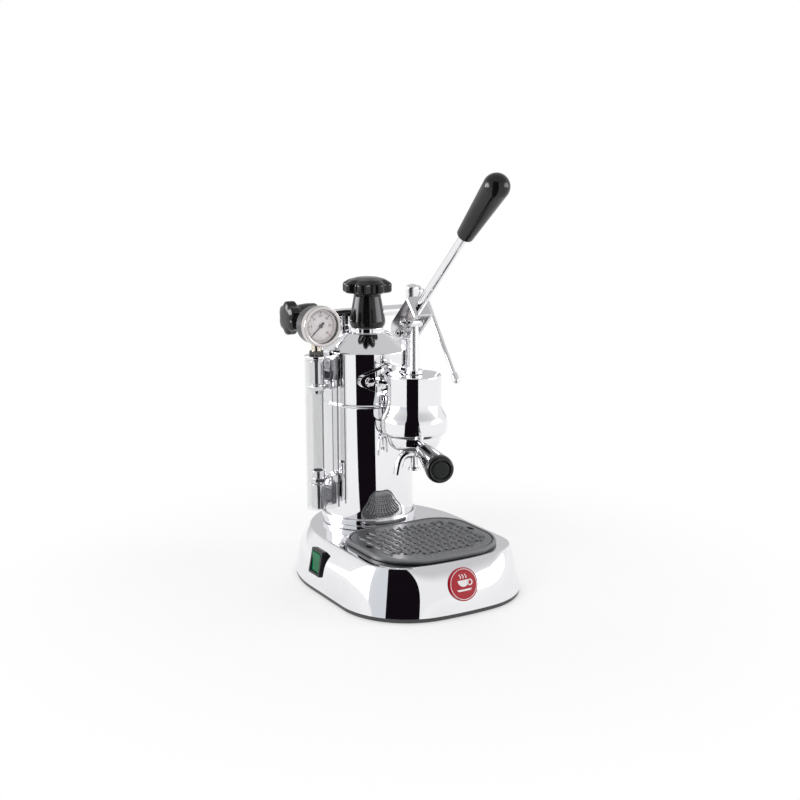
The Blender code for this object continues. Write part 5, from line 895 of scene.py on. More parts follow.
def dress_base():
    profile = [
        (base_inset(step / SHELL_STEPS), SHELL_BOTTOM + BASE_HEIGHT * step / SHELL_STEPS)
        for step in range(SHELL_STEPS + 1)
    ]
    profile.append((BASE_TOP_INSET + ROOF_MARGIN, BASE_TOP))
    rings = []
    for inset, height in softened(profile, BROAD_EDGE):
        share = min(1, (height - SHELL_BOTTOM) / BASE_HEIGHT)
        rings.append(at_height(base_plan(share, inset), height))
    well = TRAY_LIP - WELL_PLAY
    rings.append(at_height(tray_plan(well - WELL_EDGE), BASE_TOP))
    rings.append(at_height(tray_plan(well), BASE_TOP - WELL_EDGE))
    rings.append(at_height(tray_plan(well), TRAY_FLOOR - GAP))
    opening = switch_block(SWITCH_BODY_MARGIN - GAP, -SWITCH_DEPTH, SWITCH_DEPTH)
    shell = combined(lofted(rings), "DIFFERENCE", opening)
    collar = cylinder(COLLAR_RADIUS, BASE_TOP - COLLAR_SINK, BASE_TOP + COLLAR_HEIGHT, edge=BLUNT_EDGE)
    shell = joined(shell, moved(collar, at(0, BOILER_Y, 0)))
    piece(shell, "base_chromed_shell", MACHINE, "machine", CHROME, "base_shell")


def dress_pan():
    bottom = FOOT_HEIGHT + GAP
    edge = bottom + PAN_EDGE
    inner = BASE_WALL + 2 * GAP
    section = [(PAN_INSET + PAN_CHAMFER * out, bottom + PAN_CHAMFER * up) for out, up in PAN_EDGE_SHARES]
    section += [
        (PAN_INSET, edge), (inner, edge), (inner + PAN_LEAN, edge + PAN_LIP),
        (inner + PAN_LEAN + PAN_SHEET, edge + PAN_LIP), (inner + PAN_SHEET, bottom + PAN_SHEET),
    ]
    pan = lofted([at_height(base_plan(0, inset), height) for inset, height in section])
    piece(pan, "base_bottom_pan", MACHINE, "machine", DARK, "bottom_pan")


# Badge with a cup
BADGE_DISC_SHARES = ((1.0, 0.9), (0.965, 1.0), (0.93, 1.0), (0.91, 0.72), (0.0, 0.78))
BADGE_RING_SHARES = ((0.885, 0.6), (0.925, 0.6), (0.925, 0.95), (0.885, 0.9))
EMBLEM_LOW_SHARE = 0.6
EMBLEM_HIGH_SHARE = 0.9
CUP_RADIUS = 0.0065
CUP_RISE = 0.0040
CUP_STEPS = 24
CUP_HANDLE_SPOT = (0.0073, 0.0010, 0)
CUP_HANDLE_INNER = 0.0020
CUP_HANDLE_OUTER = 0.0032
SAUCER_HALF = 0.0090
SAUCER_FOOT_HALF = 0.0066
SAUCER_TOP = -0.0050
SAUCER_FOOT = -0.0068
CURL_SPACING = 0.0032
CURL_START = 0.0056
CURL_RISE = 0.0044
CURL_SWAY = 0.0007
CURL_TURN = 5
CURL_HALF = 0.0005
CURL_STEPS = 12


def steam_curl(middle):
    """The outline of one curl of steam over the cup."""
    shares = [step / CURL_STEPS for step in range(CURL_STEPS + 1)]
    line = [(middle + CURL_SWAY * sin(share * CURL_TURN), CURL_START + CURL_RISE * share) for share in shares]
    return [(x + CURL_HALF, y) for x, y in line] + [(x - CURL_HALF, y) for x, y in reversed(line)]


def cup_emblem(low, high):
    """A cup with its handle and saucer under three curls of steam."""
    cup = extruded(arc(0, CUP_RISE, CUP_RADIUS, pi, 2 * pi, CUP_STEPS), low, high)
    handle = moved(ring(CUP_HANDLE_INNER, CUP_HANDLE_OUTER, low, high, FINE, HAIR_EDGE), at(*CUP_HANDLE_SPOT))
    saucer = extruded([
        (-SAUCER_HALF, SAUCER_TOP), (SAUCER_HALF, SAUCER_TOP),
        (SAUCER_FOOT_HALF, SAUCER_FOOT), (-SAUCER_FOOT_HALF, SAUCER_FOOT),
    ], low, high)
    steam = [extruded(steam_curl(side * CURL_SPACING), low, high) for side in (-1, 0, 1)]
    return joined(cup, handle, saucer, *steam)


def dress_badge():
    radius, front = BADGE_RADIUS, BADGE_THICKNESS
    wall = base_inset(BADGE_HEIGHT_SHARE) - BASE_FRONT
    height = SHELL_BOTTOM + BASE_HEIGHT * BADGE_HEIGHT_SHARE
    turn = Matrix.Rotation(pi / 2 - base_lean(BADGE_HEIGHT_SHARE), 4, "X")
    place = MACHINE @ at(-BADGE_SIDE, wall, height) @ turn
    face = [(radius * out, front * up) for out, up in BADGE_DISC_SHARES]
    disc = turned([(0, -BADGE_BACK / 2), (radius, -BADGE_BACK / 2), *face], edge=SMALL_EDGE)
    piece(disc, "badge_enamel_disc", place, "machine", RED, "badge")
    rim = [(radius * out, front * up) for out, up in BADGE_RING_SHARES]
    rim = turned(rim, closed=True, edge=HAIR_EDGE)
    piece(rim, "badge_pale_ring", place, "machine", PALE, slot="white_paint")
    emblem = cup_emblem(EMBLEM_LOW_SHARE * front, EMBLEM_HIGH_SHARE * front)
    piece(emblem, "badge_cup_emblem", place, "machine", PALE, slot="white_paint")


# Switch and cord gland
SWITCH_SINK = 0.004
ROCKER_ARC_STEPS = 12
ROCKER_TOP_STEPS = 16
GLAND_RIM_SHARE = 0.6
GLAND_FACE_SHARE = 0.8


def switch_place():
    wall = base_inset(SWITCH_HEIGHT_SHARE) - BASE_HALF
    height = SHELL_BOTTOM + BASE_HEIGHT * SWITCH_HEIGHT_SHARE
    return at(wall, SWITCH_Y, height) @ Matrix.Rotation(SWITCH_LEAN - pi / 2, 4, "Y")


def switch_block(margin, low, high):
    half_height = SWITCH_HEIGHT / 2 - margin
    half_length = SWITCH_LENGTH / 2 - margin
    block = box((-half_height, -half_length, low), (half_height, half_length, high))
    return moved(block, switch_place())


def dress_switch():
    flange = bevelled(switch_block(0, -SWITCH_SINK, SWITCH_FLANGE), SOFTER_EDGE)
    body = switch_block(SWITCH_BODY_MARGIN, -SWITCH_DEPTH, 0)
    well = switch_block(SWITCH_FRAME, SWITCH_FLANGE - SWITCH_WELL, SWITCH_DEPTH)
    bezel = combined(combined(flange, "UNION", body), "DIFFERENCE", well)
    piece(bezel, "switch_frame", MACHINE, "machine", SWITCH_BLACK, "switch_bezel")


def dress_rocker():
    half_height = SWITCH_HEIGHT / 2 - SWITCH_FRAME - GAP
    half_length = SWITCH_LENGTH / 2 - SWITCH_FRAME - GAP
    right = arc(0, 0, half_height, -ROCKER_LOWER_ANGLE, ROCKER_UPPER_ANGLE, ROCKER_ARC_STEPS)
    left = [(-x, z) for x, z in reversed(right)]
    drop = half_height * sin(ROCKER_TILT) / 2
    reaches = [1 - 2 * step / ROCKER_TOP_STEPS for step in range(1, ROCKER_TOP_STEPS)]
    top = [(right[-1][0] * reach, right[-1][1] - drop * (1 - reach ** 2)) for reach in reaches]
    rocker = lofted([[(x, y, z) for x, z in right + top + left] for y in (-half_length, half_length)])
    rocker = bevelled(moved(rocker, Matrix.Rotation(-ROCKER_TILT, 4, "Y")), LIGHT_EDGE)
    place = MACHINE @ switch_place() @ at(0, 0, SWITCH_FLANGE - ROCKER_PIVOT_DROP)
    piece(rocker, "switch_green_rocker", place, "rocker", GREEN, "switch_rocker")


def dress_gland():
    rear = BASE_SIDE_END + BASE_REAR_DEPTH - base_inset(GLAND_HEIGHT_SHARE)
    place = MACHINE @ at(0, rear, SHELL_BOTTOM + BASE_HEIGHT * GLAND_HEIGHT_SHARE) @ TO_REAR
    outline = [
        (GLAND_BORE, -GLAND_LENGTH), (GLAND_BODY_RADIUS, -GLAND_LENGTH), (GLAND_BODY_RADIUS, -GLAND_FLANGE),
        (GLAND_RADIUS, -GLAND_FLANGE), (GLAND_RADIUS, GLAND_RIM_SHARE * GLAND_FLANGE),
        (GLAND_FACE_SHARE * GLAND_RADIUS, GLAND_FLANGE), (GLAND_BORE, GLAND_FLANGE),
    ]
    piece(turned(outline, FINE, closed=True), "cord_gland_bushing", place, "machine", RUBBER, "cord_gland")


# Drip tray and its grille
RIB_HALF = 0.0021
RIB_SWAY = 0.0007
RIB_RISE = 0.0018
RIB_SINK = 0.0003
RIB_STEPS = 8
RIB_END_SHARE = 0.25
RIB_SHARES = ((-1, 0), (-0.8, 0.7), (-0.4, 1), (0.4, 1), (0.8, 0.7), (1, 0))
RIM_SEAM = 0.0010
RIM_SURFACE = 0.004
HOLE_FACETS = 14
FINGER_STEPS = 12


def dress_tray():
    inner = TRAY_LIP + TRAY_WALL
    section = softened([
        (TRAY_LIP + WELL_PLAY, TRAY_FLOOR), (TRAY_LIP, TRAY_BOTTOM), (0, TRAY_BOTTOM),
        (0, TRAY_TOP - TRAY_CHAMFER), (TRAY_CHAMFER, TRAY_TOP), (TRAY_LEDGE_INSET - GAP, TRAY_TOP),
        (TRAY_LEDGE_INSET - GAP, TRAY_TOP - TRAY_LEDGE), (inner, TRAY_TOP - TRAY_LEDGE),
        (inner + WELL_PLAY, TRAY_FLOOR + TRAY_WALL),
    ], FULL_EDGE)
    tray = lofted([at_height(tray_plan(inset), height) for inset, height in section])
    piece(tray, "drip_tray_dish", MACHINE, "tray", TRAY_GREY, "drip_tray")


def wavy_rib(x, near, far, low, high):
    """A rib with a rounded top that weaves between the rows of holes."""
    steps = max(RIB_STEPS, int((far - near) / GRILLE_PITCH * RIB_STEPS))
    rings = []
    for step in range(steps + 1):
        y = near + (far - near) * step / steps
        sway = RIB_SWAY * sin(2 * pi * (y - near) / (2 * GRILLE_PITCH))
        taper = min(1, RIB_END_SHARE + 3 * min(step, steps - step) / RIB_STEPS)
        rings.append([
            (x + sway + RIB_HALF * out * taper, y, low + (high - low) * up * taper) for out, up in RIB_SHARES
        ])
    return lofted(rings)


def grille_field(middle, low, high):
    """The grille's holes as one solid, and the place and ends of each rib beside them."""
    field = tray_plan(TRAY_LEDGE_INSET + GRILLE_BORDER)
    half = GRILLE_HOLE / 2
    across = int(TRAY_HALF / GRILLE_PITCH)
    along = int((TRAY_FRONT + TRAY_REAR) / 2 / GRILLE_PITCH) + 1
    holes, ribs = [], []
    for column in range(-across, across + 1):
        x = column * GRILLE_PITCH
        held = []
        for row in range(-along, along + 1):
            y = middle + row * GRILLE_PITCH
            if all(convex_holds(field, x + a, y + b) for a in (-half, half) for b in (-half, half)):
                held.append(y)
                holes.append(extruded([(x + a, y + b) for a, b in circle(half, HOLE_FACETS)], low, high))
        if held:
            ribs.append((x + GRILLE_PITCH / 2, held[0] - GRILLE_PITCH / 2, held[-1] + GRILLE_PITCH / 2))
    x, near, far = ribs[0]
    return joined(*holes), [(x - GRILLE_PITCH, near, far), *ribs]


def finger_slot(side, middle, low, high):
    x = side * (TRAY_HALF - TRAY_LEDGE_INSET - FINGER_MARGIN - FINGER_WIDTH / 2)
    y = middle + FINGER_SHIFT
    radius = (FINGER_LENGTH ** 2 / 4 + FINGER_WIDTH ** 2 / 4) / FINGER_WIDTH
    turn = asin(FINGER_LENGTH / 2 / radius)
    shift = radius - FINGER_WIDTH / 2
    right = arc(x - shift, y, radius, -turn, turn, FINGER_STEPS)
    left = arc(x + shift, y, radius, pi - turn, pi + turn, FINGER_STEPS)
    return extruded(right + left, low, high)


def dress_grille():
    top = GRILLE_BOTTOM + GRILLE_SHEET
    rim = TRAY_LEDGE_INSET + RIM_SEAM
    section = softened([(rim, GRILLE_BOTTOM), (rim, top), (rim + RIM_SURFACE, top)], EDGE)
    plate = lofted([at_height(tray_plan(inset), height) for inset, height in section])
    middle = (TRAY_REAR - TRAY_FRONT) / 2
    low, high = GRILLE_BOTTOM - OVERRUN, top + OVERRUN
    holes, ribs = grille_field(middle, low, high)
    slots = [finger_slot(side, middle, low, high) for side in (-1, 1)]
    plate = combined(plate, "DIFFERENCE", holes, *slots)
    bars = [wavy_rib(*line, top - RIB_SINK, top + RIB_RISE) for line in ribs]
    grille = joined(plate, *bars)
    piece(grille, "drip_grille_plate", MACHINE, "grille", GRILLE_GREY, "drip_grille", slot="grey_plastic")


# Boiler
BEAD_STEPS = 8
LOBE_FACETS = 20
FLUTE_POWER = 1.6
FLUTE_STEPS = 3
CAP_FLUTE_SHARE = 1.25
PLUG_TIP_SHARE = 0.85


def dress_boiler():
    radius = BOILER_RADIUS
    seam = BOILER_SHOULDER - SEAM_DROP - SEAM_WIDTH / 2
    bead = [
        (radius + SEAM_PROUD * sin(pi * step / BEAD_STEPS), seam + SEAM_WIDTH * step / BEAD_STEPS)
        for step in range(BEAD_STEPS + 1)
    ]
    outline = [
        (BOILER_PORT, BOILER_BOTTOM), (radius, BOILER_BOTTOM), *bead, (radius, BOILER_SHOULDER),
        (CONE_TOP_RADIUS, CONE_TOP), (NECK_RADIUS, CONE_TOP), (NECK_RADIUS, NECK_TOP), (NECK_BORE, NECK_TOP),
        (NECK_BORE, CONE_TOP - BOILER_WALL), (CONE_TOP_RADIUS, CONE_TOP - 2 * BOILER_WALL),
        (radius - BOILER_WALL, BOILER_SHOULDER - 2 * BOILER_WALL),
        (radius - BOILER_WALL, BOILER_BOTTOM + BOILER_FLOOR), (BOILER_PORT, BOILER_BOTTOM + BOILER_FLOOR),
    ]
    vessel = turned(outline, BOILER_FACETS, closed=True, edge=CAST_EDGE)
    piece(vessel, "boiler_vessel", BOILER, "machine", CHROME, "boiler_body")
    top = BOILER_BOTTOM + RING_HEIGHT
    foot = ring(radius + GAP, RING_RADIUS, BOILER_BOTTOM, top, BOILER_FACETS, RING_EDGE)
    piece(foot, "boiler_foot_ring", BOILER, "machine", CHROME, "boiler_ring")


def lobed_knob(shares, radius, length, flute, lobes):
    """A fluted knob: smooth rings through the given (width, height, flute) shares."""
    spots = [(radius * wide, length * high, flute * cut) for wide, high, cut in shares]
    count = lobes * LOBE_FACETS
    turns = [2 * pi * index / count for index in range(count)]
    rings = []
    for wide, high, cut in softened(spots, MOULDED_EDGE, steps=FLUTE_STEPS):
        reaches = [wide - cut * ((1 - cos(lobes * turn)) / 2) ** FLUTE_POWER for turn in turns]
        rings.append([(reach * cos(turn), reach * sin(turn), high) for reach, turn in zip(reaches, turns)])
    return lofted(rings)


def dress_cap():
    place = BOILER @ at(0, 0, NECK_TOP + GAP)
    flute = CAP_FLUTE_SHARE * CAP_LOBE_DEPTH
    knob = lobed_knob(CAP_SHARES, CAP_KNOB_RADIUS, CAP_KNOB_HEIGHT, flute, CAP_LOBES)
    knob = moved(knob, spin_z(CAP_TURN))
    recess = GASKET_HEIGHT + GAP
    hollow = cylinder(CAP_RECESS_RADIUS, -OVERRUN, recess, FINE, edge=0)
    bore = cylinder(CAP_STEM_RADIUS + GAP, recess - OVERRUN / 2, recess + CAP_STEM_RISE, FINE, edge=0)
    knob = combined(knob, "DIFFERENCE", hollow, bore)
    piece(knob, "cap_fluted_knob", place, "cap", BAKELITE, "cap_knob")
    radius = NECK_BORE - GAP
    plug = turned([
        (0, -CAP_PLUG_LENGTH), (PLUG_TIP_SHARE * radius, -CAP_PLUG_LENGTH),
        (radius, -PLUG_TIP_SHARE * CAP_PLUG_LENGTH), (radius, GASKET_HEIGHT),
        (CAP_STEM_RADIUS, GASKET_HEIGHT), (CAP_STEM_RADIUS, GASKET_HEIGHT + CAP_STEM_RISE),
        (0, GASKET_HEIGHT + CAP_STEM_RISE),
    ], FINE, edge=SMALL_EDGE)
    piece(plug, "cap_threaded_plug", place, "cap", BRASS, "cap_plug")
    gasket = ring(NECK_BORE + GAP, CAP_RECESS_RADIUS - GAP, 0, GASKET_HEIGHT, FINE, SMALL_EDGE)
    piece(gasket, "cap_rubber_gasket", place, "cap_gasket_lift", RUBBER, "cap_gasket")


# Group
FLANGE_SINK = 0.002
FLANGE_STEPS = 14
FLANGE_BACK = BOILER_RADIUS + GAP + GROUP_GASKET_SHEET + GAP
NECK_STEPS = 12
NECK_FACETS = 40
NECK_START = 0.6 * BELL_RADIUS
NECK_FLARE_SHARE = 0.22
NECK_WAIST_SHARE = 0.45
NECK_FLARE_POWER = 2.2
NECK_CLEARANCE = 0.002
TOWER_STEPS = 8
TOWER_FOOT_SHARE = 1.12
TOWER_POWER = 2.4
WASHER_SHARE = 1.12
WASHER_SHEET = 0.0008
WASHER_LAP = 0.0006
BOLT_SINK = 0.001
NUT_SINK = 0.001


def rhombic_outline(half_width, half_height, tip_radius):
    reach = half_width - tip_radius
    turn = acos((half_height - tip_radius) / reach)
    right = arc(reach, 0, tip_radius, -turn, turn, FLANGE_STEPS)
    top = arc(0, 0, half_height, turn, pi - turn, FLANGE_STEPS)
    left = arc(-reach, 0, tip_radius, pi - turn, pi + turn, FLANGE_STEPS)
    bottom = arc(0, 0, half_height, pi + turn, 2 * pi - turn, FLANGE_STEPS)
    return right + top + left + bottom


def about_boiler(radius):
    low, high = FLANGE_Z - 2 * FLANGE_HALF_HEIGHT, FLANGE_Z + 2 * FLANGE_HALF_HEIGHT
    return moved(cylinder(radius, low, high, BOILER_FACETS, edge=0), at(0, GROUP_REACH, 0))


def group_bell():
    swell = BELL_SKIRT_RADIUS - BELL_RADIUS
    skirt = [(BELL_RADIUS + swell * out, BELL_BOTTOM + BELL_HEIGHT * up) for out, up in BELL_SHARES]
    bore = PISTON_ROD_RADIUS + GAP
    return turned([
        (bore, BELL_TOP), (BELL_RADIUS, BELL_TOP), *skirt, (BELL_LIP_RADIUS, BELL_BOTTOM),
        (LIP_BORE, BELL_BOTTOM), (LIP_BORE, BELL_BOTTOM + LIP_HEIGHT),
        (BAYONET_RADIUS, BELL_BOTTOM + LIP_HEIGHT), (BAYONET_RADIUS, BAYONET_ROOF),
        (BELL_BORE, BAYONET_ROOF), (BELL_BORE, BELL_BORE_TOP), (bore, BELL_BORE_TOP),
    ], BELL_FACETS, closed=True, edge=BELL_EDGE)


def group_flange():
    outline = rhombic_outline(FLANGE_HALF_WIDTH, FLANGE_HALF_HEIGHT, FLANGE_TIP_RADIUS)
    ends = (BELL_RADIUS - FLANGE_SINK, GROUP_REACH)
    flange = lofted([[(x, y, FLANGE_Z + z) for x, z in outline] for y in ends])
    flange = combined(flange, "INTERSECT", about_boiler(FLANGE_BACK + FLANGE_THICKNESS))
    return bevelled(combined(flange, "DIFFERENCE", about_boiler(FLANGE_BACK)), CAST_EDGE)


def group_neck():
    """The casting between bell and flange, which spreads to both ends."""
    rings = []
    for step in range(NECK_STEPS + 1):
        share = step / NECK_STEPS
        y = NECK_START + (BOILER_FRONT - NECK_START) * share
        flare = 1 + NECK_FLARE_SHARE * (2 * abs(share - NECK_WAIST_SHARE)) ** NECK_FLARE_POWER
        wide, tall = NECK_HALF_WIDTH * flare, NECK_HALF_HEIGHT * flare
        rings.append([(wide * x, y, FLANGE_Z + tall * z) for x, z in circle(1, NECK_FACETS)])
    bore = cylinder(BELL_BORE + NECK_CLEARANCE, BELL_BOTTOM, BELL_TOP, FINE, edge=0)
    return combined(lofted(rings), "DIFFERENCE", bore, about_boiler(FLANGE_BACK))


def group_tower():
    """The post that carries the lever's fulcrum, with its eye."""
    half = TOWER_SIDE / 2
    foot = TOWER_FOOT_WIDTH / 2 * TOWER_FOOT_SHARE
    levels = [(foot, BELL_TOP - TOWER_SINK / 2)]
    for step in range(TOWER_STEPS + 1):
        share = step / TOWER_STEPS
        wide = half + (foot - half) * (1 - share) ** TOWER_POWER
        levels.append((wide, BELL_TOP + TOWER_SINK / 2 + TOWER_FOOT_HEIGHT * share))
    levels.append((half, FULCRUM_Z))
    near, far = FULCRUM_BACK - half, FULCRUM_BACK + half
    rings = [[(-wide, near, z), (wide, near, z), (wide, far, z), (-wide, far, z)] for wide, z in levels]
    top = BELL_TOP + GLAND_NUT_HEIGHT + 3 * GAP
    nut_space = cylinder(GLAND_NUT_RADIUS + GAP, BELL_TOP - OVERRUN, top, FINE, edge=0)
    tower = bevelled(combined(lofted(rings), "DIFFERENCE", nut_space), SOFT_EDGE)
    eye = cylinder(TOWER_EYE_RADIUS, -EYE_WIDTH / 2, EYE_WIDTH / 2, FINE)
    return joined(tower, moved(eye, at(0, FULCRUM_BACK, FULCRUM_Z) @ TO_X))


def dress_group():
    casting = joined(group_bell(), group_flange(), group_neck(), group_tower())
    piece(casting, "group_bell_casting", GROUP, "machine", CHROME, "group_bell")


def dress_bolts():
    radius = FLANGE_BACK + FLANGE_THICKNESS
    seat = GROUP_REACH - sqrt(radius ** 2 - BOLT_SPACING ** 2) + BOLT_SEAT_DEPTH - GAP
    for side, name in ((-BOLT_SPACING, "left"), (BOLT_SPACING, "right")):
        washer = cylinder(BOLT_HEAD_RADIUS * WASHER_SHARE, seat - WASHER_SHEET, seat, FINE, THIN_EDGE)
        head = cylinder(BOLT_HEAD_RADIUS, seat - BOLT_HEAD_HEIGHT, seat - WASHER_LAP, HEXAGON, edge=0)
        head = bevelled(head, LIGHT_EDGE)
        shank = cylinder(BOLT_RADIUS, seat - BOLT_SINK, BOILER_FRONT - BOLT_SINK, FINE, edge=0)
        bolt = moved(joined(washer, head, shank), at(side, 0, FLANGE_Z) @ TO_REAR)
        piece(bolt, f"group_hex_bolt_{name}", GROUP, "machine", CHROME, f"group_bolt_{name}")


def dress_gland_nut():
    bore = PISTON_ROD_RADIUS + GAP
    base = BELL_TOP + GAP
    top = base + GLAND_NUT_HEIGHT
    nut = turned([
        (bore, BELL_TOP - NUT_SINK), (GLAND_NUT_STEM, BELL_TOP - NUT_SINK), (GLAND_NUT_STEM, base),
        (GLAND_NUT_RADIUS, base), (GLAND_NUT_RADIUS, top), (bore, top),
    ], FINE, closed=True, edge=SOFTER_EDGE)
    piece(nut, "group_gland_nut", GROUP, "machine", CHROME, "gland_nut")


# Lever and piston rod
LEVER_BORE_END = LEVER_HANDLE_START + LEVER_BORE_LENGTH
ROD_END_DROP = 0.002
FORK_BEND_STEPS = 10
FORK_INNER_STEPS = 4
FORK_REAR_STEPS = 32
SLOT_STEPS = 16
PIN_HOLE_FACETS = 32
HANDLE_STEPS = 24


def crosswise(outline, half_width):
    return lofted([[(x, -forward, up) for forward, up in outline] for x in (-half_width, half_width)])


def cross_pin(name, place, body):
    side = FORK_HALF + GAP
    tail = -side - CLIP_SHEET - PIN_TAIL
    pin = turned([
        (0, tail), (PIN_RADIUS, tail), (PIN_RADIUS, side), (PIN_HEAD_RADIUS, side),
        (PIN_HEAD_RADIUS, side + PIN_HEAD_HEIGHT), (0, side + PIN_HEAD_HEIGHT),
    ], FINE)
    piece(pin, f"{name}_cross_pin", place @ TO_X, body, CHROME, f"{name}_pin")
    clip = ring(PIN_RADIUS + GAP, CLIP_RADIUS, -side - CLIP_SHEET, -side, FINE, THIN_EDGE)
    piece(clip, f"{name}_spring_clip", place @ TO_X, body, STEEL, f"{name}_pin_clip")


def lever_fork():
    outer, inner = FORK_HALF, FORK_HALF - FORK_PLATE
    bend, inner_bend = FORK_BEND, FORK_BEND - FORK_PLATE
    web = FORK_FRONT - FORK_PLATE
    plan = [
        (-outer, FORK_REAR), *arc(bend - outer, bend - FORK_FRONT, bend, pi, 3 * pi / 2, FORK_BEND_STEPS),
        *arc(outer - bend, bend - FORK_FRONT, bend, 3 * pi / 2, 2 * pi, FORK_BEND_STEPS),
        (outer, FORK_REAR), (inner, FORK_REAR),
        *arc(inner - inner_bend, inner_bend - web, inner_bend, 2 * pi, 3 * pi / 2, FORK_INNER_STEPS),
        *arc(inner_bend - inner, inner_bend - web, inner_bend, 3 * pi / 2, pi, FORK_INNER_STEPS),
        (-inner, FORK_REAR),
    ]
    fork = extruded(plan, -FORK_LOW - OVERRUN, FORK_HIGH + OVERRUN)
    half = (FORK_LOW + FORK_HIGH) / 2
    middle = FORK_HIGH - half
    rear = arc(half - FORK_REAR, middle, half, pi / 2, 3 * pi / 2, FORK_REAR_STEPS)
    front = [(FORK_FRONT + OVERRUN, middle - half), (FORK_FRONT + OVERRUN, middle + half)]
    fork = combined(fork, "INTERSECT", crosswise(rear + front, FORK_HALF + OVERRUN))
    pin = moved(cylinder(PIN_RADIUS + PIN_PLAY, -2 * FORK_HALF, 2 * FORK_HALF, PIN_HOLE_FACETS, edge=0), TO_X)
    slot = arc(SLOT_FAR, 0, SLOT_HALF_HEIGHT, -pi / 2, pi / 2, SLOT_STEPS)
    slot += arc(SLOT_NEAR, 0, SLOT_HALF_HEIGHT, pi / 2, 3 * pi / 2, SLOT_STEPS)
    slot = moved(crosswise(slot, 2 * FORK_HALF), at(0, 0, -SLOT_DROP))
    return bevelled(combined(fork, "DIFFERENCE", pin, slot), SLIGHT_EDGE)


def dress_piston():
    bottom = PISTON_BOTTOM + PISTON_SKIN + GAP
    rod = cylinder(PISTON_ROD_RADIUS, bottom, PISTON_PIN_Z - ROD_END_DROP, FINE, edge=0)
    eye = cylinder(PISTON_EYE_RADIUS, -EYE_WIDTH / 2, EYE_WIDTH / 2, FINE, FULL_EDGE)
    rod = joined(rod, moved(eye, at(0, 0, PISTON_PIN_Z) @ TO_X))
    piece(rod, "piston_polished_rod", GROUP, "piston", ROD_STEEL, "piston_rod")
    cross_pin("piston", GROUP @ at(0, 0, PISTON_PIN_Z), "piston")
    cross_pin("fulcrum", GROUP @ at(0, FULCRUM_BACK, FULCRUM_Z), "machine")


def dress_lever():
    piece(lever_fork(), "lever_bent_fork", LEVER, "lever", FORK_STEEL, "lever_fork")
    root, collar = FORK_FRONT - FORK_PLATE + GAP, FORK_FRONT + GAP
    rod = turned([
        (0, root), (LEVER_ROD_NECK, root), (LEVER_ROD_NECK, collar), (LEVER_ROD_RADIUS, collar),
        (LEVER_ROD_RADIUS, LEVER_BORE_END - GAP), (0, LEVER_BORE_END - GAP),
    ], FINE, edge=SLIGHT_EDGE)
    piece(rod, "lever_round_rod", ROD_PLACE, "lever", CHROME, "lever_rod")


def dress_lever_handle():
    start, small, large = LEVER_HANDLE_START, LEVER_HANDLE_RADIUS, LEVER_BALL_RADIUS
    centre = start + LEVER_HANDLE_LENGTH
    lean = asin((large - small) / LEVER_HANDLE_LENGTH)
    ball = [(radius, centre + up) for radius, up in arc(0, 0, large, -lean, pi / 2, HANDLE_STEPS)[:-1]]
    handle = turned([
        (0, LEVER_BORE_END), (LEVER_ROD_RADIUS + GAP, LEVER_BORE_END), (LEVER_ROD_RADIUS + GAP, start),
        (small, start), *ball, (0, centre + large),
    ], SMOOTH, edge=BLUNT_EDGE)
    piece(handle, "lever_tapered_handle", ROD_PLACE, "lever", BAKELITE, "lever_handle")


# Portafilter
BOWL_STEP_SHARE = 0.40
BOWL_CURVE_SHARES = (0.82, 0.06)
EAR_LAP = 0.001
DISC_SHARES = ((1.0, -0.2), (0.85, 0.1), (0.0, 0.2))
SPOUT_STEM_SHARES = (0.06, 0.22)
SPOUT_WAIST_SHARE = 1.15
BASKET_FLOOR_SHARES = (0.96, 0.94)


def portafilter_bowl():
    outer = [(BOWL_RADIUS * wide, BOWL_BOTTOM + BOWL_HEIGHT * high) for wide, high in BOWL_SHARES]
    inner = BOWL_RADIUS - BOWL_WALL
    floor = BOWL_BOTTOM + BOWL_FLOOR
    wide, high = BOWL_CURVE_SHARES
    bowl = turned([
        (DRAIN_RADIUS, BOWL_BOTTOM), *outer, (BOWL_RADIUS, BOWL_TOP), (inner, BOWL_TOP),
        (inner, BOWL_BOTTOM + BOWL_STEP_SHARE * BOWL_HEIGHT), (wide * inner, floor + high * BOWL_HEIGHT),
        (DRAIN_RADIUS, floor),
    ], BOWL_FACETS, closed=True, edge=BROAD_EDGE)
    low = BOWL_TOP - BOWL_EAR_HEIGHT
    ears = ring(inner + EAR_LAP, BAYONET_RADIUS - GAP, low, BOWL_TOP, BOWL_FACETS, SMALL_EDGE)
    ears = combined(ears, "INTERSECT", box(
        (-BAYONET_RADIUS, -BOWL_EAR_HALF, low - OVERRUN), (BAYONET_RADIUS, BOWL_EAR_HALF, BOWL_TOP + OVERRUN),
    ))
    root, end = inner + BOWL_WALL / 2, SHANK_END - GAP
    shank = turned([
        (0, root), (SHANK_RADIUS, root), (SHANK_END_RADIUS, end), (STUD_RADIUS, end),
        (STUD_RADIUS, SHANK_END + STUD_LENGTH), (0, SHANK_END + STUD_LENGTH),
    ], FINE)
    return joined(bowl, ears, moved(shank, at(0, 0, BOWL_TOP - SHANK_DROP) @ TO_FRONT))


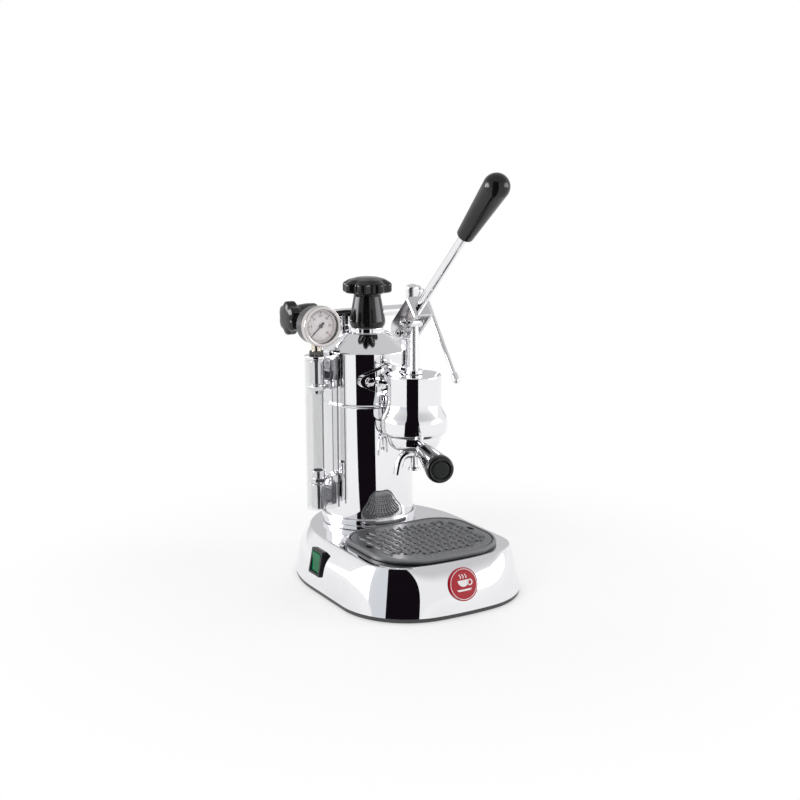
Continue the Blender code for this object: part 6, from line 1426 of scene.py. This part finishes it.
def double_spout():
    plate_bottom = SPOUT_TOP - SPOUT_PLATE_HEIGHT
    low = plate_bottom - SPOUT_STEM_LENGTH
    flare, waist = [low + share * SPOUT_STEM_LENGTH for share in SPOUT_STEM_SHARES]
    stem = turned([
        (0, low), (SPOUT_FLARE_RADIUS, low), (SPOUT_FLARE_RADIUS, flare),
        (SPOUT_WAIST_SHARE * SPOUT_STEM_RADIUS, waist), (SPOUT_STEM_RADIUS, plate_bottom),
        (SPOUT_PLATE_RADIUS, plate_bottom), (SPOUT_PLATE_RADIUS, SPOUT_TOP), (0, SPOUT_TOP),
    ], SMOOTH, edge=MOULDED_EDGE)
    arms = []
    for reach in (-SPOUT_REACH, SPOUT_REACH):
        path = [(reach * out, 0, SPOUT_TOP - SPOUT_DROP * down) for out, down in SPOUT_PATH_SHARES]
        arm = tube(smooth_path(path), SPOUT_RADIUS)
        bore = cylinder(SPOUT_BORE, SPOUT_TIP - OVERRUN, SPOUT_TIP + SPOUT_BORE, FINE, edge=0)
        arms.append(combined(arm, "DIFFERENCE", moved(bore, at(reach, 0, 0))))
    return joined(stem, *arms)


def dress_grip():
    end = SHANK_END + GRIP_LENGTH
    outer = [(GRIP_RADIUS * wide, SHANK_END + GRIP_LENGTH * high) for wide, high in GRIP_SHARES]
    bore = STUD_RADIUS + GAP
    bore_end = SHANK_END + STUD_LENGTH + GAP
    grip = turned([
        (0, bore_end), (bore, bore_end), (bore, SHANK_END), *outer, (GRIP_RADIUS * GRIP_FACE_SHARE, end),
        (END_CAP_RADIUS + GAP, end), (END_CAP_RADIUS + GAP, end - END_CAP_SINK), (0, end - END_CAP_SINK),
    ], SMOOTH, edge=BROAD_EDGE)
    piece(grip, "portafilter_swelling_grip", GRIP_PLACE, "portafilter", BAKELITE, "portafilter_handle")
    seat = end - END_CAP_SINK + GAP
    face = [(wide * END_CAP_RADIUS, end + up * END_CAP_SINK) for wide, up in DISC_SHARES]
    disc = turned([(0, seat), (END_CAP_RADIUS, seat), *face], FINE, edge=SLIGHT_EDGE)
    piece(disc, "portafilter_end_disc", GRIP_PLACE, "portafilter", SWITCH_BLACK, "handle_end_cap")


def dress_basket():
    sheet = BASKET_SHEET
    top = BOWL_RADIUS - BOWL_WALL - BASKET_PLAY
    low = top - BASKET_TAPER
    rim = BASKET_TOP - sheet
    floor = BASKET_TOP - BASKET_DEPTH
    outside, inside = BASKET_FLOOR_SHARES
    basket = turned([
        (0, floor), (outside * low, floor), (low, floor + sheet), (top, rim), (BOWL_RADIUS - GAP, rim),
        (BOWL_RADIUS - GAP, BASKET_TOP), (top - sheet, BASKET_TOP), (low - sheet, floor + 2 * sheet),
        (inside * low, floor + sheet), (0, floor + sheet),
    ], edge=SMALL_EDGE)
    piece(basket, "portafilter_basket", HOLDER, "portafilter", STEEL, "filter_basket")


def dress_portafilter():
    piece(portafilter_bowl(), "portafilter_chromed_bowl", HOLDER, "portafilter", CHROME, "portafilter_bowl")
    dress_grip()
    piece(double_spout(), "portafilter_double_spout", HOLDER, "portafilter", CHROME, "spout")
    dress_basket()


# Sight glass
SIGHT_LINK_END = 0.0240
SIGHT_LINK_NUT_END = 0.0222
SIGHT_LINK_NUT_SHARE = 1.35
SIGHT_NUT_PLAY = 0.0004
SHIELD_STEPS = 48
SHIELD_EDGE_PROUD = 0.0001
PLATE_WASHER_SINK = 0.0005
PLATE_WASHER_RISE = 0.0018
PLATE_WASHER_SHARE = 1.1
PLATE_WASHER_TURN = 0.3
PLATE_DOME_SHARES = ((0.85, 0.7), (0.6, 0.2))


def sight_fitting(low, high, link_height, post, name, node):
    half = SIGHT_ARM_HALF
    body = cylinder(SIGHT_BODY_RADIUS, low, high, FINE, FULL_EDGE)
    arm = bevelled(box((0, -half, low + SIGHT_ARM_RISE), (SIGHT_ARM_REACH, half, high - GAP)))
    foot = bevelled(box((SIGHT_POST_START, -half, post[0]), (SIGHT_ARM_REACH, half, post[1])))
    across = at(0, 0, link_height) @ TO_X
    link = moved(cylinder(SIGHT_LINK_RADIUS, SIGHT_POST_START, SIGHT_LINK_END, FINE, THIN_EDGE), across)
    radius = SIGHT_LINK_NUT_SHARE * SIGHT_LINK_RADIUS
    nut = moved(cylinder(radius, SIGHT_ARM_REACH, SIGHT_LINK_NUT_END, HEXAGON, SMALL_EDGE), across)
    piece(joined(body, arm, foot, link, nut), name, SIGHT, "machine", CHROME, node)


def sight_nut(low, high, hexagon, name, node):
    half = SIGHT_NUT_HEIGHT / 2
    inner = SIGHT_TUBE_RADIUS + GAP
    collar = ring(inner, SIGHT_COLLAR_RADIUS, low, high, FINE, FULL_EDGE)
    low, high = hexagon - half, hexagon + half
    flats = ring(inner + SIGHT_NUT_PLAY, SIGHT_NUT_RADIUS, low, high, HEXAGON, LIGHT_EDGE)
    piece(joined(collar, moved(flats, spin_z(pi / HEXAGON))), name, SIGHT, "machine", CHROME, node)


def shield_plan(outset, reach=SHIELD_REACH):
    radius = SHIELD_RADIUS + outset
    return [(reach, radius), *arc(0, 0, radius, pi / 2, 3 * pi / 2, SHIELD_STEPS), (reach, -radius)]


def dress_shield():
    low, high = SIGHT_LOWER_BOTTOM - SHIELD_HANG, PLATE_BOTTOM - GAP
    shield = extruded(shield_plan(0) + shield_plan(-SHIELD_WALL)[::-1], low, high)
    piece(bevelled(shield, SMALL_EDGE, 2), "sight_clear_shield", SIGHT, "machine", CLEAR, "sight_shield")
    # Thin strips of painted shade along the shield's two free edges, standing a hair proud of them
    half = SHIELD_WALL / 2
    edges = [
        box((SHIELD_REACH - half, side - half - SHIELD_EDGE_PROUD, low),
            (SHIELD_REACH + SHIELD_EDGE_PROUD, side + half + SHIELD_EDGE_PROUD, high))
        for side in (half - SHIELD_RADIUS, SHIELD_RADIUS - half)
    ]
    piece(joined(*edges), "sight_shield_painted_edge_shade", SIGHT, "machine", CLEAR_EDGE_PAINTED_SHADE, slot="clear_plastic")


def dress_sight():
    upper, lower, link = SIGHT_BODY_BOTTOM, SIGHT_LOWER_TOP, SIGHT_LINK_DROP
    post = (upper - SIGHT_POST_DROP, SIGHT_TOP - GAP)
    sight_fitting(upper, SIGHT_TOP, upper - link, post, "sight_upper_cock", "sight_upper_fitting")
    post = (SIGHT_LOWER_BOTTOM + SIGHT_POST_DROP, lower + SIGHT_POST_DROP)
    sight_fitting(SIGHT_LOWER_BOTTOM, lower, lower + link, post, "sight_lower_cock", "sight_lower_fitting")
    low, high = lower + GAP, upper - GAP
    glass = ring(SIGHT_TUBE_RADIUS - SIGHT_TUBE_WALL, SIGHT_TUBE_RADIUS, low, high, TUBE_FACETS, THIN_EDGE)
    piece(glass, "sight_glass_tube", SIGHT, "machine", TUBE_CLEAR, "sight_tube")
    sight_nut(high - SIGHT_NUT_LENGTH, high, high - SIGHT_NUT_HEIGHT, "sight_upper_gland", "sight_nut_upper")
    top = low + SIGHT_LOWER_NUT_LENGTH
    sight_nut(low, top, low + SIGHT_NUT_HEIGHT, "sight_lower_gland", "sight_nut_lower")
    dress_shield()


def dress_cover_plate():
    plug = shield_plan(-SHIELD_WALL - GAP, SHIELD_REACH - SHIELD_WALL)
    plug = extruded(plug, SIGHT_TOP + GAP, PLATE_BOTTOM + GAP)
    plate = bevelled(extruded(shield_plan(0), PLATE_BOTTOM, PLATE_TOP), EDGE)
    radius, top = PLATE_NUT_RADIUS, PLATE_TOP + PLATE_NUT_HEIGHT
    low, high = PLATE_TOP - PLATE_WASHER_SINK, PLATE_TOP + PLATE_WASHER_RISE
    washer = cylinder(PLATE_WASHER_SHARE * radius, low, high, HEXAGON, THIN_EDGE)
    washer = moved(washer, spin_z(PLATE_WASHER_TURN))
    crown = [(wide * radius, top - down * radius) for wide, down in PLATE_DOME_SHARES]
    dome = turned([(0, PLATE_TOP), (crown[0][0], PLATE_TOP), *crown, (0, top)], FINE)
    nut_spot = at(PLATE_NUT_X, PLATE_NUT_Y, 0)
    plate = joined(plug, plate, moved(washer, nut_spot), moved(dome, nut_spot))
    piece(plate, "sight_cover_plate", SIGHT, "machine", CHROME, "sight_top_plate")


# Gauge
DIAL_SWEEP = radians(270)
DIAL_MARKS = 30
DIAL_LONG_EVERY = 5
DIAL_RED_AFTER = 24
DIAL_EDGE = 0.0150
DIAL_SINK = 0.0002
LONG_MARK = (0.0024, 0.00030)
SHORT_MARK = (0.0013, 0.00014)
MARK_RISE = 0.00012
DIAL_LINE = (0.01505, 0.01530)
LINE_RISE = 0.0001
NUMBERS = ("0", "5", "10", "15", "20", "25", "30")
NUMBER_SIZE = 0.0034
NUMBER_DEPTH = 0.0001
NUMBER_RADIUS = 0.0104
NUMBER_RISE = 0.00005
NEEDLE_SHARES = ((0.9, 0), (1.9, -0.75), (1.2, -1))
CASE_FRONT = -GAUGE_BEZEL_LIP - GAP - GAUGE_GLASS - GAP


def dial_turn(share):
    return NEEDLE_ZERO + pi / 2 - DIAL_SWEEP * share


def number_shape(word):
    curve = bpy.data.curves.new("number", "FONT")
    curve.body = word
    curve.size = NUMBER_SIZE
    curve.align_x = "CENTER"
    curve.align_y = "CENTER"
    curve.extrude = NUMBER_DEPTH
    text = placed("number", curve)
    mesh = final_mesh(text)
    bpy.data.objects.remove(text)
    return placed("number", mesh)


def dress_dial():
    low = -GAUGE_DIAL_DEPTH
    dial = cylinder(GAUGE_DIAL_RADIUS, low - GAUGE_DIAL, low, edge=THIN_EDGE)
    piece(dial, "gauge_painted_dial", GAUGE, "machine", DIAL, "gauge_dial")
    marks, red_marks = [], []
    for step in range(DIAL_MARKS + 1):
        length, half = SHORT_MARK if step % DIAL_LONG_EVERY else LONG_MARK
        mark = box((DIAL_EDGE - length, -half, low - DIAL_SINK), (DIAL_EDGE, half, low + MARK_RISE))
        mark = moved(mark, spin_z(dial_turn(step / DIAL_MARKS)))
        (red_marks if step > DIAL_RED_AFTER else marks).append(mark)
    line = ring(*DIAL_LINE, low - DIAL_SINK, low + LINE_RISE, edge=0)
    piece(joined(line, *marks), "gauge_dial_marks", GAUGE, "machine", INK, slot="needle_paint")
    piece(joined(*red_marks), "gauge_dial_red_marks", GAUGE, "machine", RED_INK, slot="red_enamel")
    numbers = []
    for step, word in enumerate(NUMBERS):
        turn = dial_turn(step / (len(NUMBERS) - 1))
        spot = at(NUMBER_RADIUS * cos(turn), NUMBER_RADIUS * sin(turn), low + NUMBER_RISE)
        numbers.append(moved(number_shape(word), spot))
    piece(joined(*numbers), "gauge_dial_numbers", GAUGE, "machine", INK, slot="needle_paint")


def dress_gauge_case():
    radius = GAUGE_CASE_RADIUS
    inner = radius - GAUGE_WALL
    ledge = -GAUGE_DIAL_DEPTH - GAUGE_DIAL - GAP
    back = GAUGE_BACK - GAUGE_DEPTH
    case = turned([
        (0, -GAUGE_DEPTH), (radius, -GAUGE_DEPTH), (radius, CASE_FRONT), (inner, CASE_FRONT),
        (inner, ledge), (inner - GAUGE_LEDGE, ledge), (inner - GAUGE_LEDGE, back), (0, back),
    ], edge=BROAD_EDGE)
    piece(case, "gauge_round_case", GAUGE, "machine", CASE_STEEL, "gauge_case")


def dress_gauge_stem():
    fall = GAUGE_RISE + PLATE_TOP
    seat = PLATE_TOP + GAP
    waist = seat + GAUGE_NUT_HEIGHT / 2
    top = fall - GAUGE_CASE_RADIUS + GAUGE_WALL / 2
    stem = turned([
        (0, SIGHT_TOP), (GAUGE_STEM_RADIUS, SIGHT_TOP), (GAUGE_STEM_RADIUS, waist),
        (GAUGE_COLLAR_RADIUS, waist), (GAUGE_COLLAR_RADIUS, top), (0, top),
    ], FINE, edge=SOFT_EDGE)
    nut = cylinder(GAUGE_NUT_RADIUS, seat, seat + GAUGE_NUT_HEIGHT, HEXAGON, FULL_EDGE)
    down = GAUGE @ TO_REAR @ at(0, GAUGE_STEM_BACK, -fall)
    piece(stem, "gauge_brass_stem", down, "machine", WARM_STEEL, slot="brass")
    piece(nut, "gauge_dark_nut", down, "machine", DARK_NUT, slot="black_bakelite")


def dress_bezel():
    bore = GAUGE_CASE_RADIUS + GAP
    bezel = turned([
        (bore, -GAUGE_BEZEL_DEPTH), (GAUGE_RADIUS, -GAUGE_BEZEL_DEPTH), (GAUGE_RADIUS, 0),
        (GAUGE_BEZEL_BORE, 0), (GAUGE_BEZEL_BORE, -GAUGE_BEZEL_LIP), (bore, -GAUGE_BEZEL_LIP),
    ], closed=True, edge=SOFTER_EDGE)
    piece(bezel, "gauge_polished_bezel", GAUGE, "machine", BEZEL_STEEL, "gauge_bezel")


def dress_needle():
    level = GAP - GAUGE_DIAL_DEPTH
    hub = cylinder(NEEDLE_HUB, level, level + NEEDLE_HUB_HEIGHT, FINE, SMALL_EDGE)
    wide = NEEDLE_HALF_WIDTH
    side = [(share * wide, along * NEEDLE_TAIL) for share, along in NEEDLE_SHARES]
    blade = extruded([
        *[(-x, y) for x, y in side], *side[::-1], (wide / 3, NEEDLE_LENGTH), (-wide / 3, NEEDLE_LENGTH),
    ], level + NEEDLE_SHEET / 2, level + NEEDLE_SHEET * 3 / 2)
    needle = moved(joined(hub, blade), spin_z(NEEDLE_ZERO))
    piece(needle, "gauge_pointer", GAUGE, "needle", INK, "gauge_needle")


def dress_window():
    low = CASE_FRONT + GAP
    pane = cylinder(GAUGE_CASE_RADIUS - GAP, low, low + GAUGE_GLASS, edge=THIN_EDGE)
    piece(pane, "gauge_window", GAUGE, "machine", GAUGE_CLEAR, "gauge_glass")


# Steam valve and wand
DOME_STEPS = 8
NECK_LIFT = -0.0002
SPINDLE_ROOT = 0.02
WAND_STEPS = 6
BALL_SEGMENTS = 48
BALL_RINGS = 24
NOZZLE_SHARES = ((0.8, -1.0), (1.0, -0.8), (1.0, -0.15), (0.6, 0.12), (0.0, 0.16))


def steam_valve():
    line = at(0, STEAM_Y, STEAM_Z) @ TO_X
    pipe = moved(cylinder(STEAM_RADIUS, -STEAM_LEFT, STEAM_OUTLET_X, SMOOTH, SMALL_EDGE), line)
    low, high, wide = STEAM_Z - STEAM_OUTLET_DROP, STEAM_Z + STEAM_OUTLET_RISE, STEAM_OUTLET_RADIUS
    turns = [pi / 2 * step / DOME_STEPS for step in range(DOME_STEPS)]
    dome = [(wide * cos(turn), high - STEAM_OUTLET_DOME * (1 - sin(turn))) for turn in turns]
    outlet = turned([(0, low), (wide, low), *dome, (0, high)], SMOOTH, edge=SOFT_EDGE)
    outlet = moved(outlet, at(STEAM_OUTLET_X, STEAM_Y, 0))
    start, end = -STEAM_LEFT - STEAM_NUT_LENGTH, STEAM_NUT_LENGTH / 2 - STEAM_LEFT
    nut = moved(cylinder(STEAM_NUT_RADIUS, start, end, HEXAGON, SOFT_EDGE), line)
    neck = turned([
        (0, BOILER_SHOULDER), (STEAM_NECK_RADIUS, BOILER_SHOULDER), (STEAM_NECK_RADIUS, CONE_TOP),
        (STEAM_NECK_WAIST, CONE_TOP + STEAM_RISE / 4), (STEAM_NECK_WAIST, STEAM_Z), (0, STEAM_Z),
    ], SMOOTH, edge=MOULDED_EDGE)
    vessel = turned([
        (0, BOILER_BOTTOM), (BOILER_RADIUS, BOILER_BOTTOM), (BOILER_RADIUS, BOILER_SHOULDER),
        (CONE_TOP_RADIUS, CONE_TOP), (0, CONE_TOP),
    ], edge=0)
    neck = moved(neck, at(STEAM_NECK_X, STEAM_Y, 0))
    neck = combined(neck, "DIFFERENCE", moved(vessel, at(0, BOILER_Y, NECK_LIFT)))
    boss = cylinder(STEAM_BOSS_RADIUS, STEAM_OUTLET_X, STEAM_BOSS_END, FINE, LIGHT_EDGE)
    return joined(pipe, outlet, nut, neck, moved(boss, at(0, STEAM_Y, BALL_Z) @ TO_X))


def dress_valve():
    piece(steam_valve(), "steam_valve_casting", MACHINE, "machine", CHROME, "steam_valve_body")


def dress_steam_tap():
    place = MACHINE @ at(0, STEAM_Y, STEAM_Z) @ TO_LEFT
    root = STEAM_LEFT + STEAM_NUT_LENGTH - STEAM_SPINDLE_SINK - SPINDLE_ROOT
    end = STEAM_KNOB_START + STEAM_KNOB_BORE - GAP
    spindle = cylinder(STEAM_SPINDLE_RADIUS, root, end, FINE, THIN_EDGE)
    piece(spindle, "steam_tap_spindle", place, "steam_tap", STEEL, "steam_spindle")
    knob = lobed_knob(STEAM_KNOB_SHARES, STEAM_KNOB_RADIUS, STEAM_KNOB_LENGTH, STEAM_LOBE_DEPTH, STEAM_LOBES)
    knob = moved(knob, at(0, 0, STEAM_KNOB_START))
    piece(knob, "steam_fluted_knob", place, "steam_tap", BAKELITE, "steam_knob")


def dress_knuckle():
    start = STEAM_BOSS_END + GAP
    nut = ring(BALL_RADIUS + GAP, BALL_NUT_RADIUS, start, start + BALL_NUT_LENGTH, FINE)
    nut_place = MACHINE @ at(0, STEAM_Y, BALL_Z) @ TO_X
    piece(nut, "steam_knuckle_nut", nut_place, "machine", CHROME, "steam_ball_nut")


def dress_wand():
    tip = Vector((WAND_OUT + WAND_SPREAD, -WAND_FORWARD, -WAND_DROP))
    points = [
        (WAND_OUT * out, -WAND_FORWARD * ahead, -WAND_DROP * down) for out, ahead, down in WAND_BEND_SHARES
    ]
    turn = (tip - Vector(points[-1])).normalized().to_track_quat("Z", "Y").to_matrix().to_4x4()
    builder = bmesh.new()
    bmesh.ops.create_uvsphere(builder, u_segments=BALL_SEGMENTS, v_segments=BALL_RINGS, radius=BALL_RADIUS)
    outline = [(wide * WAND_TIP_RADIUS, along * WAND_TIP_LENGTH) for wide, along in NOZZLE_SHARES]
    nozzle = turned([(0, -WAND_TIP_LENGTH), *outline], FINE, edge=FULL_EDGE)
    pipe = tube(smooth_path(points, WAND_STEPS) + [tip], WAND_RADIUS)
    wand = joined(solid(builder), pipe, moved(nozzle, Matrix.Translation(tip) @ turn))
    piece(wand, "steam_wand_pipe", MACHINE @ at(BALL_X, STEAM_Y, BALL_Z), "wand", CHROME, "steam_wand")


dress_base()
dress_pan()
dress_badge()
dress_switch()
dress_rocker()
dress_gland()
dress_tray()
dress_grille()
dress_boiler()
dress_cap()
dress_group()
dress_bolts()
dress_gland_nut()
dress_piston()
dress_lever()
dress_lever_handle()
dress_portafilter()
dress_sight()
dress_cover_plate()
dress_gauge_case()
dress_gauge_stem()
dress_bezel()
dress_dial()
dress_needle()
dress_window()
dress_valve()
dress_steam_tap()
dress_knuckle()
dress_wand()


# Camera
CAMERA_TURN = radians(31.12)
CAMERA_PITCH = radians(11.32)
CAMERA_SPOT = MACHINE @ Vector((-0.6519, -1.1247, 0.4523))
PICTURE = 800
FOCAL_PIXELS = 1252.5
FILM_WIDTH = 36
CAMERA_SHIFT = (-0.02, 0.0025)
VIEW_END = 50
AHEAD = (sin(CAMERA_TURN), cos(CAMERA_TURN), 0)


def photograph_camera():
    data = bpy.data.cameras.new("camera")
    camera = placed("camera", data)
    level = cos(CAMERA_PITCH)
    look = Vector((AHEAD[0] * level, AHEAD[1] * level, -sin(CAMERA_PITCH)))
    camera.location = CAMERA_SPOT
    camera.rotation_euler = look.to_track_quat("-Z", "Y").to_euler()
    data.sensor_width = FILM_WIDTH
    data.lens = FILM_WIDTH * FOCAL_PIXELS / PICTURE
    data.shift_x, data.shift_y = CAMERA_SHIFT
    data.clip_end = VIEW_END
    bpy.context.scene.camera = camera


# Stage and light
FLOOR_HALF = 8.0
FLOOR_COLOUR = (0.93, 0.93, 0.935, 1)
NEAR_FLOOR = 0.20
FAR_FLOOR = 0.50
FLOOR_GLOW = 0.55
FLAG_NEAR = 0.17
FLAG_FAR = 1.6
FLAG_TURNS = (radians(-61.5), radians(-13.5))
FLAG_STEPS = 12
FLAG_FORWARD = 0.01
FLAG_LIFT = 0.0008
FLAG_RISE = 1.8
FLAG_COLOUR = (0.006, 0.004, 0.006, 1)
WALL_COLOUR = (0.96, 0.96, 0.965, 1)
SOFT_STRENGTH = 0.76
# Where polished metal sees another tone: its direction, where it starts and is full, and its colour
STUDIO_TONES = (
    ((-0.93, -0.37, 0), 0.72, 0.99, (0.72, 0.74, 0.775, 1)),
    (AHEAD, 0.70, 0.95, (0.60, 0.60, 0.615, 1)),
    ((0, 0, 1), 0.30, 0.70, (0.64, 0.64, 0.65, 1)),
    ((-0.86, 0.51, 0), 0.88, 0.96, (9.0, 8.8, 9.2, 1)),
    ((0.82, -0.57, 0), 0.88, 0.96, (5.0, 4.9, 5.1, 1)),
)
LAMP_AIM = Vector((0, 0, 0.15))
LAMPS = (
    ("key", (-1.5, -0.6, 1.5), (0.8, 1.2), 11), ("fill", (1.5, -0.9, 0.9), (0.5, 1.2), 7),
    ("top", (0.1, 0.5, 1.9), (1.2, 0.8), 7),
)


def stage_mesh(name, rings, material):
    builder = bmesh.new()
    loops = [[builder.verts.new(point) for point in row] for row in rings]
    for low, high in zip(loops, loops[1:]):
        for here in range(len(low) - 1):
            builder.faces.new((low[here], low[here + 1], high[here + 1], high[here]))
    made = built(builder, name)
    made.data.materials.append(material)
    return made


def empty_tree(made):
    made.use_nodes = True
    made.node_tree.nodes.clear()
    return made.node_tree


def shown_rays(tree):
    """1 for rays that show the backdrop: straight from the camera, off metal or through glass."""
    path = add_node(tree, "LightPath", {}).outputs
    shown = path["Is Camera Ray"]
    for other in ("Is Glossy Ray", "Is Transmission Ray"):
        either = add_node(tree, "Math", {0: shown, 1: path[other]})
        either.operation = "MAXIMUM"
        shown = either.outputs[0]
    return shown


def pale_floor():
    made = bpy.data.materials.new("pale_floor")
    tree = empty_tree(made)
    distance = add_node(tree, "VectorMath", {0: add_node(tree, "TexCoord", {}).outputs["Object"]})
    distance.operation = "LENGTH"
    fade = ramped(tree, distance.outputs["Value"], NEAR_FLOOR, FAR_FLOOR, FLOOR_GLOW)
    share = add_node(tree, "Math", {0: fade, 1: shown_rays(tree)})
    share.operation = "MULTIPLY"
    matt = add_node(tree, "BsdfDiffuse", {"Color": FLOOR_COLOUR})
    glow = add_node(tree, "Emission", {"Color": WHITE})
    mix = add_node(tree, "MixShader", {0: share.outputs[0], 1: matt.outputs[0], 2: glow.outputs[0]})
    add_node(tree, "OutputMaterial", {"Surface": mix.outputs[0]})
    half = FLOOR_HALF
    stage_mesh("studio_floor", [[(-half, y, 0), (half, y, 0)] for y in (-half, half)], made)


def dark_flag():
    """A dark flag around the camera that only polished surfaces see."""
    made = bpy.data.materials.new("dark_flag")
    tree = empty_tree(made)
    glow = add_node(tree, "Emission", {"Color": FLAG_COLOUR})
    add_node(tree, "OutputMaterial", {"Surface": glow.outputs[0]})
    first, last = FLAG_TURNS
    turns = [first + (last - first) * step / FLAG_STEPS for step in range(FLAG_STEPS + 1)]
    rings = [
        [MACHINE @ Vector((reach * sin(turn), -FLAG_FORWARD - reach * cos(turn), height)) for turn in turns]
        for reach, height in ((FLAG_NEAR, FLAG_LIFT), (FLAG_FAR, FLAG_LIFT), (FLAG_FAR, FLAG_RISE))
    ]
    flag = stage_mesh("studio_dark_flag", rings, made)
    flag.visible_camera = False
    flag.visible_diffuse = False
    flag.visible_shadow = False
    flag.visible_transmission = False
    flag.visible_volume_scatter = False


def white_world():
    """White around the machine, with the studio's tones where polished metal looks."""
    world = bpy.data.worlds.new("studio")
    bpy.context.scene.world = world
    tree = empty_tree(world)
    spots = add_node(tree, "TexCoord", {}).outputs["Generated"]
    studio = WALL_COLOUR
    for direction, low, high, colour in STUDIO_TONES:
        lean = add_node(tree, "VectorMath", {0: spots, 1: direction})
        lean.operation = "DOT_PRODUCT"
        studio = mixed(tree, ramped(tree, lean.outputs["Value"], low, high), studio, colour)
    glossy = add_node(tree, "LightPath", {}).outputs["Is Glossy Ray"]
    shown = add_node(tree, "Background", {"Color": mixed(tree, glossy, WHITE, studio), "Strength": 1})
    soft = add_node(tree, "Background", {"Strength": SOFT_STRENGTH})
    mix = add_node(tree, "MixShader", {0: shown_rays(tree), 1: soft.outputs[0], 2: shown.outputs[0]})
    add_node(tree, "OutputWorld", {"Surface": mix.outputs[0]})


def lamp(name, spot, size, power):
    data = bpy.data.lights.new(name, "AREA")
    data.shape = "RECTANGLE"
    data.size, data.size_y = size
    data.energy = power
    made = placed(name, data)
    made.location = spot
    made.rotation_euler = (LAMP_AIM - Vector(spot)).to_track_quat("-Z", "Y").to_euler()
    made.visible_glossy = False


photograph_camera()
pale_floor()
dark_flag()
white_world()
for settings in LAMPS:
    lamp(*settings)
bpy.context.scene.view_settings.view_transform = "Standard"
